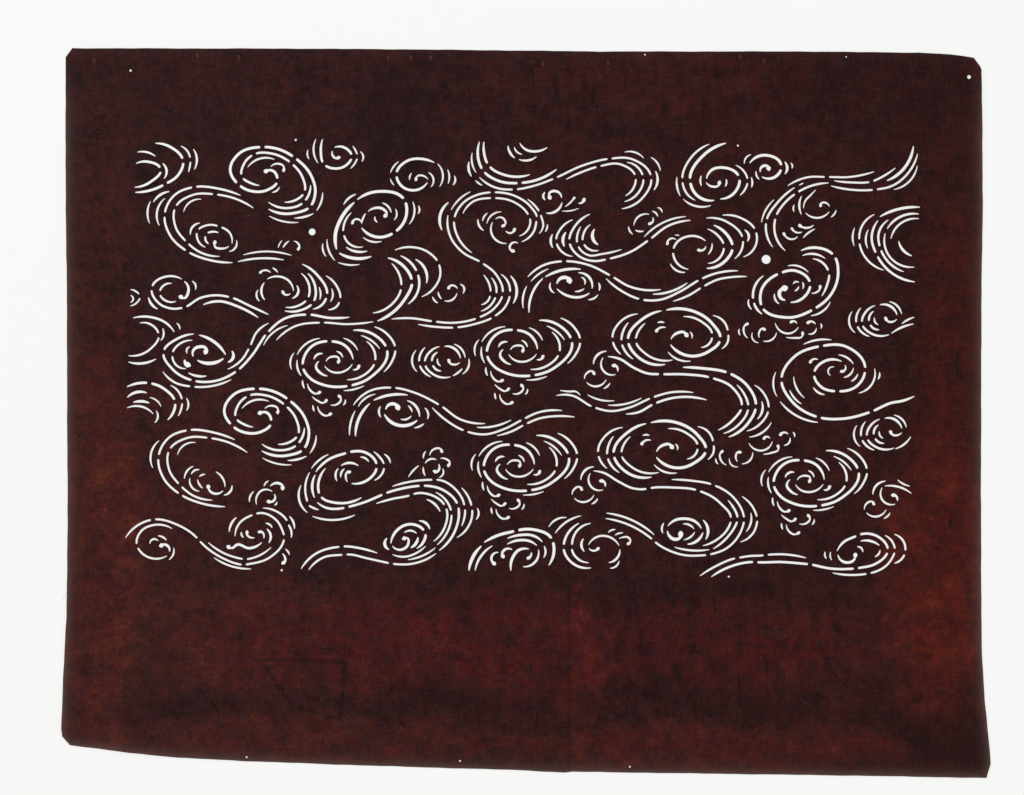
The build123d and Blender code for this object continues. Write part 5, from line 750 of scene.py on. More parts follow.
def whirl_with_stem():
    """The whirl low at the right, whose line leads to the right edge."""
    return [
        (1.25, (174.7, 7.6), (169.4, 5.5), (164.4, 4.6), tie(155.5, 0.7), (142.9, -2.5),
         tie(131.7, -1.9), (119.4, 5.5), tie(114.9, 15), (120.5, 25.2), tie(132.7, 30.1), (144, 29.9),
         tie(152.6, 19.4), (149, 12.3), tie(140, 9.8), (132.5, 12), tie(129.6, 17.7), (134, 23.2),
         (142, 23.2)),
        (1.0, (124.8, 30.9), (131, 32.9), (137.4, 32.9)),
        (0.95, (112.4, 18.5), (111.2, 13.5), (112.9, 7.4)),
        (1.0, (114.3, 5.2), (120.7, -0.6), (131.4, -4.2)),
        (0.95, (120.4, 16.5), (121.7, 11.2), (125.3, 6.8)),
        (1.0, (118.6, 10.4), (120.7, 6.8), (123.9, 4.1)),
        (0.95, curl(127.7, 22.3), (128.6, 23.9), (131.4, 24)),
        (1.0, (140.5, 26.2), (144.6, 24.8), (147.3, 22)),
        (0.8, (138.7, 20.7), (136.2, 19.9), (135.9, 18.2), (137.1, 16.9)),
        (1.0, curl(141.3, 18.9), (142.9, 18.9), (143.4, 21.6)),
        (1.0, (147.3, 20.4), (146, 17.6), (142.8, 16)),
        (1.0, (149.3, 17.7), (148.2, 15.7), (146.2, 14.2)),
        (1.1, (129.2, 11.6), (131.4, 9.3), (134.4, 8.3)),
        (1.0, (156.8, 20.1), (156.2, 14.1), (149.6, 9)),
        (1.0, (159, 18.4), (159, 16.6), (158.3, 15.1)),
    ]

# %% [markdown]
# The lowest row, from left to right. The lower edge of the pattern cuts through some of it, because
# the next repeat of the print carries on there.

# %% The lowest row
def bottom_left_whirl():
    """The eye in the lower left corner, and the whirl that its line leads to."""
    return [
        (1.0, (-180.2, -56.2), (-174.7, -50.5), (-168.4, -48), tie(-167.8, -47.9), (-166.2, -47.8),
         (-157.2, -50.1), (-148.2, -56), tie(-147.3, -57), (-146.2, -58.2), (-136.6, -65.2),
         (-128, -68.2), tie(-127, -68.3), (-125.7, -68.1), (-115.2, -64.9), (-109, -57.5),
         tie(-108.7, -55.9), (-109.2, -54), (-112.7, -47.8), (-120.7, -45.1), tie(-122.2, -45.6),
         (-124.2, -46.3), (-129.2, -49.9), (-130.9, -55.5)),
        (0.95, (-143, -58.2), (-136.2, -62.9), (-128.2, -65.5), tie(-126.5, -65.8), (-124.8, -65.6),
         (-119.2, -63.7), (-114.7, -60.4)),
        (0.95, (-140.5, -65), (-132.2, -69), (-123.6, -70.1)),
        (1.15, (-130.2, -46.9), (-132.6, -49.8), (-133.5, -53.5)),
        (1.0, (-118.5, -42.7), (-112.7, -44), (-107.6, -48.3), tie(-107.1, -49.3), (-106.6, -50.6),
         (-105.6, -53), (-105.7, -56.2)),
        (1.1, (-106.5, -46.4), (-104.7, -49), (-104.2, -52.2)),
        (1.0, (-128, -53.4), (-128, -54.8), (-127, -56)),
        (1.0, curl(-125.2, -52.9), (-125.4, -54.9), (-124.2, -55.9), (-122, -56)),
        (1.0, (-117.2, -49.6), (-115.7, -49.9), (-114.2, -51.7)),
        (1.0, curl(-120.5, -53.9), (-118.9, -53.4), (-118, -54.6), (-118, -56.4)),
        (1.25, (-116.7, -52.1), (-114.9, -54.9), (-115.8, -58.4)),
        (1.25, curl(-134.4, -59.5), (-132.4, -60.8), (-130.1, -59.2), (-124.5, -60.8), (-118.9, -58.2)),
        (1.0, (-159.2, -52), (-167.2, -50.3), (-173.2, -53.2), (-175.2, -58.7), tie(-175, -59.8),
         (-174.4, -61), (-167.2, -65.5), (-161.5, -64.2)),
        (1.0, (-165.6, -55.2), (-163.4, -55.8), (-161.7, -57.3)),
        (1.0, (-169.2, -58.9), (-168, -56.8), (-165.4, -57.6)),
        (1.3, curl(-164.7, -60.3), (-162.7, -59.1), (-160.7, -60.3), (-160.4, -62.4)),
        (0.95, (-158.5, -60.6), (-158.6, -63.3), (-160.7, -66)),
        (0.9, (-108.3, -61.1), (-107.1, -62.3), (-106.4, -63.8)),
        (1.15, curl(-110.1, -67.5), (-108.6, -67), (-108.4, -65), (-109.7, -63.2)),
        (0.85, (-115.7, -30.4), (-117.1, -31.4), (-117.9, -33)),
        (1.3, curl(-110.1, -34.5), (-109.4, -33.2), (-111.1, -31.6), (-113.1, -31.6), (-115.1, -32.9)),
        (1.0, (-114.1, -35.4), (-118.1, -34.5), (-121.1, -37.4), (-121.2, -41.2)),
        (0.95, (-122.4, -35.2), (-124.1, -37.4), (-124.4, -40.1)),
        (1.15, curl(-116.5, -39.3), (-115.1, -40), (-112.9, -38.5), (-113.3, -36.4)),
        (0.95, (-112.1, -39.9), (-112.4, -41), (-113.3, -41.4)),
    ]


def lower_sickle():
    """The great crest of the lower half, with the eye that it curls round."""
    return [
        (1.1, (-101.2, -32.4), (-102.3, -37.3), (-98.3, -44.8)),
        (1.0, (-97.3, -26.6), (-99.3, -32.8), (-98.5, -39.4), tie(-98.1, -40.7), (-97.3, -41.8),
         (-95.6, -42.7), (-93.2, -43.6)),
        (1.15, (-94, -40.1), (-91.1, -42.1), (-82.6, -42.8), tie(-80.8, -42.4), (-79.1, -42),
         (-72.1, -39.9), (-65.3, -37), tie(-63.7, -36.3), (-62.1, -35.7), (-55.1, -33.8),
         (-48.6, -32.8), tie(-46.9, -32.7), (-45.1, -32.7), (-37.1, -34.7), (-31.2, -40.2),
         tie(-30.6, -41.6), (-30.3, -43.1), (-31.7, -52.4), (-39.1, -61.8)),
        (1.3, (-94.8, -27.7), (-96.2, -33.8), (-95.1, -38.1)),
        (1.2, (-90.1, -24.8), (-93.3, -30.8), (-93.2, -35.8), tie(-92.8, -37.1), (-91.5, -38.4),
         (-86.1, -40.3), (-74, -38)),
        (1.0, (-96.6, -25), (-93.1, -21.2), (-88.8, -18.6)),
        (1.25, (-94.6, -26.5), (-89.6, -21.4), (-81, -18), tie(-80, -17.7), (-78.6, -17.4),
         (-72.6, -17.6), (-67.4, -22.4), tie(-67.1, -23.8), (-67.3, -25.1), (-71.1, -30),
         (-78.5, -31.7)),
        (1.0, (-68.6, -17.3), (-65.9, -19.7), (-64.1, -22.5), tie(-63.9, -23.8), (-63.9, -25),
         (-65.1, -27.8), (-68.3, -30.3)),
        (1.0, (-63.9, -18.4), (-61.9, -20.1), (-61, -22.6)),
        (1.05, (-74.6, -19.8), (-72.5, -20.2), (-70.7, -22)),
        (1.2, (-83.2, -23.7), (-79.1, -22.4), (-75.4, -23.7)),
        (1.05, curl(-78.8, -26.8), (-80.4, -26.6), (-81.1, -28.8), (-80.3, -31)),
        (1.05, (-81.6, -25), (-83.1, -26.8), (-83.3, -29)),
        (1.1, (-84.4, -24.8), (-85.7, -27.8), (-85, -30.6)),
        (1.0, (-96.1, -46.4), (-87.6, -48.1), (-76.9, -45.8)),
        (1.0, (-60.2, -33), (-51.1, -30.7), (-42.3, -30), tie(-41.2, -30), (-39.9, -30),
         (-31.6, -34.4), (-27.8, -41.2), tie(-27.6, -42.4), (-27.4, -43.8), (-27.7, -46.9),
         (-29, -50.9)),
        (1.05, (-67.4, -40.7), (-60.1, -38.6), (-52.9, -37.2), tie(-51.5, -36.8), (-50.1, -36.3),
         (-43.1, -36.7), (-36.8, -41.1), tie(-36.2, -42.1), (-35.7, -43.5), (-36.4, -50.9),
         (-41.6, -57.8)),
        (1.0, (-40.7, -35.6), (-36.6, -38.5), (-33.8, -43.5), tie(-33.5, -44.8), (-33.5, -46.2),
         (-35.1, -52.9), (-40, -59.3)),
        (1.15, (-44.8, -38.8), (-41.1, -40.9), (-38.6, -44.4)),
        (1.0, (-29, -33.6), (-26.4, -36.9), (-24.6, -41.4), tie(-24.4, -42.6), (-24.2, -43.9),
         (-25.6, -50.4), (-31.1, -56)),
        (1.05, (-22, -42.7), (-21.3, -45.4), (-22.5, -47.9)),
        (1.0, (-53.2, -66), (-46.2, -64), (-40.7, -60.5)),
        (1.0, (-60.1, -63.6), (-54.2, -64.6), (-49.2, -62.9), (-45.1, -59.8)),
        (1.05, (-101.2, -70.1), (-95.7, -64), (-84.2, -60.2), tie(-83, -60.1), (-81.7, -60),
         (-74.7, -60.8), (-66.9, -63)),
        (1.0, (-97.8, -70.6), (-91.2, -65), (-83.2, -63.8), tie(-81.7, -63.7), (-80.2, -63.6),
         (-71.2, -65.4), (-62.2, -67.4), tie(-60.8, -67.7), (-59.2, -67.9), (-50.2, -67.6),
         (-40.4, -63.1)),
        (1.3, (-60.8, -58.7), (-58.4, -53.1), (-51.6, -50), (-46.2, -52.5), tie(-45.5, -53.6),
         (-45.2, -54.9), (-46, -57.7), (-49.2, -60.9)),
        (1.05, (-54.8, -53.8), (-51.6, -52.9), (-49.2, -54.2)),
        (1.25, curl(-55.4, -57.1), (-53.5, -56.2), (-53, -58.9), (-55.2, -61.2), (-60.1, -59.8)),
        (1.5, (-48.6, -55.8), (-49.5, -58.6), (-51.9, -60.6)),
        (1.5, (-62.5, -56.3), (-63.6, -58.6), (-61.6, -61.4)),
        (1.3, (-48.2, -48.5), (-45.6, -49.1), (-43.3, -52.3)),
        (0.9, (-45, -17.1), (-45.9, -18.4), (-46.1, -20.5)),
        (1.0, curl(-37.9, -17.9), (-38.4, -16.2), (-41.1, -16.1), (-43.3, -19.1)),
        (1.0, (-40.3, -21), (-43.1, -20.7), (-45.4, -22.7)),
        (1.0, curl(-35.5, -23.9), (-34.3, -22.4), (-36.1, -20.6), (-38.5, -20.4)),
        (0.95, (-48.2, -23.6), (-50.6, -25.7), (-52.9, -28.8)),
        (0.95, (-46.2, -24.2), (-46.1, -26.4), (-45.3, -28.3)),
        (1.15, curl(-41.5, -25.6), (-40.1, -26.5), (-39, -24.9), (-39.3, -22.9)),
        (0.95, (-37.5, -24.9), (-37.3, -27.4), (-39.1, -29)),
    ]


def bottom_whirl():
    """The whirl that the lower edge of the pattern cuts through, and the one beside it."""
    return [
        (1.4, (-18.9, -58.2), (-12.6, -55), (-5.6, -53.2), tie(-4.4, -52.9), (-3.1, -52.6),
         (3.9, -52.5), (11.2, -56), tie(11.9, -57.2), (12.3, -58.6), (12.5, -63), (10.2, -68.5)),
        (1.25, (-8.4, -56.4), (-2.1, -54.8), (3.4, -55.2), (7.4, -58)),
        (1.25, (-8.5, -59), (-3.1, -57.2), (1.9, -57.7), (4.9, -59.6)),
        (1.05, (8.1, -59.8), (8.8, -62), (7.9, -65.1)),
        (1.15, (5.6, -61.4), (4.5, -66.5), (-1.4, -69.1)),
        (1.05, curl(0.3, -65.4), (2, -64.5), (2.4, -62.6)),
        (1.4, (-6.7, -70.9), (-6, -65), (-3, -61.5), (1.3, -61.2)),
        (1.2, curl(-13.5, -68), (-15.4, -66.5), (-15, -63.7), (-12.4, -62.7)),
        (1.25, curl(-9.6, -64.9), (-10.8, -63.5), (-10, -61.8), (-6.2, -61.5)),
        (1.6, (-25.7, -70.9), (-24, -65), (-20, -59.7)),
        (1.15, (-22.9, -70.9), (-21, -65.5), (-15.1, -59.7)),
        (1.05, (29.2, -49.6), (22.9, -53), (20.7, -59), tie(20.7, -60.2), (20.7, -61.4), (23, -65.3),
         (28.3, -67.3)),
        (1.15, (23.9, -49.5), (18.9, -54), (17, -59), tie(16.9, -60.2), (17, -61.4), (20.5, -67.2),
         (29.3, -69.6)),
        (1.0, (18.3, -47), (13.4, -48), (10.2, -51.3)),
        (1.0, (24.8, -46.2), (17.4, -49.5), (13.1, -54.1)),
        (1.25, (25.9, -56.5), (24.9, -59.4), (26.3, -62.3)),
        (1.0, (28.1, -59.3), (31.9, -55.7), (37.9, -55.9), (41.9, -59.7)),
        (1.0, curl(32.8, -60.3), (31, -61.9), (29.3, -61.7), (28.3, -60.8)),
        (1.2, (42.2, -61.3), (41.2, -64.9), (37.2, -67.3)),
        (0.95, (41.9, -66.4), (40.5, -68.9), (37.7, -69.8)),
        (0.9, (40.3, -52.4), (38.4, -52.7), (36.9, -53.8)),
        (0.9, (43.7, -53.9), (41.7, -54.1), (40, -55)),
        (1.0, curl(45.3, -58.8), (47, -57.7), (45.9, -55.9), (43.8, -55.8), (41.8, -56.5)),
    ]


def lower_right_crest():
    """The S-shaped crest right of the bottom whirl, and its eye."""
    return [
        (1.0, (36.1, -45), (48.8, -48.7), (57.7, -54.8)),
        (1.0, (35.7, -47.4), (46.8, -50.5), (56.2, -56.3), tie(57.4, -57.3), (58.6, -58.4),
         (63.7, -61.5), (70.7, -63.8), (80.7, -63.9), tie(82, -63.8), (83.3, -63.5), (90.7, -60.5),
         (96.3, -54), (98, -49.1), tie(98.2, -47.9), (98, -46.5), (93.4, -38), (85.5, -32.8),
         tie(84.2, -32.3), (82.7, -31.8), (76, -30.6), (65.5, -29.9)),
        (1.05, (79.5, -59.7), (85.8, -57), (90.8, -52), (92, -49.2), tie(92.2, -48), (92.1, -46.6),
         (87.9, -41), (83.4, -37.4), (78.7, -35.3), tie(77.4, -34.8), (75.9, -34.4), (66.2, -33.5),
         (56.9, -33.6), tie(55.1, -33.9), (53.4, -34.2), (48.4, -33.9), (41.6, -30.8), (34.7, -26.8),
         (30.3, -26)),
        (1.05, (90.8, -39.2), (93.2, -42.3), (95.1, -46.6), tie(95.2, -47.9), (94.8, -49.3),
         (91.8, -54.4), (84.1, -61.1)),
        (1.05, (101.1, -44.8), (101.2, -49.1), (99, -53.4)),
        (1.0, (97.1, -37.5), (101.2, -41.1), (103.8, -46.4), tie(104.1, -47.5), (104, -48.7),
         (102.1, -54.1), (96.4, -58)),
        (1.0, (82.5, -61.4), (74.7, -61.8), (66.8, -60.3)),
        (1.3, (63.8, -50.8), (66.6, -48.4), (71.3, -47.5), (76.3, -48.9), (78.9, -52)),
        (1.6, curl(69, -53.3), (69.4, -55.8), (66.8, -56.8), (64.5, -55.3), (63.6, -53)),
        (1.0, (70.6, -49.9), (73.3, -50.2), (75.6, -52.2)),
        (1.0, (75.9, -53.5), (73.8, -55.9), (70.9, -57)),
        (1.4, (79.6, -53.7), (77.3, -57.2), (72.6, -59)),
        (1.05, (62.1, -49.4), (61.1, -51.8), (61.6, -54.1)),
        (1.4, (79.6, -48.1), (81.8, -51.9), (80.8, -56.9)),
    ]


def lower_right_whirl():
    """The last whirl, and the stream along the lower edge that feeds it."""
    return [
        (1.0, (78.2, -73.3), (86.3, -68.4), (93.9, -65.4), tie(95, -65.2), (96.2, -65), (100.8, -64.3),
         (106.6, -64), tie(107.8, -63.8), (109.1, -63.7), (116.8, -63.6), (126.1, -65.2)),
        (1.15, (83.3, -73.7), (91.8, -69.1), (101.8, -67), tie(103.1, -67), (104.4, -67.1),
         (114.8, -67), (126.5, -67.9), tie(127.8, -68), (129.1, -68.3), (136.8, -69.9), (147.1, -70),
         tie(148.4, -69.9), (149.6, -69.7), (157.3, -67.8), (162.3, -63.4), tie(162.9, -62),
         (162.6, -60.4), (158.2, -55.5), (150.7, -54.5), tie(149.4, -54.9), (148.1, -55.5),
         (142.8, -58.1), (139.9, -62.1)),
        (1.0, (137.9, -71.9), (144.8, -72.8), (152.8, -72.4), tie(154.1, -72.2), (155.4, -71.9),
         (162.3, -68.4), (165.7, -63.1), tie(166.1, -61.9), (165.9, -60.7), (164.4, -57.3),
         (161.4, -55)),
        (1.2, (150.5, -57.6), (154.8, -57.5), (159, -59.6)),
        (1.3, curl(147.9, -62.9), (147.8, -65.6), (143.8, -67.2), (140.3, -63.7)),
        (1.0, (148.9, -60.1), (150.8, -60.7), (151.5, -62.6)),
        (1.0, (159.3, -61.5), (158.7, -63.3), (156.9, -64.7)),
        (1.05, (165.6, -54.5), (169.5, -57.2), (170.7, -61.6), tie(170.6, -62.8), (170.1, -64),
         (168.4, -66.2), (165.6, -67.6)),
        (0.95, (134.6, -62.3), (134.4, -63.9), (135.2, -65.6)),
        (0.8, (137.1, -62.4), (136.8, -64.4), (137.6, -66.2)),
        (1.0, (161.3, -32.8), (167.6, -33.2), (173.4, -36.2)),
        (0.9, (167.1, -30), (169.6, -31.8), (172.7, -32.9)),
    ]

# %% [markdown]
# The pattern is the motifs that are drawn once, and the ones that come back. Each of those has the
# point it turns about, and for each copy its shift in millimetres and its turn in degrees.

# %% The whole pattern
DRAWN_ONCE = [
    whirl_at_left_edge, upper_swirl_eye, lower_swirl_eye, swirl_tail, small_eye_top, round_eye,
    slanted_whirl, sickles, tall_whirl, top_stream, small_eye_middle, twin_whirls, top_right_stream,
    whirl_at_right_edge, left_eye, left_whirl, nested_eye, ends_by_small_eyes, wave_crest,
    upper_wave_crest, stream_from_curl, right_whirl, whirl_with_stem, bottom_left_whirl,
    lower_sickle, bottom_whirl, lower_right_crest, lower_right_whirl,
]
FIRST = ((0, 0), 0)
DRAWN_AGAIN = [
    (open_swirl, (0, 0), [FIRST, ((-5, -113), -1.4)]),
    (hook_whirl, (0, 0), [FIRST, ((-4.8, -111), -1.1)]),
    (whirlpool, (-83, 23), [
        FIRST, ((82.9, 4.8), -3.1), ((81.5, -46.9), -3.7), ((211.9, -53.8), -3.2),
    ]),
    (small_eye, (-39, 23), [FIRST, ((196.6, 18.5), 5.9), ((198.8, -32.6), 6.5)]),
    (double_curl, (34, 19), [FIRST, ((-5.6, -52), 0.9), ((125.8, -58.5), 1.8)]),
    (hooked_eye, (65, 34), [FIRST, ((-6.5, -50.6), 1.8)]),
    (foam, (109, 37), [FIRST, ((-10.8, -54.8), 14.9)]),
]


def pattern():
    """Every line of the stencil: the motifs drawn once, then the others with their copies."""
    lines = [line for motif in DRAWN_ONCE for line in motif()]
    for motif, pivot, copies in DRAWN_AGAIN:
        for shift, degrees in copies:
            lines += turned(motif(), shift, degrees, pivot)
    return lines


# %% [markdown]
# A line is a smooth curve through its points. Each point gets a direction, which is that of the
# circle through it and its two neighbours, and each stretch is a cubic Hermite curve between two
# such points: a cubic that leaves the first point and reaches the second in the given directions.

# %% Smooth lines
STEPS = 10


def mirrored(chord, direction):
    """The direction at the far end of an arc over the chord: the given one, mirrored in the chord."""
    unit = chord / np.hypot(*chord)
    return 2 * unit.dot(direction) * unit - direction


def smooth_line(points):
    """Points of the smooth curve, the distance along it at each, and the distances of its ties."""
    place = np.array([point[:2] for point in points], dtype=float)
    chord = np.diff(place, axis=0)
    length = np.hypot(*chord.T)[:, None]
    unit = chord / length
    middle = unit[:-1] * length[1:] + unit[1:] * length[:-1]
    middle /= np.hypot(*middle.T)[:, None]
    toward = np.vstack([mirrored(chord[0], middle[0]), middle, mirrored(chord[-1], middle[-1])])
    a, b = toward[:-1], toward[1:]
    turn = np.abs(np.arctan2(a[:, 0] * b[:, 1] - a[:, 1] * b[:, 0], (a * b).sum(1)))
    pull = length / np.cos(turn / 4)[:, None] ** 2
    t = (np.arange(STEPS) / STEPS)[None, :, None]
    curve = place[:-1, None] + chord[:, None] * t * t * (3 - 2 * t)
    curve = curve + (pull * a)[:, None] * t * (1 - t) ** 2 - (pull * b)[:, None] * t * t * (1 - t)
    curve = np.vstack([curve.reshape(-1, 2), place[-1:]])
    run = np.concatenate([[0], np.cumsum(np.hypot(*np.diff(curve, axis=0).T))])
    ties = [run[i * STEPS] for i, point in enumerate(points) if "tie" in point]
    return curve, run, ties


# %% [markdown]
# A slit is the stretch of a line between two bridges. The knife leaves it full in the middle, thin
# at a free tip and blunt, with small round corners, at a bridge. Half the width is that profile as a
# function of the distance from both ends. A round head is the height of a circle over the line, and
# the slit is as wide as whichever of the two is wider there. A brightly lit slit looks wider than it
# is, so each is made a little narrower than its line says.

# %% The outline of a slit
BRIDGE = 1.9
STATION = 0.85
NARROWED = 0.91
FREE_TIP = (0.36, 5.5)
BLUNT_END = (0.84, 1.8)
NOSE = 0.34
NOSE_STATIONS = (0, 0.05, 0.16, NOSE)
HEAD = 0.86


def half_width(width, after, before, free_start, free_stop, head):
    """Half the slit's width at each distance after its start and before its stop."""
    share = np.ones_like(after)
    for gap, free in [(after, free_start), (before, free_stop)]:
        least, length = FREE_TIP if free else BLUNT_END
        length = min(length, after[-1] / 2)
        rise = least + (1 - least) * np.sin(np.clip(gap / length, 0, 1) * np.pi / 2)
        nose = np.clip(1 - gap / NOSE, 0, 1)
        share = np.minimum(share, rise) * np.sqrt(1 - nose ** 2)
    half = NARROWED * width / 2 * share
    if head:
        radius = HEAD * NARROWED * width
        circle = np.clip(radius ** 2 - (after - radius) ** 2, 0, None)
        half = np.maximum(half, np.sqrt(circle))
    return half


def stations(length):
    """Distances along a slit: close together at its round ends, evenly spaced between them."""
    *close, nose = NOSE_STATIONS
    inside = max(2, round((length - 2 * nose) / STATION) + 1)
    between = np.linspace(nose, length - nose, inside)
    return np.concatenate([close, between, length - np.array(close[::-1])])


def slit_outline(curve, run, start, stop, width, free_start, free_stop, head):
    """Points once round a slit, counterclockwise: out along its right side, back along its left."""
    along = start + stations(stop - start)
    middle = np.stack([np.interp(along, run, curve[:, k]) for k in (0, 1)], axis=1)
    ahead = np.gradient(middle, along, axis=0)
    across = np.stack([-ahead[:, 1], ahead[:, 0]], axis=1) / np.hypot(*ahead.T)[:, None]
    half = half_width(width, along - start, stop - along, free_start, free_stop, head)[:, None]
    left_side, right_side = middle + across * half, middle - across * half
    return np.vstack([right_side, left_side[-2:0:-1]])


def slits_of(line):
    """The outlines of the slits that a line's bridges leave."""
    width, *points = line
    curve, run, ties = smooth_line(points)
    starts = [0.0] + [tie_at + BRIDGE / 2 for tie_at in ties]
    stops = [tie_at - BRIDGE / 2 for tie_at in ties] + [run[-1]]
    last = len(ties)
    head = points[0][-1] == "curl"
    return [
        slit_outline(curve, run, starts[i], stops[i], width, i == 0, i == last, head and i == 0)
        for i in range(last + 1)
    ]


slits = [slit for line in pattern() for slit in slits_of(line)]
print(len(slits), "slits with", sum(len(slit) for slit in slits), "points")

# %% [markdown]
# Two punched dots belong to the pattern. The finer round holes are pin marks: a printer sets each
# repeat against the last by them.

# %% Round holes
LEAST_POINTS = 12
POINTS_PER_MM = 6
ROUND_HOLES = [
    (-96.2, 81.5, 1.5), (108.0, 69.1, 2.0), (199.2, 151.1, 0.85),
    (-103.6, 122.9, 0.5), (95.3, 120.3, 0.45), (-109.9, -70.7, 0.5), (91.2, -73.6, 0.45),
    (-177.9, 154.1, 0.5), (53.5, 161.2, 0.35), (144.0, 160.2, 0.3), (-125.7, -154.8, 0.4),
    (-29.7, -156.5, 0.4), (46.7, -159.1, 0.4),
]


def round_hole(x, y, radius):
    """Points round a circle, as many as its size needs."""
    count = LEAST_POINTS + 2 * round(POINTS_PER_MM * radius)
    turn = np.linspace(0, 2 * np.pi, count, endpoint=False)
    return np.stack([x + radius * np.cos(turn), y + radius * np.sin(turn)], axis=1)


holes = slits + [round_hole(*hole) for hole in ROUND_HOLES]
print(len(holes), "holes in all")

# %% [markdown]
# A flat sheet with hundreds of holes is one job for a constrained triangulation: the edge and the
# holes are outlines that its triangles must keep, and every triangle says in which outlines it
# lies. Points are added inside, so that the sheet can bend: rows close to the edge, and a grid over
# the rest, away from the slits. A coarse raster of the slits' points says where "away" is.

# %% Points inside the sheet
EDGE_ROWS = (0.7, 1.8, 3.6, 6.5)
GRID = 4.2
ROW_SHARE = 0.87
LEFT_CLEAR, RIGHT_CLEAR, LOW_CLEAR, TOP_CLEAR = 12, 13, 22, 13
CELL = 1.0
SPARE_CELLS = 4


def edge_rows():
    """Rows of points that follow the edge, each further in and with wider gaps."""
    rows = [(edge + edge_inward * inset)[k % 2::1 + k] for k, inset in enumerate(EDGE_ROWS)]
    return np.vstack(rows)


def field_grid():
    """A grid of points, every second row set half a step along, clear of the edge and the slits."""
    xs = np.arange(LEFT + LEFT_CLEAR, RIGHT - RIGHT_CLEAR, GRID)
    ys = np.arange(BOTTOM + LOW_CLEAR, TOP - TOP_CLEAR, GRID * ROW_SHARE)
    x, y = np.meshgrid(xs, ys)
    x[1::2] += GRID / 2
    points = np.stack([x.ravel(), y.ravel()], axis=1)
    cells = [int(side / CELL) + SPARE_CELLS for side in (RIGHT - LEFT, TOP - BOTTOM)]
    taken = np.zeros(cells, dtype=bool)
    i, j = ((np.vstack(holes) - (LEFT, BOTTOM)) / CELL).astype(int).T + 1
    for di in (-1, 0, 1):
        for dj in (-1, 0, 1):
            taken[i + di, j + dj] = True
    pi, pj = ((points - (LEFT, BOTTOM)) / CELL).astype(int).T + 1
    return points[~taken[pi, pj]]


inside = np.vstack([edge_rows(), field_grid()])
print(len(inside), "points inside")

# %% Triangles
outlines = [edge] + holes
flat = np.vstack(outlines + [inside])
firsts = np.cumsum([0] + [len(outline) for outline in outlines])
rings = [list(range(a, b)) for a, b in zip(firsts[:-1], firsts[1:])]
TRIANGLES_INSIDE = 1
SAME_POINT = 1e-5
made = delaunay_2d_cdt([Vector(p) for p in flat], [], rings, TRIANGLES_INSIDE, SAME_POINT, True)
plane, triangles, lies_in = np.array([tuple(v) for v in made[0]]), made[2], made[5]
paper = np.array([t for t, ids in zip(triangles, lies_in) if tuple(ids) == (0,)])
used, paper = np.unique(paper, return_inverse=True)
paper = paper.reshape(-1, 3)
plane = plane[used]
print(len(paper), "triangles of paper on each face")

# %% [markdown]
# Old tanned paper is stiff and never quite flat. A few broad waves and three lifted corners, each
# under a millimetre, are enough to move the light over it. The lowest point touches the table.

# %% How the sheet lies
WAVES = [
    (0.20, 11.0, 3.0, 0.4), (0.13, -6.0, 14.0, 1.1), (0.07, 24.0, 9.0, 2.0),
    (0.04, 31.0, -38.0, 0.7),
]
LIFTED_CORNERS = [(RIGHT, TOP, 0.7, 70.0), (LEFT, BOTTOM, 0.9, 85.0), (RIGHT, BOTTOM, 0.4, 60.0)]


def height(x, y):
    """The sum of a few slow sine waves, plus a bell-shaped rise at each lifted corner."""
    rise = np.zeros_like(x)
    for size, per_x, per_y, shift in WAVES:
        rise += size * np.sin((per_x * x + per_y * y) * MM + shift)
    for corner_x, corner_y, size, reach in LIFTED_CORNERS:
        rise += size * np.exp(-((x - corner_x) ** 2 + (y - corner_y) ** 2) / reach ** 2)
    return rise


rise = height(plane[:, 0], plane[:, 1])
rise = UNDERSIDE + rise - rise.min()
print(f"the sheet rises by up to {rise.max():.2f} mm")

# %% [markdown]
# The sheet is one closed body: the face, the back as its mirror image, and a wall round every
# outline. A side of a triangle that no other triangle shares is on an outline, and the paper lies to
# its left, so the wall is drawn from it with its front turned away from the paper.

# %% The body of the sheet
PAPER, CUT_EDGE = 0, 1
BATCHES = 64
SHARP_FROM = 40


def walls(paper, back):
    """A quad from each side that only one triangle has, down to the same side on the back."""
    sides = np.vstack([paper[:, [0, 1]], paper[:, [1, 2]], paper[:, [2, 0]]])
    span = sides.max() + 1
    key = sides.min(1).astype(np.int64) * span + sides.max(1)
    _, index, count = np.unique(key, return_index=True, return_counts=True)
    a, b = sides[index[count == 1]].T
    return np.stack([a, a + back, b + back, b], axis=1)


def edge_distance(points):
    """How far each point is from the trimmed edge, in millimetres."""
    distance = np.empty(len(points))
    for k in range(BATCHES):
        gaps = points[k::BATCHES, None] - edge[None]
        distance[k::BATCHES] = np.hypot(*gaps.transpose(2, 0, 1)).min(1)
    return distance


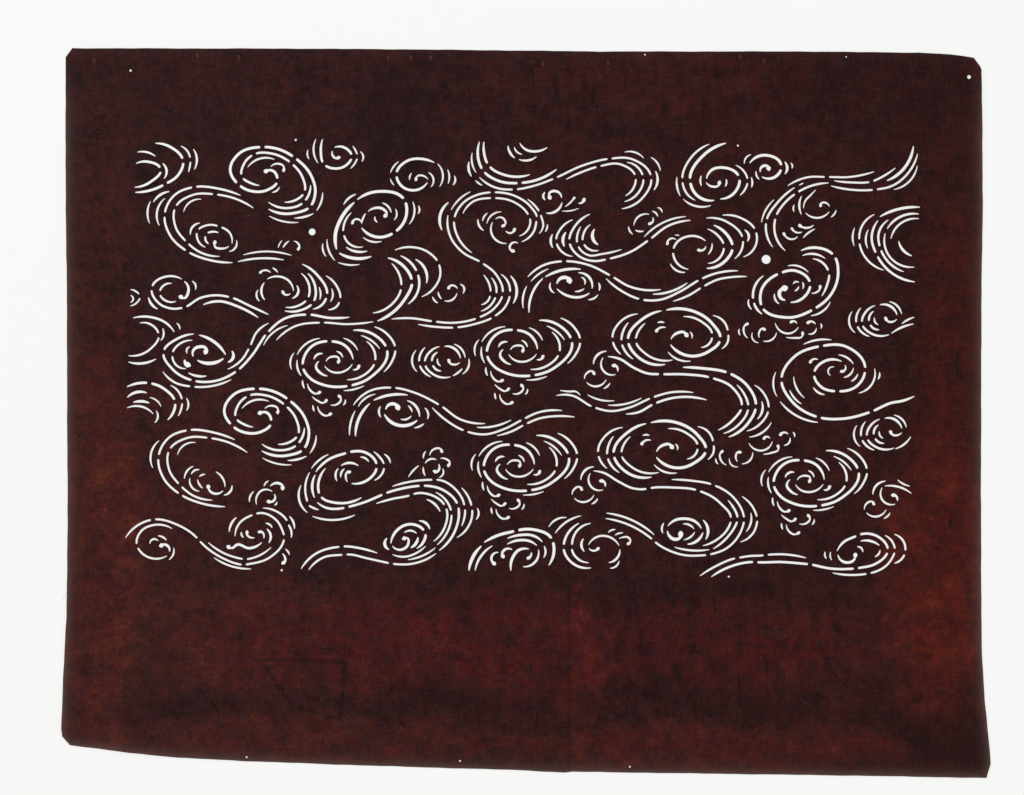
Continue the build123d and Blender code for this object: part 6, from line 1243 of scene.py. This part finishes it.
def body_mesh():
    """The closed mesh, with its two materials and the distance from the edge as an attribute."""
    back = len(plane)
    low = np.column_stack([plane, rise])
    high = np.column_stack([plane, rise + THICKNESS])
    quads = walls(paper, back)
    corners = np.concatenate([paper.ravel(), paper[:, ::-1].ravel() + back, quads.ravel()])
    sizes = np.concatenate([np.full(2 * len(paper), 3), np.full(len(quads), 4)])
    mesh = bpy.data.meshes.new("sheet")
    mesh.vertices.add(2 * back)
    mesh.vertices.foreach_set("co", (np.vstack([high, low]) * MM).ravel())
    mesh.loops.add(len(corners))
    mesh.loops.foreach_set("vertex_index", corners)
    mesh.polygons.add(len(sizes))
    mesh.polygons.foreach_set("loop_start", np.cumsum(sizes) - sizes)
    mesh.polygons.foreach_set("material_index", np.where(sizes == 4, CUT_EDGE, PAPER))
    mesh.polygons.foreach_set("use_smooth", np.ones(len(sizes), dtype=bool))
    mesh.update(calc_edges=True)
    mesh.validate()
    mesh.set_sharp_from_angle(angle=math.radians(SHARP_FROM))
    gap = mesh.attributes.new("edge_distance", "FLOAT", "POINT")
    gap.data.foreach_set("value", np.tile(edge_distance(plane), 2).astype(np.float32))
    return mesh


sheet = bpy.data.objects.new("dressed_sheet", body_mesh())
bpy.context.scene.collection.objects.link(sheet)
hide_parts("stencil_sheet")
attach(sheet, "root")
print(len(sheet.data.vertices), "vertices,", len(sheet.data.polygons), "faces")

# %% [markdown]
# A few short helpers keep the node trees readable. put() adds a node, and links or sets its inputs
# by name. sums() adds a Math node and vectors() one that works on points, shades() is a colour ramp,
# and colour() turns an everyday 0 to 255 colour into the linear numbers that shaders work with.

# %% Helpers for node trees
def colour(red, green, blue):
    """A screen colour as linear light, by the sRGB curve."""
    share = np.array([red, green, blue]) / 255
    linear = np.where(share <= 0.04045, share / 12.92, ((share + 0.055) / 1.055) ** 2.4)
    return (*linear.tolist(), 1.0)


def put(tree, kind, inputs=None, **settings):
    """A new node with its settings, and each named input linked to a socket or set to a value."""
    node = tree.nodes.new(kind)
    for name, value in settings.items():
        setattr(node, name, value)
    for name, value in (inputs or {}).items():
        if isinstance(value, bpy.types.NodeSocket):
            tree.links.new(value, node.inputs[name])
        else:
            node.inputs[name].default_value = value
    return node


def start_material(name):
    """A new material, its node tree and its shader."""
    material = bpy.data.materials.new(name)
    material.use_nodes = True
    return material, material.node_tree, material.node_tree.nodes["Principled BSDF"]


def sums(tree, operation, *values):
    """The result of one Math node."""
    return put(tree, "ShaderNodeMath", dict(enumerate(values)), operation=operation).outputs[0]


def vectors(tree, operation, **inputs):
    """The result of one Vector Math node with the inputs a, b and scale."""
    named = {{"a": 0, "b": 1, "scale": "Scale"}[name]: value for name, value in inputs.items()}
    return put(tree, "ShaderNodeVectorMath", named, operation=operation).outputs[0]


def ramp(tree, value, start, stop, low=0.0, high=1.0):
    """A smooth step: low where the value is before start, high where it is past stop."""
    inputs = {"Value": value, "From Min": start, "From Max": stop, "To Min": low, "To Max": high}
    return put(tree, "ShaderNodeMapRange", inputs, interpolation_type="SMOOTHSTEP").outputs[0]


def noise(tree, place, size, detail=3.0, roughness=0.5, output="Fac"):
    """Noise whose blotches are about the given size in millimetres."""
    inputs = {"Vector": place, "Scale": 1 / size, "Detail": detail, "Roughness": roughness}
    return put(tree, "ShaderNodeTexNoise", inputs).outputs[output]


def tint(tree, share, under, over, how="MIX"):
    """One colour over another, by a share from 0 to 1."""
    mix = put(tree, "ShaderNodeMix", data_type="RGBA", blend_type=how)
    for socket, value in zip((mix.inputs[0], mix.inputs[6], mix.inputs[7]), (share, under, over)):
        if isinstance(value, bpy.types.NodeSocket):
            tree.links.new(value, socket)
        else:
            socket.default_value = value
    return mix.outputs[2]


def shades(tree, value, stops):
    """A colour ramp through the given shares and colours."""
    node = put(tree, "ShaderNodeValToRGB", {0: value})
    elements = node.color_ramp.elements
    while len(elements) < len(stops):
        elements.new(1.0)
    for element, (share, shade) in zip(elements, stops):
        element.position = share
        element.color = shade
    return node.outputs[0]


# %% [markdown]
# Mulberry fibres are long, and the sheets were laminated with their grain crossed, so the tannin
# settles in short dark and light streaks that run both ways. Both materials of the sheet use this,
# so it is a group: two noises, one drawn out along X and one along Y, and a finer speckle.

# %% The crossed fibres
def start_group(name, numbers, outputs):
    """An empty shader group with a Vector input, number inputs and value outputs."""
    group = bpy.data.node_groups.new(name, "ShaderNodeTree")
    group.interface.new_socket("Place", in_out="INPUT", socket_type="NodeSocketVector")
    for label, value in numbers.items():
        socket = group.interface.new_socket(label, in_out="INPUT", socket_type="NodeSocketFloat")
        socket.default_value = value
    for label in outputs:
        group.interface.new_socket(label, in_out="OUTPUT", socket_type="NodeSocketFloat")
    return group, group.nodes.new("NodeGroupInput"), group.nodes.new("NodeGroupOutput")


def crossed_fibres():
    """Streaks along X and along Y, their finer speckle, and both together, from 0 to 1."""
    numbers = {"Length": 9.0, "Width": 0.7}
    group, given, result = start_group("crossed_fibres", numbers, ("Fibres", "Speckle"))
    long_way = sums(group, "DIVIDE", 1.0, given.outputs["Length"])
    short_way = sums(group, "DIVIDE", 1.0, given.outputs["Width"])
    streaks = []
    for along_x, along_y in ((long_way, short_way), (short_way, long_way)):
        per_axis = {"X": along_x, "Y": along_y, "Z": short_way}
        scale = put(group, "ShaderNodeCombineXYZ", per_axis).outputs[0]
        place = vectors(group, "MULTIPLY", a=given.outputs["Place"], b=scale)
        streaks.append(noise(group, place, 1.0, 3.0, 0.6))
    both = sums(group, "ADD", *streaks)
    group.links.new(sums(group, "MULTIPLY", both, 0.5), result.inputs["Fibres"])
    group.links.new(noise(group, given.outputs["Place"], 0.9, 2.0, 0.6), result.inputs["Speckle"])
    return group


FIBRES = crossed_fibres()


def place_in_mm(tree):
    """The point on the object, in millimetres."""
    here = put(tree, "ShaderNodeTexCoord").outputs["Object"]
    return vectors(tree, "SCALE", a=here, scale=1 / MM)


def fibres(tree, place, length, width):
    """The crossed fibres and their speckle at this scale."""
    node = put(tree, "ShaderNodeGroup", node_tree=FIBRES)
    node.inputs["Length"].default_value = length
    node.inputs["Width"].default_value = width
    tree.links.new(place, node.inputs["Place"])
    return node.outputs["Fibres"], node.outputs["Speckle"]


# %% [markdown]
# What the smoke, the paste and the years did differs from place to place, and so does the painted glow
# of light through the paper. A place is a soft box or a soft ellipse. Where two of them lie over each
# other, highest() takes the stronger one.

# %% Soft places
def soft_box(tree, x, y, left, right, bottom, top, soft):
    """1 inside the box, falling smoothly to 0 over the soft distance outside it."""
    inside = ramp(tree, x, left - soft, left)
    for value, start, low, high in [
        (x, right, 1.0, 0.0), (y, bottom - soft, 0.0, 1.0), (y, top, 1.0, 0.0)
    ]:
        inside = sums(tree, "MULTIPLY", inside, ramp(tree, value, start, start + soft, low, high))
    return inside


def soft_spot(tree, x, y, middle_x, middle_y, wide, high, inner=0.2):
    """1 in the middle of an ellipse, falling smoothly to 0 at its border."""
    across = sums(tree, "DIVIDE", sums(tree, "SUBTRACT", x, middle_x), wide)
    up = sums(tree, "DIVIDE", sums(tree, "SUBTRACT", y, middle_y), high)
    squares = sums(tree, "ADD", sums(tree, "MULTIPLY", across, across), sums(tree, "MULTIPLY", up, up))
    return ramp(tree, squares, inner, 1.0, 1.0, 0.0)


def highest(tree, values):
    """The highest of several values."""
    top = values[0]
    for value in values[1:]:
        top = sums(tree, "MAXIMUM", top, value)
    return top

# %% [markdown]
# The colours of tanned paper lie along one line, from smoky black-brown through brown and red to
# orange, where the paper is thin and the tannin clear. The red and orange end is partly painted glow:
# light shining through the thin paper from behind, put into its colour. So one number, the warmth, is
# worked out for each point, and one colour ramp turns it into paper. Three casts over it keep two
# equally warm spots from being the same colour. One goes from browner at the left to redder at the
# right, one belongs to the plain bands, and one turns small blotches towards purple or orange.

# %% Colours of the paper, with painted glow
# The red and orange end of this ramp is painted glow of light through the paper from behind, over the
# tannin's own brown.
TANNIN_AND_GLOW = [
    (0.00, colour(31, 8, 12)), (0.10, colour(39, 12, 15)), (0.20, colour(48, 17, 18)),
    (0.35, colour(60, 21, 21)), (0.52, colour(73, 25, 23)), (0.70, colour(87, 33, 27)),
    (1.00, colour(112, 47, 34)),
]
RIM = colour(101, 81, 75)
LEFT_CAST = (1.0, 1.18, 1.08, 1.0)
RIGHT_CAST = (1.0, 0.74, 0.62, 1.0)
PURPLE_TURN = (1.0, 0.90, 1.16, 1.0)
ORANGE_TURN = (1.0, 1.11, 0.83, 1.0)
PLACE_CASTS = [
    ((5, -104, 175, 32), (1.0, 0.70, 0.86, 1.0)),
    ((192, -30, 34, 165), (1.0, 0.77, 0.57, 1.0)),
    ((-196, 0, 28, 165), (1.0, 0.91, 0.81, 1.0)),
    ((0, 152, 215, 26), (1.0, 0.885, 0.97, 1.0)),
]
PALE_FIBRE = colour(150, 125, 112)
SPECK = colour(150, 84, 52)
CORE = colour(80, 50, 42)
DARK_CORE = colour(55, 26, 24)

# %% [markdown]
# The warmth starts even. The field between the slits is almost black-brown, and the plain bands round
# it are redder, by their tannin and by painted glow of light through them from behind: each entry
# below is an ellipse, given by its middle, its half width and its half height in millimetres, and
# what it adds to the warmth or takes from it. A slow noise pushes every border about, so that no
# ellipse shows as a shape. A push is the size of that noise's blotches and how far it may move a
# border.

# %% Where the paper is warmer or darker, painted glow included
EVEN = 0.175
FAR_PUSH = (34.0, 15.0)
NEAR_PUSH = (9.0, 5.0)
CLOSE_PUSH = (6.0, 1.6)
PLACES = {
    "left margin": [(-196, -72, 30, 118, 0.23), (-196, 70, 24, 80, 0.09)],
    "field, browner towards the lower left": [(-150, -35, 50, 66, 0.13)],
    "plain band below the field": [
        (-112, -102, 92, 34, 0.22), (-5, -104, 60, 30, 0.19), (98, -104, 80, 26, 0.17),
        (-105, -148, 120, 18, 0.18), (78, -151, 105, 16, 0.20), (26, -120, 9, 60, 0.14),
    ],
    # The thin right margin lets the most light through from behind, so its red is partly painted glow.
    "right margin, the thinnest and reddest": [
        (186, -70, 36, 84, 0.27), (191, -102, 24, 32, 0.09), (196, 42, 24, 66, 0.11),
    ],
    "band above the field": [
        (56, 152, 75, 18, 0.07), (-57, 123, 20, 46, -0.11), (159, 145, 52, 26, -0.06),
    ],
    "dark places": [
        (190, -144, 27, 16, -0.13), (78, -77, 50, 10, -0.08), (-43, -130, 60, 8, -0.05),
        (-142, -129, 36, 8, -0.07), (92, -126, 50, 14, -0.03), (-168, 103, 5, 5, -0.20),
    ],
}


def pushed_about(tree, place, size, reach):
    """The place, moved by up to the given reach by a noise of the given size."""
    drift = noise(tree, place, size, 4.0, 0.6, "Color")
    centred = vectors(tree, "SUBTRACT", a=drift, b=(0.5, 0.5, 0.5))
    moved = vectors(tree, "ADD", a=place, b=vectors(tree, "SCALE", a=centred, scale=2 * reach))
    parts = put(tree, "ShaderNodeSeparateXYZ", {0: moved})
    return parts.outputs["X"], parts.outputs["Y"]


# %% [markdown]
# Several things darken the paper in marks of their own. Old ink inside it shows as smudges that say
# nothing. Creases wander and break off. A mended patch shows its straight edges through the sheet,
# and a seam runs down it where two papers overlap.

# %% Dark marks
INK_NOISE = (5.5, 2.0, 0.45)
INK_STRETCH = (1.0, 0.55, 1.0)
CREASE_NOISE = (60.0, 4.0, 0.55)
CREASE_BREAKS = (17.0, 2.0)
SEAM_WOBBLE = (12.0, 2.0)
SEAM_AT = 19.8
PATCH = [(-118, -113), (-106, -131), (-84, -138), (-81, -112), (-122, -111)]
INK_STRIPS = [
    (-193, -179, 20, 120, 5), (118, 150, -112, -84, 8), (-100, 100, 128, 152, 10),
    (170, 192, 20, 112, 8), (40, 110, -136, -84, 10),
]


def ink_smudges(tree, place, x, y):
    """Short dark smudges, longer down the sheet than across it, in a few upright strips."""
    stretched = vectors(tree, "MULTIPLY", a=place, b=INK_STRETCH)
    marks = ramp(tree, noise(tree, stretched, *INK_NOISE), 0.58, 0.70)
    strips = [soft_box(tree, x, y, *strip) for strip in INK_STRIPS]
    return sums(tree, "MULTIPLY", marks, highest(tree, strips))


def creases(tree, place):
    """Thin dark lines that wander and break off: where a slow noise passes its middle value."""
    slow = noise(tree, place, *CREASE_NOISE)
    middle = sums(tree, "ABSOLUTE", sums(tree, "SUBTRACT", slow, 0.5))
    here = ramp(tree, noise(tree, place, *CREASE_BREAKS), 0.50, 0.60)
    return sums(tree, "MULTIPLY", ramp(tree, middle, 0.001, 0.007, 1.0, 0.0), here)


def patch_outline(tree, x, y):
    """The edge of a mended patch, as a soft thin line along each of its straight sides."""
    sides = []
    for (ax, ay), (bx, by) in zip(PATCH[:-1], PATCH[1:]):
        length = math.hypot(bx - ax, by - ay)
        east, north = (bx - ax) / length, (by - ay) / length
        from_x, from_y = sums(tree, "SUBTRACT", x, ax), sums(tree, "SUBTRACT", y, ay)
        along = sums(tree, "MULTIPLY_ADD", from_x, east, sums(tree, "MULTIPLY", from_y, north))
        off = sums(tree, "MULTIPLY_ADD", from_x, north, sums(tree, "MULTIPLY", from_y, -east))
        line = ramp(tree, sums(tree, "ABSOLUTE", off), 0.3, 1.4, 1.0, 0.0)
        within = soft_box(tree, along, 0.0, 0.0, length, 0.0, 0.0, 1.5)
        sides.append(sums(tree, "MULTIPLY", line, within))
    return highest(tree, sides)


def seam(tree, place, x, y):
    """A dark line where two sheets of paper overlap: strong in the lower band, faint above it."""
    wobble = noise(tree, place, *SEAM_WOBBLE)
    off = sums(tree, "ABSOLUTE", sums(tree, "ADD", sums(tree, "SUBTRACT", x, SEAM_AT), wobble))
    line = ramp(tree, off, 0.35, 1.3, 1.0, 0.0)
    return sums(tree, "MULTIPLY", line, ramp(tree, y, -84, -60, 1.0, 0.3))


# %% [markdown]
# All of it comes together in the warmth, painted glow included. Clouds, a coarse weave, a fine grain
# and small patches spread it, more where the paper is warm, and warm places also get bright flecks,
# which are painted glow through thin spots. The marks darken it last.
# Each noise below is the size of its blotches in millimetres, its detail and its roughness, and a
# streak is the length and the width of its fibres.

# %% The warmth, with its painted glow
CLOUD_NOISE = (22.0, 5.0, 0.92)
GRAIN_NOISE = (1.5, 2.0, 0.9)
PATCH_NOISE = (6.5, 3.0, 0.7)
FLECK_NOISE = (2.8, 3.0, 0.8)
WEAVE_STREAK = (26.0, 7.0)
CLOUDS = 0.72
WEAVE = 0.36
PATCHES = 0.11
GRAIN = 0.36
# Bright flecks in warm places: painted glow through thin spots of the paper.
FLECKS = 0.22
INK = -0.19
CREASE = -0.20
PATCH_EDGE = -0.20
SEAM = -0.14
LEAST_SPREAD = 0.55
SPREAD_BY_WARMTH = 2.2


def warmth_and_glow(tree, place, x, y, far_x, far_y):
    """How warm the paper is at each point, about 0 to 1, painted glow from behind included."""
    near_x, near_y = pushed_about(tree, place, *NEAR_PUSH)
    level = EVEN
    for places in PLACES.values():
        for *at, amount in places:
            spot = soft_spot(tree, far_x, far_y, *at)
            level = sums(tree, "MULTIPLY_ADD", spot, amount, level)
    weave, _ = fibres(tree, place, *WEAVE_STREAK)
    patches = ramp(tree, noise(tree, place, *PATCH_NOISE), 0.41, 0.59)
    spread = 0.0
    for mottling, amount in (
        (noise(tree, place, *CLOUD_NOISE), CLOUDS), (weave, WEAVE),
        (noise(tree, place, *GRAIN_NOISE), GRAIN), (patches, PATCHES),
    ):
        spread = sums(tree, "MULTIPLY_ADD", sums(tree, "SUBTRACT", mottling, 0.5), amount, spread)
    # Painted glow: bright flecks where thin spots let light through from behind.
    flecks = ramp(tree, noise(tree, place, *FLECK_NOISE), 0.58, 0.70)
    flecks = sums(tree, "MULTIPLY", flecks, ramp(tree, level, 0.22, 0.5, 0.0, FLECKS))
    amount = sums(tree, "MULTIPLY_ADD", level, SPREAD_BY_WARMTH, LEAST_SPREAD)
    level = sums(tree, "ADD", sums(tree, "MULTIPLY_ADD", spread, amount, level), flecks)
    close_x, close_y = pushed_about(tree, place, *CLOSE_PUSH)
    for mark, amount in (
        (ink_smudges(tree, place, near_x, near_y), INK), (creases(tree, place), CREASE),
        (patch_outline(tree, close_x, close_y), PATCH_EDGE), (seam(tree, place, x, y), SEAM),
    ):
        level = sums(tree, "MULTIPLY_ADD", mark, amount, level)
    return level


# %% [markdown]
# Over the ramp's colour come the crossed fibres at two scales, a few pale fibres, orange specks near
# the top edge, and a rim that handling has greyed. The same streaks make the surface slightly rough
# and uneven, and the tannin leaves it a faint gloss.

# %% The tanned paper
DRIFT_NOISE = (8.0, 4.0, 0.7)
TURN_NOISE = (4.5, 3.0, 0.75)
STREAK = (6.0, 0.75)
FINE_STREAK = (5.0, 0.35)
HUE_DRIFT = 1500.0
RIM_FADE = 0.60
SPECK_SIZE = (0.8, 1.5)
SPECK_SHARE = 0.20
GLOSS = 0.1
TOP_SPECKS = [
    (-62.1, 159.8), (-51.8, 159.8), (-42.8, 159.8), (7.7, 157.0), (36.9, 157.5), (107.0, 158.4),
    (96.3, 160.2), (-194.4, 158.4), (-129.2, 159.8), (-148.0, 160.9),
]


def tanned_paper():
    """The face and the back of the sheet."""
    material, tree, shader = start_material("tanned_paper")
    place = place_in_mm(tree)
    parts = put(tree, "ShaderNodeSeparateXYZ", {0: place})
    x, y = parts.outputs["X"], parts.outputs["Y"]
    far_x, far_y = pushed_about(tree, place, *FAR_PUSH)
    # The ramp paints the tannin's colour together with the glow of light through the paper from behind.
    base = shades(tree, warmth_and_glow(tree, place, x, y, far_x, far_y), TANNIN_AND_GLOW)
    drift = sums(tree, "SUBTRACT", noise(tree, place, *DRIFT_NOISE), 0.5)
    along = sums(tree, "MULTIPLY_ADD", drift, HUE_DRIFT, x)
    cast = tint(tree, ramp(tree, along, LEFT, RIGHT), LEFT_CAST, RIGHT_CAST)
    base = tint(tree, 1.0, base, cast, "MULTIPLY")
    for at, place_cast in PLACE_CASTS:
        base = tint(tree, soft_spot(tree, far_x, far_y, *at), base, place_cast, "MULTIPLY")
    turn = ramp(tree, noise(tree, place, *TURN_NOISE), 0.36, 0.64)
    base = tint(tree, 1.0, base, tint(tree, turn, PURPLE_TURN, ORANGE_TURN), "MULTIPLY")

    streaks, speckle = fibres(tree, place, *STREAK)
    base = tint(tree, 1.0, base, ramp(tree, streaks, 0.30, 0.70, 0.89, 1.12), "MULTIPLY")
    base = tint(tree, 1.0, base, ramp(tree, speckle, 0.25, 0.75, 0.84, 1.18), "MULTIPLY")
    fine_streaks, _ = fibres(tree, place, *FINE_STREAK)
    base = tint(tree, ramp(tree, fine_streaks, 0.48, 0.66, 0.0, 0.05), base, PALE_FIBRE)
    specks = [soft_spot(tree, x, y, *at, *SPECK_SIZE) for at in TOP_SPECKS]
    base = tint(tree, sums(tree, "MULTIPLY", highest(tree, specks), SPECK_SHARE), base, SPECK)
    distance = put(tree, "ShaderNodeAttribute", attribute_name="edge_distance").outputs["Fac"]
    greyed = sums(tree, "POWER", RIM_FADE, distance)
    greyed = sums(tree, "MULTIPLY", greyed, ramp(tree, y, 120, TOP, 0.66, 0.08))
    base = tint(tree, greyed, base, RIM)
    tree.links.new(base, shader.inputs["Base Color"])

    rough = ramp(tree, streaks, 0.35, 0.65, 0.50, 0.68)
    tree.links.new(rough, shader.inputs["Roughness"])
    shader.inputs["Specular IOR Level"].default_value = GLOSS
    grain = sums(tree, "MULTIPLY_ADD", speckle, 0.35, streaks)
    bump = put(tree, "ShaderNodeBump", {"Height": grain, "Strength": 0.5, "Distance": 0.0002})
    tree.links.new(bump.outputs["Normal"], shader.inputs["Normal"])
    return material


# %% [markdown]
# A cut edge shows the core of the paper, lighter and drier than the smoked faces.

# %% The cut edge
EDGE_STREAK = (3.0, 0.2)
EDGE_GLOSS = 0.15


def cut_edge():
    """The wall of every slit and the trimmed edge."""
    material, tree, shader = start_material("cut_edge")
    streaks, speckle = fibres(tree, place_in_mm(tree), *EDGE_STREAK)
    base = tint(tree, ramp(tree, streaks, 0.3, 0.7), DARK_CORE, CORE)
    tree.links.new(base, shader.inputs["Base Color"])
    tree.links.new(ramp(tree, speckle, 0.3, 0.7, 0.75, 0.95), shader.inputs["Roughness"])
    shader.inputs["Specular IOR Level"].default_value = EDGE_GLOSS
    return material


sheet.data.materials.append(tanned_paper())
sheet.data.materials.append(cut_edge())

# %% [markdown]
# One long fibre has worked loose at the left edge. It is a thin tube along a curve, a few millimetres
# long, which starts inside the paper and thins towards its tip. A tube is a circle carried along the
# curve: each ring lies square to the curve's direction there.

# %% The loose fibre
FIBRE_POINTS = [(-205.2, -79.6, 0.5), (-206.2, -80.6, 0.6), (-207.6, -81.6, 0.8), (-208.6, -83.6, 1.0)]
FIBRE_RADIUS = 0.07
TIP_THINNING = 0.6
FIBRE_RINGS = 24
FIBRE_SIDES = 6


def loose_fibre():
    """A cubic Bezier curve through its four handles, with a ring of points at each step."""
    t = np.linspace(0, 1, FIBRE_RINGS)[:, None]
    a, b, c, d = (np.array(p) for p in FIBRE_POINTS)
    middle = a * (1 - t) ** 3 + 3 * b * t * (1 - t) ** 2 + 3 * c * t ** 2 * (1 - t) + d * t ** 3
    ahead = np.gradient(middle, axis=0)
    ahead /= np.linalg.norm(ahead, axis=1, keepdims=True)
    side = np.cross(ahead, (0, 0, 1.0))
    side /= np.linalg.norm(side, axis=1, keepdims=True)
    up = np.cross(side, ahead)
    turn = np.linspace(0, 2 * np.pi, FIBRE_SIDES, endpoint=False)[None, :, None]
    radius = FIBRE_RADIUS * (1 - TIP_THINNING * t)[:, None]
    rings = middle[:, None] + radius * (np.cos(turn) * side[:, None] + np.sin(turn) * up[:, None])
    index = np.arange(FIBRE_RINGS * FIBRE_SIDES).reshape(FIBRE_RINGS, FIBRE_SIDES)
    turned_index = np.roll(index, -1, axis=1)
    corners = [index[:-1], index[1:], turned_index[1:], turned_index[:-1]]
    quads = np.stack(corners, axis=-1).reshape(-1, 4)
    caps = [index[0].tolist(), index[-1][::-1].tolist()]
    mesh = bpy.data.meshes.new("loose_fibre")
    mesh.from_pydata((rings.reshape(-1, 3) * MM).tolist(), [], quads.tolist() + caps)
    mesh.validate()
    return mesh


fibre = bpy.data.objects.new("loose_fibre", loose_fibre())
bpy.context.scene.collection.objects.link(fibre)
fibre.data.materials.append(bpy.data.materials["cut_edge"])
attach(fibre, "root")

# %% [markdown]
# The table is plain and pale. To the camera it is nearly white by its own light, and it keeps a
# small share of real lighting, so that the sheet still casts its soft shadow on it.

# %% The table
GLOW = 0.80
OWN_LIGHT = (1.0, 1.0, 0.985, 1)
TABLE_GREY = (0.16, 0.165, 0.157, 1)


def table_material():
    """A pale matt surface whose own light only the camera, gloss and glass see."""
    material, tree, shader = start_material("pale_table")
    shader.inputs["Base Color"].default_value = TABLE_GREY
    shader.inputs["Roughness"].default_value = 0.9
    shader.inputs["Specular IOR Level"].default_value = 0.0
    ray = put(tree, "ShaderNodeLightPath")
    seen = sums(tree, "MAXIMUM", ray.outputs["Is Camera Ray"], ray.outputs["Is Glossy Ray"])
    seen = sums(tree, "MAXIMUM", seen, ray.outputs["Is Transmission Ray"])
    shader.inputs["Emission Color"].default_value = OWN_LIGHT
    tree.links.new(sums(tree, "MULTIPLY", seen, GLOW), shader.inputs["Emission Strength"])
    return material


TABLE_SIDE = 6.0
JUST_BELOW = -0.0001
bpy.ops.mesh.primitive_plane_add(size=TABLE_SIDE, location=(0, 0, JUST_BELOW))
table = bpy.context.object
table.name = "table_top"
table.data.materials.append(table_material())

# %% [markdown]
# The photograph was taken from far off, square to the sheet, so the camera looks straight down from
# high above with a long lens. Its frame is set by how many millimetres one pixel covers.

# %% The camera
FRAME_WIDE = 1024
MM_PER_PIXEL = 0.45
MIDDLE = (-6.3, 7.0)
CAMERA_HEIGHT = 1.8
SENSOR = 36.0
camera = bpy.data.objects.new("camera", bpy.data.cameras.new("camera"))
camera.data.sensor_width = SENSOR
camera.data.lens = SENSOR * CAMERA_HEIGHT / (FRAME_WIDE * MM_PER_PIXEL * MM)
camera.location = (MIDDLE[0] * MM, MIDDLE[1] * MM, CAMERA_HEIGHT)
camera.data.clip_start, camera.data.clip_end = 0.05, 20
bpy.context.scene.collection.objects.link(camera)
bpy.context.scene.camera = camera

# %% [markdown]
# A wide soft lamp to the upper left and a weaker one to the right light the sheet evenly. The world
# fills the rest, so that a colour renders about as it is written.

# %% The lamps
LAMPS = [("key", (-0.9, 0.9, 1.3), 1.3, 13.0), ("fill", (1.2, -0.5, 1.1), 1.2, 6.0)]
for name, at, size, power in LAMPS:
    lamp = bpy.data.lights.new(name, "AREA")
    lamp.size, lamp.energy = size, power
    holder = bpy.data.objects.new(name, lamp)
    holder.location = at
    holder.rotation_euler = (-Vector(at)).to_track_quat("-Z", "Y").to_euler()
    bpy.context.scene.collection.objects.link(holder)

world = bpy.data.worlds.new("soft_room")
world.use_nodes = True
world.node_tree.nodes["Background"].inputs["Color"].default_value = (1, 1, 1, 1)
world.node_tree.nodes["Background"].inputs["Strength"].default_value = 0.5
bpy.context.scene.world = world
bpy.context.scene.view_settings.view_transform = "Standard"
